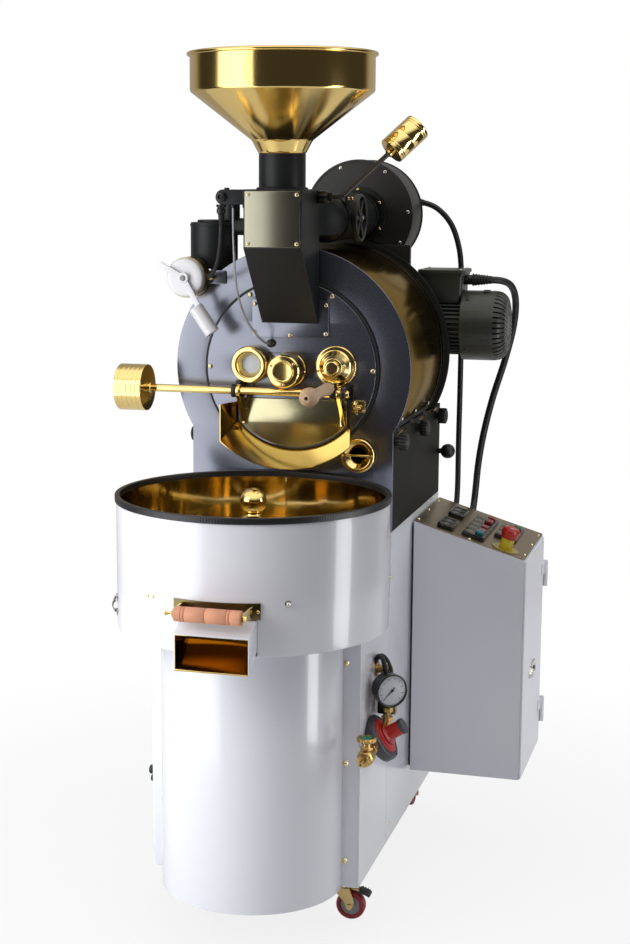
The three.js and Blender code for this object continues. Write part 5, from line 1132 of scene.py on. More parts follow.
# places along Y and the radius there: a bulb, a waist and a neck
handleSettings = {
    "axis": (104, 0, 1065),
    "stations": [(-262, 0.1), (-261.6, 5), (-260, 9.4), (-256, 13.8), (-250, 17), (-243, 18.8),
                 (-235, 18.9), (-226, 17.7), (-214, 15.2), (-200, 12.9), (-180, 11.2), (-158, 10.9),
                 (-136, 11.3), (-114, 12.2), (-98, 12.6),
                 (-90, 12.2), (-86, 10.6), (-84.2, 9.0)],
}


def makeHandle(s):
    # turned grip, as one smooth profile through the stations, with a small bore in its end
    stations = np.array(s["stations"])
    at = np.linspace(0, 1, 80)
    share = np.linspace(0, 1, len(stations))
    profile = np.stack([np.interp(at, share, stations[:, 1]), np.interp(at, share, stations[:, 0])],
                       -1)
    kernel = np.array([1, 2, 3, 2, 1]) / 9
    profile[3:-3, 0] = np.convolve(np.pad(profile[:, 0], 2, "edge"), kernel, "valid")[3:-3]
    ends = np.vstack([[(3.6, -252), (3.6, -261.5)], profile[6:],
                      [(5.1, -84.2), (5.1, -112), (0, -112)]])
    grip = turned(np.vstack([[(0, -252)], ends]), "y", s["axis"], 96)
    makePiece("handleGrip", [grip], handleWood, ["door_handle"], body="bean_door")
    # black disc at the bottom of the bore: painted shade in the hole
    makePiece("handleBoreShade", [roundCut(3.5, -251.5, -252.4, "y", s["axis"], 24)], blackPlastic,
              body="bean_door")


# half width, straight side and sag of the U at the disc and at the mouth
troughSettings = {
    "half": (121, 139), "straight": (41, 77), "sag": (56, 53), "x": 7, "top": 1022, "back": -0.4,
    "reach": 69.4,
    "sheet": 1.6, "middleZ": 1000, "rows": 9, "steps": 64,
}


def makeTrough(s):
    # one sheet whose rows are U shapes, from back to front, and the same rows again drawn in by
    # the sheet's thickness; a strip of faces round the edge joins the two
    rows = []
    for share in np.linspace(0, 1, s["rows"]):
        half, straight, sag = (between(share, *s[k]) for k in ("half", "straight", "sag"))
        shape = doorOutline(half, s["top"], straight, sag, s["x"], s["steps"])
        rows.append(np.column_stack([shape[:, 0],
                                     np.full(len(shape), s["back"] - s["reach"] * share),
                                     shape[:, 1]]))
    points = np.vstack(rows)
    count, columns, last = len(points), len(rows[0]), len(rows) - 1
    faces = gridFaces(len(rows), columns, wrap=False)
    outward = points - (s["x"], 0, s["middleZ"])
    outward[:, 1] = 0
    inner = points - outward / np.linalg.norm(outward, axis=1, keepdims=True) * s["sheet"]
    edge = list(range(columns)) + [r * columns + columns - 1 for r in range(1, last + 1)]
    edge += list(range(last * columns + columns - 2, last * columns - 1, -1))
    edge += [r * columns for r in range(last - 1, 0, -1)]
    strip = [[a, b, b + count, a + count] for a, b in zip(edge, edge[1:] + edge[:1])]
    shape = (np.vstack([points, inner]), faces + [[v + count for v in f][::-1] for f in faces]
             + strip)
    makePiece("dischargeSheet", [shape], brass, ["discharge_trough"], sharp=40)
    latch = [block((133, -3.5, 1008), (160, -0.5, 1032), 2, "y", 0.5),
             tubeBetween((139, -12, 1018), (153, -12, 1018), 4),
             block((143, -14, 1004), (147, -2, 1030), 2, "x", 0.6)]
    latch += [screw((x, -3.5, 1011), "y", 2.6, 2.2) for x in (141, 157)]
    makePiece("doorLatch", latch, brass)


makeFrontDisc(discSettings)
makePorts(portSettings)
makeDoor(doorSettings)
makeHandle(handleSettings)
makeTrough(troughSettings)
print("stage: front disc, ports and bean door made")


def partTurned(profile, start, end, steps, axis="z", centre=(0, 0, 0)):
    # closed profile carried round part of a circle, with both ends filled
    radius, along = np.array(profile, float).T
    angle = np.radians(np.linspace(start, end, steps))[:, None]
    points = np.stack([radius * np.cos(angle), radius * np.sin(angle),
                       np.broadcast_to(along, (steps, len(along)))], -1)
    faces = gridFaces(steps, len(radius)) + endFaces(steps, len(radius))
    return aimed(points.reshape(-1, 3), axis, centre), faces


def ribbedRing(corners, centre, ribs, depth):
    # a closed profile round the vertical; each rib swells it about its middle by a rectified sine
    section = softRing(corners, 1.4)
    middle = section.mean(0)
    angle = np.arange(ribs * 4) / (ribs * 4) * 2 * np.pi
    swell = 1 + depth * np.abs(np.sin(angle * ribs / 2))
    radius = middle[0] + (section[:, :1] - middle[0]) * swell
    height = middle[1] + (section[:, 1:] - middle[1]) * swell
    points = np.stack([radius * np.cos(angle), radius * np.sin(angle), height], -1).reshape(-1, 3)
    return points + np.array(centre, float), gridFaces(len(section), len(angle), closed=True)


def onCylinder(radius, degrees, z):
    # a place on an upright cylinder about the tray's axis, and the way it faces
    a = math.radians(degrees)
    way = np.array([math.cos(a), math.sin(a), 0.0])
    return np.array([0, trayY, z]) + way * radius, way


def domeScrew(place, way, radius=4.0, height=2.6):
    # slotted round head that faces away from the surface
    dome = arcPoints(radius, 0, 90, 7) * (1, height / radius)
    return turned([(0, -0.2), (radius, -0.2), *dome.tolist()], way, place, 24)


traySettings = {
    "radius": 267, "wall": 3, "foot": 619, "top": 868, "floor": 703, "sheet": 3, "lining": 0.7,
    "trim": (260.4, 269.6, 866, 877.4), "ribs": 300, "seam": 91.6, "slotRings": 9, "slots": 34,
    "slot": (11, 2.2),
}


def plenumCut():
    # the way of the cooling air, from the tray down into the base
    return roundCut(55, 600, 640, "z", (0, -150, 0), 64)


def makeTray(s):
    centre = trayAxis
    inner, foot, top = s["radius"] - s["wall"], s["foot"], s["top"]
    wall = turned(softRing([(14, foot), (s["radius"], foot), (s["radius"], top), (inner, top),
                            (inner, foot + 3), (14, foot + 3)], 1.6), "z", centre, 288, closed=True)
    spoutHole = block((-60.4, -563, 621.7), (84.4, -509, 688.3), 0.5, "z", 0.1)
    gateSlot = block((-60.6, -563, 698.6), (76.6, -509, 703.4), 0.5, "z", 0.1)
    plenum = plenumCut()
    rest = carved([roundSleeve(inner - 11.7, inner + 0.2, 697, 702.7, 0.5, "z", centre, 160)],
                  [block((-72, -563, 690), (96, -434, 710), 0.5, "z", 0.1)])
    makePiece("trayWall", [carved([wall], [spoutHole, gateSlot, plenum]), rest], whitePaint,
              ["tray_shell"], sharp=30)
    low = s["floor"] + s["sheet"] + 0.3
    lining = turned(softRing([(inner - 0.1, low), (inner - 0.1, top - 0.3),
                              (inner - s["lining"], top - 0.3), (inner - s["lining"], low)], 0.2,
                             1), "z", centre, 288, closed=True)
    seam = rolled(block((inner - 1.6, trayY - 1.0, low),
                        (inner - s["lining"] + 0.1, trayY + 1.0, top - 0.6), 1, "z", 0.3), "Z",
                  s["seam"], centre)
    makePiece("trayLining", [lining, seam], trayBrass)
    r0, r1, z0, z1 = s["trim"]
    trim = ribbedRing([(r1, z0), (r1, z1), (r0, z1), (r0, z0), (inner - 0.9, z0),
                       (inner - 0.9, top + 0.4), (s["radius"] + 0.3, top + 0.4),
                       (s["radius"] + 0.3, z0)], centre, s["ribs"], 0.1)
    makePiece("trayEdgeTrim", [trim], trimRubber, ["tray_trim"], sharp=50)


def makeSieve(s):
    # perforated floor: rings of six-sided slots, left out over the spout, where beans drop
    centre, inner = trayAxis, s["radius"] - s["wall"]
    long, wide = s["slot"]
    holes = []
    for ring in range(s["slotRings"]):
        r = 52 + ring * 23
        count = s["slots"] if ring < 4 else s["slots"] * 2
        for i in range(count):
            a = math.radians((i + 0.5 * (ring % 2)) * 360 / count)
            cx, cy = r * math.cos(a), r * math.sin(a)
            if -62 < cx < 86 and cy < -178:
                continue
            corner = np.array([(-long / 2, -wide / 2), (long / 2 - 1, -wide / 2), (long / 2, 0),
                               (long / 2 - 1, wide / 2), (-long / 2, wide / 2), (-long / 2 - 1, 0)])
            turn = np.array([[math.cos(a), math.sin(a)], [-math.sin(a), math.cos(a)]])
            holes.append(corner @ turn + (cx, cy))
    drop = roundedRectangle(-48, 72, -508 - trayY, -456 - trayY, 2)
    sheet = plate([arcPoints(inner - 0.9, 0, 358, 180), arcPoints(9.6, 0, 350, 36), drop, *holes],
                  s["floor"], s["floor"] + s["sheet"], "z", centre, 0.2, 0)
    makePiece("traySieve", [sheet], cloudyBrass, ["tray_floor"])


def makeTrayFittings(s):
    centre = trayAxis
    nut, way = onCylinder(s["radius"], -59.5, 718)
    washer = roundSleeve(2, 6.4, 0, 1.4, 0.4, way, nut, 32)
    hexed = roundBar(5.2, 1.2, 4.2, 0.5, way, nut, 6)
    makePiece("trayDomeNut", [washer, hexed, domeScrew(nut + way * 4, way, 4.2, 4)], brightSteel)
    small = [domeScrew(*onCylinder(s["radius"], d, 715), 3.2, 2.2) for d in (-120.4, -117.4)]
    makePiece("trayScrews", small, brass)
    clasp = []
    for z, half in ((676, 7), (648, 6)):
        place, way = onCylinder(s["radius"], -155, z)
        plateAt = block((s["radius"] - 0.6, trayY - 9, z - half),
                        (s["radius"] + 2.2, trayY + 9, z + half), 2, "x", 0.5)
        clasp.append(rolled(plateAt, "Z", -155, centre))
        clasp += [domeScrew(place + np.array([-way[1], way[0], 0]) * side + way * 2, way, 2.2, 1.4)
                  for side in (-5.5, 5.5)]
    lever = smoothPath([(s["radius"] + 2, trayY, 652), (s["radius"] + 8, trayY, 655),
                        (s["radius"] + 9, trayY, 664), (s["radius"] + 6, trayY, 672),
                        (s["radius"] + 4, trayY, 679)], 24)
    for side in (-4.5, 4.5):
        clasp.append(rolled(swept(lever + (0, side, 0), 1.5, 10), "Z", -155, centre))
    clasp.append(rolled(swept([(s["radius"] + 6.2, trayY - 7, 671),
                               (s["radius"] + 6.2, trayY + 7, 671)], 2.2, 12), "Z", -155, centre))
    clasp.append(rolled(swept([(s["radius"] + 4.4, trayY - 6, 652),
                               (s["radius"] + 4.4, trayY + 6, 652)], 2.6, 12), "Z", -155, centre))
    makePiece("trayClasp", clasp, brightSteel)


stirSettings = {"shaft": 9, "hub": 24, "low": 709, "hubTop": 834, "ball": 26.5, "ballZ": 860,
                "arm": 7, "armZ": 768, "reach": 246, "blade": (74, 4), "lean": 28,
                "outer": (205, 138)}


def makeStirrer(s):
    centre = trayAxis
    ball = arcPoints(s["ball"], -58, 89.9, 30, (0, s["ballZ"])).tolist()
    profile = [(0, 580), (s["shaft"], 580), (s["shaft"], s["low"]), (s["hub"], s["low"]),
               (s["hub"], s["hubTop"] - 18), (26, s["hubTop"] - 15), (26, s["hubTop"] - 8),
               (20, s["hubTop"] - 4), (15.5, s["hubTop"] - 1), (14, s["hubTop"] + 2)]
    base = softened(profile, 1.2)
    makePiece("stirrerPost",
              [turned(np.vstack([base, ball, [(0, s["ballZ"] + s["ball"])]]), "z", centre, 96)],
              spunBrass, ["agitator"], body="cooling_stirrer")
    arms, blades = [], []
    long, thick = s["blade"]
    for i in range(4):
        turn = 45 + 90 * i
        arm = tubeBetween((20, trayY, s["armZ"]), (s["reach"], trayY, s["armZ"]), s["arm"], 24)
        out = s["outer"][i % 2]
        blade = rolled(block((out - long / 2, trayY - thick / 2, s["low"]),
                             (out + long / 2, trayY + thick / 2, s["armZ"] + 6), 4, "y", 0.8), "Z",
                       s["lean"], (out, trayY, 0))
        grip = roundSleeve(s["arm"] - 0.1, s["arm"] + 4, out - 9, out + 9, 0.7, "x",
                           (0, trayY, s["armZ"]), 32)
        arms += [rolled(arm, "Z", turn, centre), rolled(grip, "Z", turn, centre)]
        blades.append(rolled(blade, "Z", turn, centre))
    makePiece("stirrerArms", arms, brightSteel, body="cooling_stirrer")
    makePiece("stirrerBlades", blades, cloudyBrass, body="cooling_stirrer")


spoutSettings = {"x": (-60, 84), "mouth": -570, "top": 666, "low": 596, "lid": 688, "sheet": 2,
                 "back": -446, "backFloor": 684, "rim": 698.5, "wall": -508}


def makeSpout(s):
    x0, x1 = s["x"]
    fall = (s["backFloor"] - s["low"]) / (s["back"] - s["mouth"])
    t = s["sheet"]

    def side(inset, past):
        floorAt = [(y, s["backFloor"] + (y - s["back"]) * fall + inset * 1.3)
                   for y in (s["back"] - inset, s["mouth"] - past)]
        return [floorAt[0], (s["back"] - inset, s["rim"] + past),
                (s["wall"] + inset, s["rim"] + past), (-512 + inset, s["lid"] - inset),
                (-531.5, s["lid"] - inset), (s["mouth"], s["top"] - inset),
                (s["mouth"] - past, s["top"] - inset - past), floorAt[1]]
    outer = [p for i, p in enumerate(side(0, 0)) if i != 6]
    hollow = plate([side(t, 30)], x0 + t, x1 - t, "x", bevel=0.05)
    makePiece("spoutShell", [carved([plate([outer], x0, x1, "x", bevel=0.7)], [hollow])],
              whitePaint, ["spout"])
    liner = plate([[p for i, p in enumerate(side(t + 0.15, 0)) if i != 6]], x0 + t + 0.1,
                  x1 - t - 0.1, "x", bevel=0.1)
    inside = plate([side(t + 1.0, 30)], x0 + t + 0.8, x1 - t - 0.8, "x", bevel=0.05)
    makePiece("spoutLining", [carved([liner], [inside])], trayBrass)
    lip = swept([(x0 + 1.2, s["mouth"] + 0.9, s["low"] + 1.6),
                 (x1 - 1.2, s["mouth"] + 0.9, s["low"] + 1.6)], 1.7, 16)
    makePiece("spoutLip", [lip], brass)


gateSettings = {"x": (-74, 90), "face": (267.4, 270.4, 690, 721), "rollerX": 11, "half": 64,
                "radius": 14, "z": 707, "y": -583, "grooves": (0.12, 0.165, 0.47, 0.79, 0.835)}


def makeGate(s):
    r0, r1, z0, z1 = s["face"]
    angles = [-90 + math.degrees(math.asin(x / r0)) for x in s["x"]]
    face = partTurned(softRing([(r0, z0), (r1, z0), (r1, z1), (r0, z1)], 0.9), *angles, 48, "z",
                      trayAxis)
    slide = carved([plate([[(-60, -560), (76, -560), (76, -448), (-60, -448)]], 699.8, 702.7, "z",
                          bevel=0.4)],
                   [carved([block((-200, -700, 690), (200, -400, 710), 1, "z", 0.1)],
                           [roundCut(268.5, 680, 720, "z", trayAxis, 160)])])
    x, half = s["rollerX"], s["half"]
    arms, pads = [], []
    for at in (x - half - 4.4, x + half + 0.4):
        side = [(s["y"] - 8, s["z"] - 4), (s["y"], s["z"] - 8), (-520, 694), (-520, 717),
                (s["y"], s["z"] + 8), (s["y"] - 8, s["z"] + 4)]
        tray = roundCut(268.6, 680, 730, "z", trayAxis, 160)
        arms.append(carved([plate([side], at, at + 4, "x", bevel=0.6)], [tray]))
        pads += [screw((at + 2 + side * 9, -0.3 + trayY - math.sqrt(r1 ** 2 - (at + side * 9) ** 2),
                        705.5), "y", 3.4, 2.2) for side in ((-1,) if at < 0 else (1,))]
    pin = tubeBetween((x - half - 4.4, s["y"], s["z"]), (x + half + 4.4, s["y"], s["z"]), 3.9)
    knob = turned(softened([(0, -72), (3.6, -72), (5, -70.6), (5, -68.6), (3.2, -67), (2.2, -63),
                            (2.2, -57)], 0.8), "x", (0, s["y"], s["z"]), 32)
    nut = roundBar(5.4, 79, 84, 0.8, "x", (0, s["y"], s["z"]), 6)
    # the gate face wears the darker copy of the brass, which is painted shade
    makePiece("gateFace", [face, slide], gateShadeBronze, ["gate_slide"], body="cooling_gate")
    makePiece("gateArms", arms + [pin], brass, body="cooling_gate")
    makePiece("gateScrews", pads + [knob, nut], brass, body="cooling_gate")
    grip = groovedProfile(-half, half, s["radius"], s["grooves"], 1.2, 2.0, 2.4)
    bored = np.vstack([[(4.4, -half)], grip[1:-1], [(4.4, half)]])
    makePiece("gateGrip", [turned(bored, "x", (x, s["y"], s["z"]), 96, closed=True)], gripWood,
              ["gate_roller"], body="gate_grip")


baseSettings = {"half": 217, "front": -254, "rear": 524, "low": 83, "step": 618.7, "top": 758,
                "face": 10, "wall": 3}


def grooveBox(low, high):
    # cutter for a narrow seam
    return block(low, high, 0.3, "z", 0.05)


def makeBase(s):
    h, f, r, low, step, top = (s[k] for k in ("half", "front", "rear", "low", "step", "top"))

    def side(inset):
        return [(f + inset, low - (30 if inset else 0)), (r - inset, low - (30 if inset else 0)),
                (r - inset, top - inset), (s["face"] + inset, top - inset),
                (s["face"] + inset, step - inset), (f + inset, step - inset)]
    shell = plate([side(0)], -h, h, "x", bevel=1.6, rounding=3)
    cuts = [plate([side(s["wall"])], -h + s["wall"], h - s["wall"], "x", bevel=0.05),
            roundCut(46.4, 500, 640, "z", trayAxis, 64),
            plenumCut(),
            roundCut(9.4, 180, 240, "x", (0, -116, 500), 32)]
    for x in (-h, h):
        a, b = x - 1.0, x + 1.0
        cuts.append(grooveBox((a, -6.6, low + 2), (b, -5.2, step - 2)))
    makePiece("baseCase", [carved([shell], cuts)], whitePaint, ["base_body"], sharp=30)
    hatch = block((-h - 4, -248, 108), (-h + 0.5, -18, 418), 7, "x", 1.4)
    frame = [swept([(-h - 4.4, y, 122), (-h - 4.4, y, 404)], 1.2, 8) for y in (-236, -30)]
    makePiece("serviceHatch", [hatch] + frame, whitePaint)
    latch = [turned(softened([(0, -h - 15), (8, -h - 15), (9.5, -h - 13), (9.5, -h - 8),
                              (6, -h - 6.5), (6, -h - 3.6), (0, -h - 3.6)], 0.8), "x",
                    (0, -232, 280), 32),
             turned(softened([(0, -h - 12), (6, -h - 12), (7, -h - 10), (7, -h - 3.6),
                              (0, -h - 3.6)], 0.8), "x", (0, -232, 262), 32)]
    makePiece("hatchLatch", latch, blackPlastic)
    dots = [domeScrew((x, y, z), (1 if x > 0 else -1, 0, 0), 3.6, 2.4)
            for x in (-h, h) for y, z in ((7, 664), (20, 120), (500, 120), (500, 730))]
    dots += [domeScrew((x, r, z), (0, 1, 0), 3.6, 2.4) for x in (-190, 190)
             for z in (120, 420, 730)]
    makePiece("baseScrews", dots, screwBrass)
    louvres = [plate([[(r - 0.4, z), (r + 5, z - 9), (r + 5, z - 11), (r - 0.4, z - 11)]], -96, 96,
                     "x", bevel=0.4) for z in range(260, 420, 22)]
    cover = block((-170, r - 0.4, 150), (170, r + 1.4, 700), 6, "y", 0.6)
    makePiece("rearCover", [cover] + louvres, whitePaint)
    makePiece("rearCoverScrews",
              [domeScrew((x, r + 1.4, z), (0, 1, 0), 3.4, 2.2) for x in (-160, 160)
               for z in (162, 425, 688)], brightSteel)


shellSettings = {"radius": 183, "sheet": 2, "lip": 213, "y": -256.3, "low": 83.2, "top": 618.6,
                 "screws": (546, 341, 138), "screwX": 187}


def makeFrontShell(s):
    r, t, y = s["radius"], s["sheet"], s["y"]
    turn = math.degrees(math.asin((y - trayY) / r))
    back = math.degrees(math.asin((y + t - trayY) / (r - t)))
    outside = arcPoints(r, 180 - turn, 360 + turn, 120, (0, trayY))
    inside = arcPoints(r - t, 360 + back, 180 - back, 120, (0, trayY))
    outline = np.vstack([[(-s["lip"], y)], outside, [(s["lip"], y), (s["lip"], y + t)], inside,
                         [(-s["lip"], y + t)]])
    makePiece("frontShellSheet", [plate([outline], s["low"], s["top"], "z", bevel=0.4)], whitePaint,
              ["front_shell"])
    heads = [domeScrew((side * s["screwX"], y, z), (0, -1, 0), 4.6, 3.0) for side in (-1, 1)
             for z in s["screws"]]
    cups = [turned(softRing([(2, 0), (6.6, 0), (5.6, 1.3), (2, 1.3)], 0.3), (0, -1, 0),
                   (side * s["screwX"], y, z), 32, closed=True) for side in (-1, 1)
            for z in s["screws"]]
    makePiece("frontShellScrews", heads + cups, screwBrass)


frameSettings = {"half": 217, "front": 16.3, "rear": 524, "low": 758.3, "top": 967, "deck": 414,
                 "wall": 3, "knobs": ((31, 945), (252, 945), (463, 945)), "studs": (60, 200, 340),
                 "studReach": 247.5}


def ribbedKnob(place, way, radius, stem, reach, thick):
    # scalloped thumb knob on a short stem: radius falls at every rib by a rectified sine
    ribs = 18
    angle = np.arange(ribs * 6) / (ribs * 6) * 2 * np.pi
    rows = np.array([(0, 0, 0), (stem, 0, 0), (stem, reach, 0), (radius * 0.86, reach, 0),
                     (radius, reach + 2, 1), (radius, reach + thick - 2, 1),
                     (radius * 0.9, reach + thick, 1), (radius * 0.7, reach + thick, 0),
                     (radius * 0.62, reach + thick + 1.4, 0), (0, reach + thick + 1.8, 0)], float)
    scallop = 1 - 0.11 * np.abs(np.sin(angle * ribs / 2)) ** 0.7
    spread = rows[:, :1] * (1 + rows[:, 2:] * (scallop - 1))
    points = np.stack([spread * np.cos(angle), spread * np.sin(angle),
                       np.repeat(rows[:, 1:2], len(angle), 1)], -1)
    return aimed(points.reshape(-1, 3), way, place), gridFaces(len(rows), len(angle))


def makeUpperFrame(s):
    h, f, r, low, top, t = (s[k] for k in ("half", "front", "rear", "low", "top", "wall"))
    walls = [block((x, f, low), (x + t, r, top), 1.2, "x", 0.8) for x in (-h, h - t)]
    walls += [block((-h, r - t, low), (h, r, top), 1.2, "y", 0.8),
              block((-h, s["deck"], top - 4), (h, r, top), 1.2, "z", 0.8),
              block((-h, f, low), (h, r, low + t), 1.2, "z", 0.8)]
    seams = [grooveBox((x - 0.8, r - 22, low + 8), (x + 0.8, r - 20.8, top - 8)) for x in (-h, h)]
    makePiece("drumFrame", [carved([w], seams) if i < 2 else w for i, w in enumerate(walls)],
              framePaint, ["upper_frame"])
    knobs = [ribbedKnob((h, y, z), (1, 0, 0), 18, 9, 9, 18) for y, z in s["knobs"]]
    knobs += [ribbedKnob((-h, y, z), (-1, 0, 0), 16, 8, 1, 7) for y, z in s["knobs"]]
    makePiece("frameKnobs", knobs, knobPlastic)
    ball = turned(np.vstack([[(0, 0), (6, 0), (6, 12)], arcPoints(17, -66, 89.9, 20, (0, 25))]),
                  (1, 0, 0), (h, 497, 858), 48)
    makePiece("frameBallKnob", [ball], knobPlastic)
    pads = []
    for side in (-1, 1):
        for y in s["studs"]:
            a = math.radians(-31 if side > 0 else 211)
            at = np.array([s["studReach"] * math.cos(a), y, drumZ + s["studReach"] * math.sin(a)])
            pads.append(turned(softened([(0, -4), (9, -4), (9, 4), (6, 6), (6, 9), (0, 9)], 0.8),
                               (math.cos(a), 0, math.sin(a)), at, 24))
    makePiece("jacketStuds", pads, darkSteel)


def makePlates(s):
    # front and rear plate: a disc on a rectangle
    h, low, top = s["half"], s["low"], s["top"]
    outline = np.vstack([arcPoints(252, -29.9, 209.9, 200, (0, drumZ)),
                         [(-h, top - 0.5), (-h, low), (h, low), (h, top - 0.5)]])
    port = ringOf(16, *portSettings["inspection"][::2])
    makePiece("frontPlateSheet",
              [plate([outline, ringOf(165, 0, drumZ, 144), port], 10, 16, "y", bevel=0.9)],
              darkPaint, ["front_plate"])
    lower = [(-213.7, 761.6), (213.7, 761.6), (213.7, 966.7), (224.6, 967.3)]
    back = np.vstack([lower, arcPoints(258, -29.2, 209.2, 200, (0, drumZ)),
                      [(-224.6, 967.3), (-213.7, 966.7)]])
    makePiece("rearPlateSheet", [plate([back, ringOf(15.4, 0, drumZ)], 404, 412, "y", bevel=1.2)],
              framePaint, ["rear_plate"])
    makePiece("rearPlateScrews", screwsAround(246, (0, 412, drumZ), range(-20, 201, 20), 4.4, 3.2,
                                              1), darkSteel)


def clampOutline(wide, ends, places):
    # straight strip with a rounded ear about each screw
    low, high = ends
    ears = [(0, low), (wide, low)]
    for y in places:
        ears.append((wide, y - 17))
        ears += [(14 + 14 * math.sin(a), y - 12 * math.cos(a))
                 for a in np.linspace(0.25, math.pi - 0.25, 9)]
        ears.append((wide, y + 17))
    return np.array(ears + [(wide, high), (0, high)], float)


# the clamps run along both lower edges of the skin; angles are in degrees about the drum
jacketSettings = {
    "inner": 242, "outer": 245, "ends": (16.4, 403.6), "bands": ((370, 382), (397, 403.6)),
    "clampAngle": -30.2,
    "clampWide": 15, "clampEnds": (16.6, 369.6), "clampThick": 2.6, "screws": (60, 200, 340),
    "screwReach": 247.5,
    "screwIn": 23, "slotX": 217.2, "slots": (58, 280, 404),
}


def makeJacket(s):
    outer = s["outer"]
    skin = roundSleeve(s["inner"], outer, *s["ends"], 0.4, "y", drumAxis, 288)
    bands = [turned(softRing([(244.9, a), (246.8, a + 0.6), (246.8, b - 0.6), (244.9, b)], 0.5),
                    "y", drumAxis, 288, closed=True) for a, b in s["bands"]]
    makePiece("jacketSkin", [skin], jacketMetal, ["drum_jacket"])
    makePiece("jacketBands", bands, jacketBand)
    strip = []
    for way in (-1, 1):
        outline = clampOutline(s["clampWide"], s["clampEnds"], s["screws"])
        points, faces = plate([outline], 0, s["clampThick"], "z", bevel=0.5)
        # the flat strip wraps round the jacket: its width becomes an angle, its thickness a radius
        angle = math.radians(s["clampAngle"]) + points[:, 0] / outer
        reach = outer + 0.1 + points[:, 2]
        points = np.column_stack([way * reach * np.cos(angle), points[:, 1],
                                  drumZ + reach * np.sin(angle)])
        strip.append((points, faces))
    makePiece("jacketClamps", strip, framePaint)
    heads = []
    for way in (-1, 1):
        for y in s["screws"]:
            a = math.radians(s["clampAngle"] + s["screwIn"] / outer * 180 / math.pi)
            at = np.array([way * s["screwReach"] * math.cos(a), y,
                           drumZ + s["screwReach"] * math.sin(a)])
            heads.append(turned(softened([(0, -1), (4.2, -1), (4.2, 1.2), (0, 3.2)], 1.2),
                                (way * math.cos(a), 0, math.sin(a)), at, 24))
    makePiece("clampScrews", heads, brightSteel)
    slots = [block((x - 0.8, y, 956.6), (x + 0.8, y + 78, 962.2), 2.4, "x", 0.3)
             for x in (-s["slotX"], s["slotX"]) for y in s["slots"]]
    makePiece("clampSlots", slots, jacketMetal)


makeTray(traySettings)
makeSieve(traySettings)
makeTrayFittings(traySettings)
makeStirrer(stirSettings)
makeSpout(spoutSettings)
makeGate(gateSettings)
print("stage: cooling tray, stirrer, spout and gate made")
makeBase(baseSettings)
makeFrontShell(shellSettings)
makeUpperFrame(frameSettings)
makePlates(frameSettings)
makeJacket(jacketSettings)
print("stage: base, frame and jacket made")


ductSettings = {"x": 40, "z": 1400, "radius": 50, "box": (6, 48, 1411, 47), "straight": 40,
                "round": 118, "end": 424.7, "sheet": 3}


def makeDuct(s):
    # rows along Y; each row's radius goes from a square's, half / max(|cos|, |sin|), to a circle's,
    # by a smooth step
    angle = (np.arange(96) + 0.5) / 96 * 2 * np.pi
    cosine, sine = np.cos(angle), np.sin(angle)
    bx, half, bz, tall = s["box"]

    def skin(inset, stations):
        rows = []
        for y in stations:
            share = min(max((y - s["straight"]) / (s["round"] - s["straight"]), 0), 1)
            share = share * share * (3 - 2 * share)
            square = 1 / ((np.abs(cosine) / (half - inset)) ** 14
                          + (np.abs(sine) / (tall - inset)) ** 14) ** (1 / 14)
            r = square + (s["radius"] - inset - square) * share
            rows.append(np.stack([bx + (s["x"] - bx) * share + r * cosine,
                                  np.full(len(angle), float(y)), bz + (s["z"] - bz) * share + r
                                  * sine], -1))
        return np.stack(rows)
    stations = [0, 1.2, 20, *np.linspace(40, 118, 22), 200, 300, s["end"]]
    grid = np.vstack([skin(0, stations), skin(s["sheet"], stations)[::-1]])
    shape = (grid.reshape(-1, 3), gridFaces(len(grid), len(angle), closed=True))
    seam = [roundSleeve(49.9, 52.2, a, a + 5, 0.6, "y", (s["x"], 0, s["z"]), 96)
            for a in (124, 388)]
    flange = roundSleeve(49.9, 64, 417, 424.5, 0.8, "y", (s["x"], 0, s["z"]), 128)
    makePiece("exhaustPipe", [shape, *seam, flange], boxPaint, ["exhaust_duct"])
    makePiece("exhaustPipeScrews", screwsAround(58, (s["x"], 417, s["z"]), range(30, 360, 60), 3.4,
                                                2.6), brass)


canSettings = {"axis": (-187, 67, 0), "radius": 50, "low": 1295, "high": 1391,
               "bands": (1299, 1383), "lidAxis": (-182, 67, 0), "pipeAxis": (-151, 67, 0),
               "stubAxis": (-170, 67, 0)}


def makeAirCan(s):
    # closed can beside the charge box, with its lid, its pipes and two bands
    can = roundBar(s["radius"], s["low"], s["high"], 1.6, "z", s["axis"], 128)
    lid = roundBar(40, s["high"] - 0.2, 1396, 1.0, "z", s["lidAxis"], 128)
    pipe = roundSleeve(17, 20, s["high"], 1446, 0.8, "z", s["pipeAxis"], 64)
    elbow = tubeBetween((-158, 67, 1382), (-36, 67, 1382), 18, 48, 1.0)
    stub = roundBar(24, 1245, s["low"] + 0.5, 1.0, "z", s["stubAxis"], 64)
    saddle = roundCut(245.4, 10, 410, "y", drumAxis, 200)
    bands = [roundSleeve(49.8, 51.2, z, z + 4, 0.5, "z", s["axis"], 128)
             for z in s["bands"]]
    makePiece("airCan", [can, lid, pipe, elbow, carved([stub], [saddle]), *bands], boxPaint)


damperSettings = {"y": 150, "z": 1400, "start": 101}


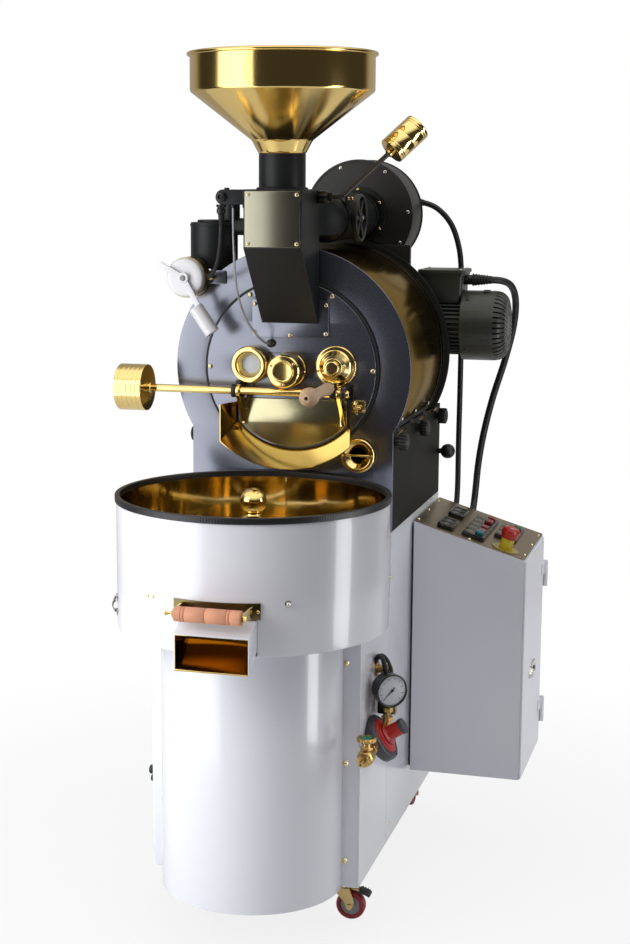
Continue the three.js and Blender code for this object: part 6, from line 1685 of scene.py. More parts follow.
def makeDamper(s):
    y, z, start = s["y"], s["z"], s["start"]
    rim = turned(softRing([(43.4, start), (50, start), (50, start + 13), (43.4, start + 13)], 3.2,
                          5), "x", (0, y, z), 144, closed=True)
    hub = turned(softened([(0, start), (12, start), (12, start + 11), (9, start + 13),
                           (0, start + 13)], 1.2), "x", (0, y, z), 48)
    spokes = []
    for turn in (0, 60, 120):
        bar = block((start + 3.4, y - 46, z - 4), (start + 9.6, y + 46, z + 4), 2, "x", 1.2)
        spokes.append(rolled(bar, "X", turn, (0, y, z)))
    pin = tubeBetween((-14, y, z), (start + 7, y, z), 4.9, 24)
    blade = roundBar(45, z - 1.5, z + 1.5, 0.5, "z", (40, y, 0), 96)
    makePiece("damperWheel", [rim, hub, *spokes], knobPlastic, ["damper"], body="duct_damper")
    makePiece("damperSpindle", [pin, blade], darkSteel, body="duct_damper")
    nut = roundBar(4.6, start + 12.6, start + 15.4, 0.5, "x", (0, y, z), 6)
    makePiece("damperNut", [nut], brightSteel, body="duct_damper")
    plateAt = block((84, 118, 1394), (87.5, 182, 1452), 8, "x", 0.7)
    quadrant = carved([plateAt], [tubeBetween((80, y, z), (92, y, z), 7)])
    collar = roundSleeve(6.2, 12, 84, 96, 0.8, "x", (0, y, z), 48)
    makePiece("damperQuadrant",
              [quadrant, collar, block((82, 130, 1390), (92, 138, 1405), 1, "z", 0.5)], boxPaint)
    makePiece("damperLock", [screw((87.5, 166, 1440), "x", 4, 3, 1),
                             screw((87.5, 132, 1440), "x", 4, 3, 1)], brass)


fanSettings = {"x": 40, "z": 1400, "radius": 125, "front": 425, "depth": 117, "eye": 47,
               "motor": 58}


def makeFan(s):
    x, z, r, y0 = s["x"], s["z"], s["radius"], s["front"]
    y1 = y0 + s["depth"]
    drumShape = roundBar(r - 2.2, y0 + 0.6, y1 - 0.6, 1.0, "y", (x, 0, z), 200)
    rims = [roundSleeve(r - 6, r, a, a + 3, 0.8, "y", (x, 0, z), 200)
            for a in (y0, y1 - 3)]
    outlet = block((x - r, y0 + 2, 1268), (x - r + 72, y1 - 2, z), 2, "z", 0.8)
    flange = block((x - r - 7, y0 - 5, 1268), (x - r + 79, y1 + 5, 1273), 2, "z", 0.8)
    hollow = roundCut(r - 5.2, y0 + 3, y1 - 3.4, "y", (x, 0, z), 160)
    mouth = block((x - r + 3, y0 + 5, 1240), (x - r + 69, y1 - 5, z), 1, "z", 0.1)
    eye = roundCut(s["eye"], y0 - 9, y0 + 9, "y", (x, 0, z), 96)
    bore = roundCut(8.8, y1 - 9, y1 + 40, "y", (x, 0, z), 24)
    case = carved([drumShape], [hollow, mouth, eye, bore])
    core = roundCut(r - 3, y0 + 1, y1 - 1, "y", (x, 0, z), 200)
    duct = carved([outlet], [mouth, core])
    lip = carved([flange], [mouth])
    foot = block((-53, 412.4, 1245), (163, 425.2, 1335), 3, "y", 1.0)
    gusset = [plate([[(425, 1250), (470, 1250), (425, 1292)]], gx, gx + 4, "x", bevel=0.5)
              for gx in (10, 120)]
    makePiece("fanCasing", [case, duct, *rims, lip, foot, *gusset], fanPaint, ["fan_housing"])
    heads = screwsAround(114, (x, y0, z), range(4, 360, 54), 4.4, 3.0)
    heads += [screw((px, 412.4, 1256), "y", 4.0, 2.8) for px in (-40, 150)]
    makePiece("fanCasingScrews", heads, brightSteel)


def makeFanMotor(s):
    x, z, m = s["x"], s["z"], s["motor"]
    y1 = s["front"] + s["depth"]
    end = y1 + 105
    bore = roundCut(8.8, y1 - 9, y1 + 40, "y", (x, 0, z), 24)
    motorCut = [(0, y1 - 0.4), (m - 1, y1 - 0.4), (m - 1, y1 + 8), (m - 8, y1 + 8),
                (m - 8, end - 26), (m, end - 26), (m, end - 8), (m - 12, end + 5.6), (0, end + 5.6)]
    body = turned(softened(motorCut, 2.2, 5), "y", (x, 0, z), 96)
    fins = []
    for i in range(24):
        fin = block((x + m - 10, y1 + 6, z - 1), (x + m - 0.4, end - 25, z + 1), 0.6, "x", 0.3)
        fins.append(rolled(fin, "Y", i * 15 + 7.5, (x, 0, z)))
    boxAt = block((69, y1 - 0.4, 1403), (121, 600, 1452), 4, "z", 1.4)
    boxLid = block((67.5, y1 + 0.4, 1451), (121.5, 601.5, 1458), 4, "z", 1.6)
    gland = turned(softened([(0, 121), (9.5, 121), (9.5, 129), (7.4, 131), (7.4, 140), (0, 140)],
                            0.7), "x", (0, 571, 1430), 8)
    makePiece("fanMotor", [carved([body], [bore]), *fins, boxAt, boxLid], motorPaint)
    grilles = [roundSleeve(a, a + 2.4, end + 4.6, end + 6.0, 0.3, "y", (x, 0, z), 64)
               for a in (10, 17, 24, 31, 38)]
    makePiece("fanMotorGrille", grilles, blackPlastic)
    makePiece("fanCableGland", [gland], blackPlastic)


# casting: casing, neck and foot, each as two corners, corner radius, axis and bevel
gearSettings = {
    "casting": [
        ((-58, 431, 1030), (58, 530, 1222), 10, "y", 3.0),
        ((-44, 440, 967.4), (44, 520, 1031), 5, "z", 2.0),
        ((-56, 436, 967.4), (56, 524, 975), 4, "z", 1.4),
    ],
    "bore": 15.5, "motorSeat": (0, 486, 1153), "ribPitch": 25,
    "boltX": 46, "boltZ": (1044, 1126, 1208),
}


def makeGearCase(s):
    # bevelled casting with ribs and cover screws
    body = [block(*measures) for measures in s["casting"]]
    boss = roundBar(48, 425, 431.5, 1.0, "y", drumAxis, 96)
    cover = turned(softened([(0, 529.6), (40, 529.6), (40, 535), (34, 537), (0, 537)], 1.2), "y",
                   drumAxis, 64)
    seatRing = roundBar(66, 57.4, 64, 1.0, "x", s["motorSeat"], 96)
    bore = roundCut(s["bore"], 400, 528.4, "y", drumAxis, 32)
    ribs = [block((x - 2, 529, 1040), (x + 2, 534, 1066), 1.5, "y", 0.8)
            for x in range(-50, 51, s["ribPitch"])]
    case = [carved([b], [bore]) if i == 0 else b for i, b in enumerate(body)]
    makePiece("gearCase", [*case, carved([boss], [bore]), cover, seatRing, *ribs], motorPaint,
              ["gearbox"])
    bolts = [screw((side * s["boltX"], 530, z), "y", 5, 3.6, 1) for side in (-1, 1)
             for z in s["boltZ"]]
    bolts += screwsAround(30, (0, 536, drumZ), range(45, 360, 90), 3.2, 2.4, 1)
    plug = roundBar(7, 1222, 1230, 1.0, "z", (-30, 470, 0), 6)
    makePiece("gearCaseBolts", bolts + [plug], brightSteel)


motorSettings = {
    "motorY": 486, "motorZ": 1153, "glandZ": 1256, "start": 64.4, "end": 279, "fins": 40,
    "finGap": 36,
    "cowlSlots": ((62, 40), (46, 30), (30, 20)),
}


def makeMotor(s):
    # finned frame, slotted cowl and terminal box
    y, z, start, end = s["motorY"], s["motorZ"], s["start"], s["end"]
    profile = [(0, start), (66, start), (66, start + 12), (59.4, start + 14), (59.4, end + 1),
               (0, end + 1)]
    frameShape = turned(softened(profile, 1.4), "x", (0, y, z), 128)
    fins = []
    step = 360 / s["fins"]
    for i in range(s["fins"]):
        fin = block((start + 22, y - 1.1, z + 57), (end + 0.6, y + 1.1, z + 67.8), 0.8, "x", 0.5)
        if abs(((i * step + 180) % 360) - 180) > s["finGap"]:
            fins.append(rolled(fin, "X", i * step, (0, y, z)))
    feet = [block((start + 40 + k * 90, y - 50, z - 69), (start + 66 + k * 90, y + 50, z - 56), 3,
                  "z", 1.4) for k in (0, 1)]
    cowl = turned(softened([(0, end - 1), (77.4, end - 1), (79, end + 2), (79, 350), (76, 364),
                            (66, 374.5), (54, 378), (0, 378)], 6.0, 6), "x", (0, y, z), 160)
    lips = roundSleeve(77, 79, end - 2, end + 5, 0.7, "x", (0, y, z), 160)
    slots = []
    for ring, count in s["cowlSlots"]:
        for i in range(count):
            cutter = block((372, y - 1.9, z + ring - 6), (384, y + 1.9, z + ring + 6), 1.6, "x",
                           0.1)
            slots.append(rolled(cutter, "X", i * 360 / count, (0, y, z)))
    edge = [rolled(block((352, y - 2, z + 66), (374, y + 2, z + 84), 1, "x", 0.1), "X", i * 9,
                   (0, y, z)) for i in range(40)]
    makePiece("motorFrame", [frameShape, *fins, *feet], motorPaint, ["drive_motor"])
    makePiece("motorCowl", [carved([cowl], [joined(slots), joined(edge)]), lips], motorPaint)
    makePiece("motorCowlScrews",
              [rolled(domeScrew((292, y, z + 79), (0, 0, 1), 3.6, 2.2), "X", a, (0, y, z))
               for a in (40, 130, 220, 310)], darkSteel)
    makePiece("motorBoss",
              [rolled(block((322, y - 7, z + 74), (338, y + 7, z + 83), 3, "z", 1.6), "X", 14,
                      (0, y, z))], motorPaint)
    box = turnedBox((182, 440, 1204), (277, 532, 1272), 0.86)
    lid = block((176, 434, 1271), (283, 538, 1280), 7, "z", 2.4)
    rim = block((179, 437, 1266), (280, 535, 1272), 6, "z", 1.0)
    makePiece("motorTerminalBox", [box, rim, lid], motorPaint)
    makePiece("terminalBoxScrews",
              [domeScrew((px, py, 1280), (0, 0, 1), 3.4, 2.0) for px in (186, 273)
               for py in (444, 528)], brightSteel)
    gland = [roundBar(13, 276, 284, 0.9, "x", (0, y, s["glandZ"]), 6),
             turned(softRing([(8.2, 283), (11.4, 283), (11.4, 290), (10, 293.4), (8.2, 293.4)],
                             0.6), "x", (0, y, s["glandZ"]), 32, closed=True)]
    makePiece("motorCableGland", gland, blackPlastic)


def turnedBox(low, high, taper):
    # box whose foot is drawn in: each level's outline is one rounded rectangle, scaled
    x0, y0, z0 = low
    x1, y1, z1 = high
    middle = np.array([(x0 + x1) / 2, (y0 + y1) / 2])
    ring = roundedRectangle(x0 - middle[0], x1 - middle[0], y0 - middle[1], y1 - middle[1], 7, 5)
    rows = []
    for z, scale in ((z0, taper * 0.98), (z0 + 1.2, taper), (z0 + (z1 - z0) * 0.35, 0.97),
                     (z1 - 1, 1.0), (z1, 1.0)):
        rows.append(np.column_stack([ring * scale + middle, np.full(len(ring), z)]))
    return np.vstack(rows), gridFaces(len(rows), len(ring)) + endFaces(len(rows), len(ring))


lampHeadSettings = {"x": -218, "z": 1279, "canopy": 41, "pivotY": -48, "up": (55, 151),
                    "down": (73, -60), "head": -55, "radius": 15.5, "length": 58}


def makeLampHead(s):
    x, z = s["x"], s["z"]
    bell = turned(softened([(0, 6.6), (s["canopy"], 6.6), (s["canopy"], -32), (38.5, -39),
                            (30, -41), (0, -41.5)], 4, 6), "y", (x, 0, z), 96)
    ring = roundSleeve(s["canopy"] - 0.6, s["canopy"] + 1.2, -27, 6.4, 0.6, "y", (x, 0, z), 96)
    strap = block((x - 14, 6.7, z - 14), (-142, 9.7, z + 14), 4, "y", 0.7)
    pin = turned(softened([(0, -54), (4.4, -54), (5.6, -53), (5.6, -51), (4.2, -50.4), (4.2, -41),
                           (0, -41)], 0.5), "y", (x, 0, z), 32)
    makePiece("lampCanopy", [bell], lampWhite, ["lamp_base"])
    makePiece("lampStrap", [strap], darkPaint)
    makePiece("lampRing", [ring], lampBrass)
    makePiece("lampPivot", [pin], hubGrey)
    ball = turned(arcPoints(6.5, -90, 90, 16), (0, 1, 0), (x + s["canopy"] + 5, -4, z), 32)
    makePiece("lampBall", [ball], brass)
    parts = []
    y = s["pivotY"]
    for length, turn in (s["up"], s["down"]):
        outline = np.vstack([arcPoints(6, -90, 90, 10, (length, 0)), arcPoints(6, 90, 270, 10)])
        bar = plate([outline], y - 2, y + 2, "y", bevel=0.6)
        parts.append(shifted(rolled(bar, "Y", -turn), (x, 0, z)))
    hub = roundSleeve(5.4, 11.5, y - 3, y + 2, 0.8, "y", (x, 0, z), 48)
    a = math.radians(s["down"][1])
    joint = np.array([x + s["down"][0] * math.cos(a), y - s["radius"] - 1.8,
                      z + s["down"][0] * math.sin(a)])
    b = math.radians(s["head"])
    way = np.array([math.cos(b), 0, math.sin(b)])
    r, long = s["radius"], s["length"]
    cup = turned(softened([(0, -6), (r, -6), (r, long), (r - 2, long), (r - 2, 16), (0, 16)], 1.6,
                          4), way, joint, 96)
    neck = tubeBetween(joint + (0, 6, 0), joint + (0, r + 3.6, 0), 5, 24)
    makePiece("lampArmBars", [*parts, hub, neck], lampWhite, ["lamp_arm"], body="lamp_head")
    makePiece("lampShade", [cup], lampWhite, body="lamp_head")
    lens = turned(softened([(0, 50), (r - 2.1, 50), (r - 2.1, 53), (0, 54)], 0.6), way, joint, 64)
    makePiece("lampLens", [lens], paneGlass, body="lamp_head")


makeDuct(ductSettings)
makeAirCan(canSettings)
makeDamper(damperSettings)
makeFan(fanSettings)
makeFanMotor(fanSettings)
makeGearCase(gearSettings)
makeMotor(motorSettings)
makeLampHead(lampHeadSettings)
print("stage: duct, fan, drive and lamp made")


cabinetSettings = {
    "left": 221.6, "right": 465, "front": 216, "rear": 520, "low": 175, "high": 744, "lowTop": 669,
    "sheet": 3, "baseSide": 217.3,
    "hinge": (473, 518), "hinges": (232, 559), "knuckle": 40, "leaf": (60, 34), "lock": (322, 393),
}


def makeCabinet(s):
    x0, x1, y0, y1 = s["left"], s["right"], s["front"], s["rear"]
    fall = (s["high"] - s["lowTop"]) / (x1 - s["baseSide"])
    top0 = s["high"] - (x0 - s["baseSide"]) * fall
    shell = plate([[(x0, s["low"]), (x1, s["low"]), (x1, s["lowTop"]), (x0, top0)]], y0, y1, "y",
                  bevel=1.8, rounding=3)
    t = s["sheet"]
    hollow = plate([[(x0 + t, s["low"] + t), (x1 + 9, s["low"] + t),
                     (x1 + 9, s["lowTop"] - t - 9 * fall), (x0 + t, top0 - t)]], y0 + t, y1 - t,
                   "y", bevel=0.1)
    makePiece("cabinetCase", [carved([shell], [hollow])], cabinetPaint, ["control_cabinet"])
    spacer = plate([[(217.2, s["low"] + 8), (x0 + 0.4, s["low"] + 8), (x0 + 0.4, top0 - 9),
                     (217.2, top0 - 8)]], y0 + 8, y1 - 8, "y", bevel=0.4)
    makePiece("cabinetSpacer", [spacer], blackPlastic)
    leaf = block((x1 + 0.3, y0, s["low"] + 2), (x1 + 4.3, 509, s["lowTop"] - 2), 3, "x", 1.2)
    a, b = x1 + 3.7, x1 + 5.2
    lines = [block((a, y0 + 9, z), (b, 500, z + 1.1), 0.3, "z", 0.05)
             for z in (s["low"] + 12, s["lowTop"] - 13)]
    lines += [block((a, y, s["low"] + 12), (b, y + 1.1, s["lowTop"] - 12), 0.3, "z", 0.05)
              for y in (y0 + 9, 499)]
    makePiece("cabinetDoorLeaf", [carved([leaf], lines)], cabinetPaint, ["cabinet_door"],
              body="service_door")


def makeHinges(s):
    # the lower half of each knuckle is fixed to the cabinet, the upper half to the door
    x1 = s["right"]
    hx, hy = s["hinge"]
    tall, wide = s["leaf"]
    fixed, moving, pins = [], [], []
    for z in s["hinges"]:
        middle = z + s["knuckle"] / 2
        half = tall / 2
        fixed += [roundSleeve(2.6, 5.9, middle - half, middle - 0.3, 0.6, "z", (hx, hy, 0), 32),
                  block((hx - 9, hy - 1.6, middle - half), (hx - 3, hy + 1.9, middle - 0.3), 1, "z",
                        0.5), block((x1 - 1.5, 513.5, middle - half), (hx - 4, 519.9, middle - 0.3),
                                    1, "z", 0.5)]
        moving += [roundSleeve(3.4, 5.9, middle + 0.3, middle + half, 0.6, "z", (hx, hy, 0), 32),
                   block((x1 + 4.2, hy - 7 - wide, middle - half + 31),
                         (x1 + 6.4, hy - 5, middle + half), 1.2, "x", 0.5),
                   block((x1 + 4.2, hy - 9, middle + 0.3), (hx - 1, hy - 2, middle + half), 0.8,
                         "z", 0.4)]
        pins.append(tubeBetween((hx, hy, middle - half - 1), (hx, hy, middle + half + 1), 2.5, 20))
        moving += [screw((x1 + 6.4, hy - 7 - wide * 0.6, middle + dz), "x", 2.6, 1.8, 1)
                   for dz in (8, 23)]
    makePiece("hingeLeavesFixed", fixed + pins, cabinetPaint)
    makePiece("hingeLeavesDoor", moving, cabinetPaint, body="service_door")


def makeLock(s):
    y, z = s["lock"]
    face = s["right"] + 4.3
    barrel = turned(softened([(0, face - 0.5), (14, face - 0.5), (14, face + 2), (11, face + 5),
                              (10, face + 9), (0, face + 9.4)], 1.2), "x", (0, y, z), 48)
    slot = block((face + 6, y - 1, z - 5), (face + 12, y + 1, z + 5), 0.5, "x", 0.1)
    rose = block((face - 0.2, y + 20, z - 17), (face + 3.4, y + 62, z + 17), 3, "x", 1.0)
    grip = block((face + 3, y + 30, z - 5), (face + 6.6, y + 46, z + 5), 2, "x", 0.8)
    makePiece("doorLock", [carved([barrel], [slot]), rose], brightSteel, body="service_door")
    makePiece("doorLatchGrip", [grip], blackPlastic, body="service_door")


panelSettings = {
    "origin": (217.3, 0, 744), "slope": 16.846, "length": 258.8, "y": (219, 517), "top": 2.3,
    "controllers": ((51, 243), (51, 374)), "controller": (37, 78, 9),
    "blocks": ((108, 247, 5), (169, 331, 3)),
    "block": (52, 42, 8), "stop": (208, 254), "cap": (17, 25), "caps": {
        "teal_button": ("cap_teal", "tealCap", 143.4, 268),
        "red_button_front": ("cap_red_front", "redCapFront", 143.4, 394),
        "red_button_rear": ("cap_red_rear", "redCapRear", 143.4, 436)},
    "lamps": ((143.4, 310), (143.4, 352), (204.4, 352), (204.4, 394)),
    "screws": ((9, 245), (9, 360), (9, 476), (130, 228), (130, 508), (252, 263), (252, 375),
               (252, 484)),
}


def onPanel(shape):
    # panel places, down the slope, along Y and off the sheet, to the machine's
    s = panelSettings
    return shifted(rolled(shape, "Y", s["slope"]), s["origin"])


def makePanel(s):
    top = s["top"]
    y0, y1 = s["y"]
    sheet = plate([roundedRectangle(3.4, s["length"] - 0.4, y0, y1, 3)], 0.4, top, "z", bevel=0.5)
    makePiece("panelSheet", [onPanel(sheet)], panelSteel, ["control_panel"])
    heads = [onPanel(domeScrew((u, y, top), (0, 0, 1), 3.8, 2.8)) for u, y in s["screws"]]
    makePiece("panelScrews", heads, screwBrass)


def makeControllers(s):
    # two cases, each with two sunk windows and four keys
    top = s["top"]
    wide, deep, tall = s["controller"]
    cases, windows, keys = [], [], []
    for u, y in s["controllers"]:
        case = plate([roundedRectangle(u, u + wide, y, y + deep, 6)], top - 0.2, top + tall, "z",
                     bevel=3.0, rounding=4)
        hollows = [block((u + 5, y + a, top + tall - 1.4), (u + wide - 6, y + b, top + tall + 3),
                         1.5, "z", 0.2) for a, b in ((9, 33), (40, 66))]
        cases.append(onPanel(carved([case], hollows)))
        windows += [onPanel(block((u + 5.4, y + a, top + tall - 2),
                                  (u + wide - 6.4, y + b, top + tall - 0.9), 1.2, "z", 0.2))
                    for a, b in ((9.4, 32.6), (40.4, 65.6))]
        keys += [onPanel(block((u + 8 + i * 6, y + 68.4, top + tall - 0.6),
                               (u + 12 + i * 6, y + 71.6, top + tall + 0.5), 0.8, "z", 0.3))
                 for i in range(4)]
    makePiece("controllerCases", cases, glossBlack)
    makePiece("controllerWindows", windows, windowGrey)
    makePiece("controllerKeys", keys, greyPlastic)


def makeSwitches(s):
    # two blocks of cells over a tray; a well in each cell takes a cap, a lens or the green key
    top = s["top"]
    wide, pitch, tall = s["block"]
    bodies, strips, lamps = [], [], []
    for u, y, rows in s["blocks"]:
        wells = [block((u + wide * 0.68 - 8.9, y + (i + 0.5) * pitch - 12.9, top + 0.5),
                       (u + wide * 0.68 + 8.9, y + (i + 0.5) * pitch + 12.9, top + tall + 3), 1,
                       "z", 0.1) for i in range(rows)]
        tray = block((u, y, top - 0.2), (u + wide, y + rows * pitch, top + tall * 0.55), 2, "z",
                     0.8)
        bodies.append(onPanel(carved([tray], wells)))
        for i in range(rows):
            low = y + i * pitch
            cell = block((u + 0.8, low + 1.2, top + 2),
                         (u + wide - 0.8, low + pitch - 1.2, top + tall), 2.5, "z", 1.2)
            bodies.append(onPanel(carved([cell], [wells[i]])))
            strips.append(onPanel(block((u + 3, low + 13, top + tall - 0.4),
                                        (u + 21, low + pitch - 13, top + tall + 0.5), 0.8, "z",
                                        0.25)))
    makePiece("switchBlocks", bodies, glossBlack)
    makePiece("switchLabels", strips, labelSilver)
    for u, y in s["lamps"]:
        lens = block((u - 8, y - 12, top + tall - 3.2), (u + 8, y + 12, top + tall + 2.6), 3, "z",
                     1.8)
        lamps.append(onPanel(lens))
    makePiece("indicatorLenses", lamps[:2], redLens)
    makePiece("indicatorLensesDark", lamps[2:], glossBlack)
    half, deep = s["cap"][0] / 2, s["cap"][1] / 2
    finishes = {"cap_teal": tealPlastic, "cap_red_front": redLens, "cap_red_rear": redLens}
    for body, (node, name, u, y) in s["caps"].items():
        cap = block((u - half, y - deep, top + tall - 0.9), (u + half, y + deep, top + tall + 8), 3,
                    "z", 2.2)
        dish = roundBar(6, 0, 3, 1.0, "z", (u, y, top + tall + 7.4), 32)
        makePiece(name, [onPanel(carved([cap], [dish]))], finishes[node], [node], body=body)
    u, y = 204.4, 436
    bezel = roundSleeve(8.3, 11.5, top + tall - 0.6, top + tall + 1.8, 0.6, "z", (u, y, 0), 48)
    makePiece("greenBezel", [onPanel(bezel)], glossBlack)
    dome = [(0, top + tall - 0.9), (8, top + tall - 0.9),
            (8, top + tall + 3.4)] + arcPoints(8, 4, 89.5, 12, (0, top + tall + 3)).tolist()
    makePiece("greenCap",
              [onPanel(turned(np.minimum(dome, (99, top + tall + 8)), "z", (u, y, 0), 48))],
              greenPlastic, ["cap_green"], body="green_button")


def makeStop(s):
    # yellow disc and ribbed collar, with the red head above them
    top = s["top"]
    u, y = s["stop"]
    disc = roundSleeve(14.2, 30, top, top + 1.8, 0.7, "z", (u, y, 0), 96)
    makePiece("stopWarningDisc", [onPanel(disc)], yellowDisc)
    collar = turned(softRing([(7.4, top), (14, top), (14, top + 31.7), (11, top + 31.7),
                              (11, top + 30), (7.4, top + 30)], 1.0), "z", (u, y, 0), 64,
                    closed=True)
    ribs = [rolled(block((u + 13.4, y - 0.8, top + 4), (u + 14.6, y + 0.8, top + 19), 0.5, "z",
                         0.2), "Z", i * 15, (u, y, 0)) for i in range(24)]
    makePiece("stopCollar", [onPanel(collar)] + [onPanel(r) for r in ribs], yellowPlastic)
    base = top + 32 + 5.4
    mushroom = turned(softened([(0, base - 19), (7, base - 19), (7, base), (15.2, base),
                                (15.2, base - 12), (16.4, base - 12), (20, base + 2.4),
                                (20, base + 6.5), (17, base + 11), (9, base + 13.6),
                                (0, base + 14)], 1.6, 4), "z", (u, y, 0), 96)
    makePiece("stopMushroom", [onPanel(mushroom)], redPlastic, ["emergency_stop"],
              body="stop_button")
    arrows = []
    for k in range(3):
        arc = partTurned(softRing([(10.6, base + 13.0), (12.6, base + 12.4), (12.6, base + 13.4),
                                   (10.6, base + 13.9)], 0.2, 1), 20 + k * 120, 85 + k * 120, 12,
                         "z", (u, y, 0))
        arrows.append(onPanel(arc))
    makePiece("stopArrows", arrows, whitePlastic, body="stop_button")


gasSettings = {"x": 240, "z": 374, "pipe": 9, "nozzle": -350, "valve": -300, "regulator": -178,
               "tilt": 33, "feed": (-116, 500), "burner": (150, 90, 800), "gauge": (249, -165, 476),
               "gaugeTurn": 40, "wheelZ": 405}


def hexNut(size, low, high, axis, centre):
    return roundBar(size, low, high, 1.2, axis, centre, 6)


def makeGasPipes(s):
    x, z, r = s["x"], s["z"], s["pipe"]
    feedY, feedZ = s["feed"]
    turnX, burnerY, burnerZ = s["burner"]

    def hexed(low, high, size, axis="y", centre=(x, 0, z)):
        return hexNut(size, low, high, axis, centre)
    run = [tubeBetween((x, s["nozzle"] + 24, z), (x, feedY + 4, z), r - 0.3, 32)]
    nozzle = carved([turned(softened([(0, s["nozzle"]), (3.4, s["nozzle"]), (6, s["nozzle"] + 12),
                                      (6, s["nozzle"] + 27), (0, s["nozzle"] + 27)], 0.8), "y",
                            (x, 0, z), 32)],
                    [tubeBetween((x, s["nozzle"] - 4, z), (x, s["nozzle"] + 20, z), 1.9, 16)])
    run += [nozzle, hexed(-329, -318, 13.5), hexed(-284, -276, 14), hexed(-262, -252, 12.5),
            hexed(-142, -132, 13)]
    body = turned(softened([(0, -318), (12, -318), (16.5, -311), (17, -300), (16.5, -289),
                            (12, -283), (0, -283)], 3, 5), "y", (x, 0, z), 64)
    stem = [turned(softened([(0, z), (10.5, z + 6), (10.5, z + 20), (8, z + 23), (8, z + 29),
                             (0, z + 29)], 1.0), "z", (x, s["valve"], 0), 32),
            hexed(z + 14, z + 20, 12.5, "z", (x, s["valve"], 0)),
            tubeBetween((x, s["valve"], z + 20), (x, s["valve"], z + 37.5), 3.9, 20)]
    rise = [tubeBetween((x, feedY, z - 5), (x, feedY, feedZ + 4), r - 0.4, 32),
            hexed(392, 402, 13, "z", (x, feedY, 0)), hexed(462, 472, 12.5, "z", (x, feedY, 0)),
            turned(arcPoints(r + 2.4, -90, 90, 14), (0, 0, 1), (x, feedY, z), 32),
            turned(arcPoints(r + 2.2, -90, 90, 14), (0, 0, 1), (x, feedY, feedZ), 32)]
    inner = [tubeBetween((turnX, feedY, feedZ), (x, feedY, feedZ), r - 0.4, 32),
             tubeBetween((turnX, feedY, feedZ), (turnX, burnerY, feedZ), r - 0.4, 24),
             tubeBetween((turnX, burnerY, feedZ), (turnX, burnerY, burnerZ), r - 0.4, 24),
             tubeBetween((-70, burnerY, burnerZ), (turnX, burnerY, burnerZ), r - 0.4, 24)]
    inner += [tubeBetween((bx, 60, burnerZ), (bx, 380, burnerZ), 11, 24) for bx in (-70, 70)]
    rose = turned(softRing([(9.4, 217.3), (17, 217.3), (16, 220.8), (9.4, 221)], 0.6), "x",
                  (0, feedY, feedZ), 48, closed=True)
    makePiece("gasPipes", run + [body] + stem + rise + inner + [rose], gasBrass, ["gas_pipework"])


def makeSolenoid(s):
    # coil with its plug, two short conduits to the wall and a yoke
    x, feedY = s["x"], s["feed"][0]
    coil = block((x - 17, feedY - 17, 410), (x + 17, feedY + 17, 452), 5, "z", 2.2)
    capPiece = turned(softened([(0, 451), (8, 451), (8, 457), (5, 459), (0, 459)], 0.8), "z",
                      (x, feedY, 0), 32)
    plug = block((x - 9, feedY - 31, 420), (x + 9, feedY - 16, 444), 3, "z", 1.4)
    makePiece("solenoidCoil", [coil, capPiece, plug], blackPlastic)
    conduit = smoothPath([(x + 2, feedY - 24, 443), (x + 4, feedY - 27, 470),
                          (x + 2, feedY - 33, 508), (x - 4, feedY - 30, 530),
                          (x - 14, feedY - 22, 532), (x - 23.2, feedY - 14, 518)], 60)
    wave = 5.0 + 0.55 * np.sign(np.sin(np.linspace(0, 34 * 2 * math.pi, 60)))
    second = smoothPath([(x + 5, feedY - 18, 443), (x + 14, feedY - 20, 468),
                         (x + 12, feedY - 16, 500), (x + 2, feedY - 8, 520),
                         (x - 12, feedY + 4, 528), (x - 23.2, feedY + 14, 520)], 60)
    makePiece("solenoidConduits", [swept(conduit, wave, 16), swept(second, 3.4, 16)], blackRubber)
    yoke = [block((x - 19, feedY - 8, 408), (x - 16.6, feedY + 8, 456), 1, "x", 0.4),
            block((x + 16.6, feedY - 8, 408), (x + 19, feedY + 8, 456), 1, "x", 0.4)]
    makePiece("solenoidYoke", yoke, zinc)


def makeGauge(s):
    # made about its own axis, which looks to the front, then turned to the side and moved
    x, z, feedY = s["x"], s["z"], s["feed"][0]
    gx, gy, gz = s["gauge"]

    def onGauge(shape):
        return shifted(rolled(shape, "Z", s["gaugeTurn"]), s["gauge"])
    case = turned(softRing([(0.01, 13), (27, 13), (33, 2), (33, -21), (34, -22), (34, -26),
                            (31, -26.4), (30, -22.4), (0.01, -22.4)], 1.0), "y", (0, 0, 0), 96,
                  closed=True)
    makePiece("gaugeCase", [onGauge(case)], glossBlack)
    dial = roundBar(30.2, -22.2, -23, 0.2, "y", (0, 0, 0), 96)
    makePiece("gaugeDial", [onGauge(dial)], dialWhite)
    marks = []
    for i in range(28):
        a = math.radians(225 - i * 10)
        long, half = (5.5, 0.45) if i % 3 == 0 else (3.0, 0.25)
        mark = block((27.5 - long, -23.35, -half), (27.5, -22.9, half), 0.2, "y", 0.05)
        marks.append(onGauge(rolled(mark, "Y", -math.degrees(a))))
    needle = plate([[(-8, -1.2), (0, -1.4), (22, -0.35), (22, 0.35), (0, 1.4), (-8, 1.2)]], -24.6,
                   -23.9, "y", bevel=0.15)
    marks += [onGauge(rolled(needle, "Y", -222)),
              onGauge(roundBar(2.6, -25.4, -23, 0.4, "y", (0, 0, 0), 24))]
    makePiece("gaugeMarks", marks, glossBlack)
    foot = [tubeBetween((x + 1.5, -160, gz), (x + 1.5, feedY, gz), 4.6, 24),
            hexNut(8, -150, -140, "y", (x + 1.5, 0, gz)),
            tubeBetween((gx + 7, gy - 6, 446), (gx + 5, gy - 6, 420), 5.5, 24),
            hexNut(9.5, 428, 438, "z", (gx + 5, gy - 6, 0)),
            tubeBetween((gx + 4, gy - 6, 424), (x + 2, gy - 10, z + 4), 5.0, 24)]
    makePiece("gaugeFittings", foot, gasBrass)


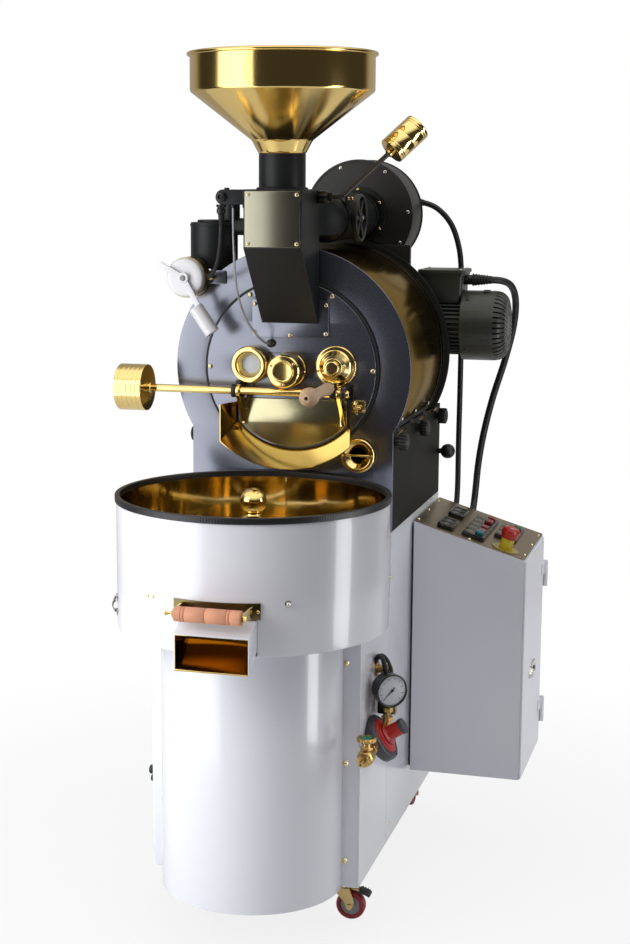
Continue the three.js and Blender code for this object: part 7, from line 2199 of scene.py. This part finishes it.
def makeRegulator(s):
    # disc, red face and knob about an axis tilted out of the machine's side
    x, z = s["x"], s["z"]
    tilt = math.radians(90 - s["tilt"])
    way = (math.sin(tilt), 0, math.cos(tilt))
    centre = (x, s["regulator"], z)

    def onRegulator(profile, sides=128, closed=False):
        return turned(profile, way, centre, sides, closed)
    disc = onRegulator(softened([(0, -13), (40, -13), (46, -11), (49, -7), (49, 7), (46.6, 11.4),
                                 (41, 13), (38.5, 13), (37.5, 11), (0, 11)], 2.0, 4))
    bore = tubeBetween((x, -240, z), (x, -110, z), 9.4, 32)
    wall = block((180, -260, 300), (217.4, -100, 450), 1, "z", 0.1)
    makePiece("regulatorBody", [carved([disc], [bore, wall])], regulatorGrey, ["gas_regulator"])
    rim = onRegulator(softRing([(9.4, 10.8), (37.3, 10.8), (36, 13.4), (26, 14.6), (24.6, 17),
                                (9.4, 17)], 0.8), 128, True)
    makePiece("regulatorFace", [rim], redPlastic)
    bolts = [screw(np.array(centre) + np.array(way) * 12.4 + 43.4
                   * (math.cos(a) * np.array((0, 1.0, 0)) + math.sin(a) * np.cross(way, (0, 1, 0))),
                   way, 2.2, 1.6, 1) for a in (math.radians(v) for v in range(30, 390, 60))]
    makePiece("regulatorScrews", bolts, darkSteel)
    knob = onRegulator(softened([(0, 13.8), (8.4, 13.8), (8.4, 17.6), (21.6, 17.6), (21.6, 19.6),
                                 (16.5, 22.5), (15, 27), (15, 57), (0, 57)], 1.4, 4), 96)
    makePiece("regulatorKnob", [knob], redPlastic, ["regulator_knob"], body="pressure_knob")
    cap = onRegulator(softened([(0, 50), (16.2, 50), (16.2, 58), (13.5, 59), (0, 59)], 1.2), 96)
    makePiece("regulatorKnobCap", [cap], regulatorGrey, body="pressure_knob")


def makeValveWheel(s):
    # a disc whose rim is drawn in between twelve lobes
    x, wheelZ = s["x"], s["wheelZ"]
    angle = np.arange(144) / 144 * 2 * np.pi
    rows = np.array([(4.4, 0.3, 0), (17, 0, 0), (19.6, 2, 1), (19.6, 7, 1), (17.6, 9, 1),
                     (12.5, 9, 0), (12, 6.8, 0), (4.4, 6.8, 0)])
    spread = rows[:, :1] * (1 - 0.07 * rows[:, 2:] * (1 - np.abs(np.cos(angle * 6))))
    points = np.stack([spread * np.cos(angle), spread * np.sin(angle),
                       np.repeat(rows[:, 1:2], len(angle), 1)], -1).reshape(-1, 3)
    wheel = (points + (x, s["valve"], wheelZ), gridFaces(len(rows), len(angle), closed=True))
    makePiece("valveWheel", [wheel], gasBrass, ["valve_handle"], body="gas_valve_handle")
    button = turned(softened([(0, 6.9), (11.6, 6.9), (11.6, 8.4), (9, 9.0), (0, 9.0)], 0.6), "z",
                    (x, s["valve"], wheelZ), 48)
    makePiece("valveButton", [button], greenPlastic, body="gas_valve_handle")


castorSettings = {"x": 172, "front": -212, "rear": 470, "trail": 20, "wheel": 30, "half": 11,
                  "gap": 15, "sheet": 2.5, "top": 70}


def castorLeg(s, turn, place):
    t = s["trail"]
    leg = np.array([(-19, 70), (t - 10, 38), (t - 7, 28), (t - 3, 23.4), (t + 3, 23.4), (t + 7, 28),
                    (t + 10, 42), (19, 70)], float)
    outline = softRing(leg.tolist(), 4, 4)
    shapes = [plate([outline], y, y + s["sheet"], "y", bevel=0.5)
              for y in (s["gap"], -s["gap"] - s["sheet"])]
    shapes.append(block((-19, -17.5, 67.4), (19, 17.5, 70), 3, "z", 0.7))
    axle = [roundBar(4, -19, 19, 0.6, "y", (t, 0, 30), 24),
            roundBar(6.4, 17.4, 20.8, 0.7, "y", (t, 0, 30), 6),
            roundBar(6.4, -20.6, -17.4, 0.7, "y", (t, 0, 30), 6)]
    return [shifted(rolled(a, "Z", turn), place) for a in shapes + axle]


def makeCastors(s):
    fixed = []
    for x in (-s["x"], s["x"]):
        for y in (s["front"], s["rear"]):
            fixed.append(block((x - 34, y - 34, 80), (x + 34, y + 34, 83), 5, "z", 0.6))
            fixed += [domeScrew((x + dx, y + dy, 80), (0, 0, -1), 3.6, 2.0) for dx in (-26, 26)
                      for dy in (-26, 26)]
        fixed += castorLeg(s, 90, (x, s["rear"] - s["trail"], 0))
        fixed += [roundBar(19, 69.6, 80.4, 0.8, "z", (x, s["rear"], 0), 48),
                  roundCut(5.9, 64.2, 81, "z", (x, s["front"], 0), 24)]
    floor = block((-213.5, -250.5, 83.2), (213.5, 520.5, 86), 2, "z", 0.4)
    makePiece("castorPlates", fixed, zinc, ["base_floor"])
    makePiece("baseFloorSheet", [floor], galvanised)
    for side, x in (("left", -s["x"]), ("right", s["x"])):
        place = (x, s["front"], 0)
        race = turned(softRing([(6.5, 69.8), (21, 69.8), (22.5, 73), (21, 79.6), (6.5, 79.6)], 1.2),
                      "z", place, 64, closed=True)
        hole = roundCut(6.5, 50, 90, "z", place, 32)
        legs = castorLeg(s, 0, place)
        legs[2] = carved([legs[2]], [hole])
        makePiece(side + "SwivelFork", legs + [race], zinc, ["front_fork_" + side],
                  body=side + "_swivel")
        bridge = [plate([[(10, 66.8), (34, 66.8), (48, 62), (48, 59.6), (33, 63.6), (10, 63.6)]],
                        -9, 9, "y", bevel=0.5)]
        makePiece(side + "PedalBracket", [shifted(p, place) for p in bridge], zinc,
                  body=side + "_swivel")
        tread = softRing([(38, 66.6), (58, 60.4), (61.6, 55), (59, 51.6), (52, 55.4), (40, 59)],
                         1.6, 3)
        pedal = [plate([tread], -12, 12, "y", bevel=1.4)]
        pedal += [plate([[(42 + i * 5, 66 - i * 1.6), (44 + i * 5, 65.4 - i * 1.6),
                          (44 + i * 5, 66.6 - i * 1.6), (42 + i * 5, 67.2 - i * 1.6)]], -11, 11,
                        "y", bevel=0.1) for i in range(3)]
        makePiece(side + "BrakePedal", [shifted(p, place) for p in pedal], blackPlastic,
                  body=side + "_swivel")


def makeWheels(s):
    # a tyre and a hub on each axle, named by its body and its node
    wheels = [("left_front_wheel", "front_wheel_left", (-s["x"] + s["trail"], s["front"]), "y"),
              ("right_front_wheel", "front_wheel_right", (s["x"] + s["trail"], s["front"]), "y"),
              ("left_rear_wheel", "rear_wheel_left", (-s["x"], s["rear"]), "x"),
              ("right_rear_wheel", "rear_wheel_right", (s["x"], s["rear"]), "x")]
    for body, node, (wx, wy), axis in wheels:
        r, h = s["wheel"], s["half"]
        centre = (wx, wy, r)
        tread = turned(softRing([(20, -h), (26, -h), (r, -7), (r, 7), (26, h), (20, h)], 2.6, 5),
                       axis, centre, 96, closed=True)
        hub = turned(softRing([(4.4, -13.4), (11.5, -13.4), (11.5, -8), (20.4, -8), (20.4, 8),
                               (11.5, 8), (11.5, 13.4), (4.4, 13.4)], 0.9), axis, centre, 64,
                     closed=True)
        makePiece(node.replace("_", "") + "Tyre", [tread], tyreRed, [node], body=body)
        makePiece(node.replace("_", "") + "Hub", [hub], hubGrey, body=body)


drumSettings = {
    "inner": 155, "outer": 158, "ends": (22, 396), "shaft": 14.9, "shaftEnds": (-44, 528),
    "spiders": (60, 380),
    "vaneEnds": (30, 388), "vaneTwist": 50, "vaneReach": (122, 155.4), "vaneHalf": 1.5, "rows": 40,
}


def makeDrumInside(s):
    # the drum's shell, its two spiders and four twisted vanes: each vane's rows turn with Y
    shell = roundSleeve(s["inner"], s["outer"], *s["ends"], 0.8, "y", drumAxis, 160)
    near, far = s["shaftEnds"]
    shaft = tubeBetween((0, near, drumZ), (0, far, drumZ), s["shaft"], 48)
    reach = s["inner"] - 1
    arms = [rolled(block((-reach, y, drumZ - 9), (reach, y + 8, drumZ + 9), 2, "x", 1.0), "Y", turn,
                   drumAxis) for y in s["spiders"] for turn in (0, 60, 120)]
    start, end = s["vaneEnds"]
    low, high = s["vaneReach"]
    half, count = s["vaneHalf"], s["rows"]
    vanes = []
    for k in range(4):
        y = np.linspace(start, end, count)
        a = np.radians(k * 90 + (y - start) / (end - start) * s["vaneTwist"])
        rows = [np.stack([r * np.cos(a) - side * np.sin(a), y,
                          drumZ + r * np.sin(a) + side * np.cos(a)], -1)
                for r, side in ((high, -half), (low, -half), (low, half), (high, half))]
        vanes.append((np.stack(rows, 1).reshape(-1, 3),
                      gridFaces(count, 4) + [f[::-1] for f in endFaces(count, 4)]))
    makePiece("drumShell", [shell, shaft], drumSteel, ["drum"], body="roasting_drum")
    makePiece("drumVanes", vanes + arms, drumSteel, body="roasting_drum")


makeCabinet(cabinetSettings)
makeHinges(cabinetSettings)
makeLock(cabinetSettings)
makePanel(panelSettings)
makeControllers(panelSettings)
makeSwitches(panelSettings)
makeStop(panelSettings)
print("stage: cabinet and control panel made")
makeGasPipes(gasSettings)
makeSolenoid(gasSettings)
makeGauge(gasSettings)
makeRegulator(gasSettings)
makeValveWheel(gasSettings)
makeCastors(castorSettings)
makeWheels(castorSettings)
makeDrumInside(drumSettings)
print("stage: gas train, castors and drum made")


# the two nodes that no piece stands for
repaint("tray_gearbox", motorPaint)
repaint("fan_impeller", brightSteel)
print("stage: frame painted")
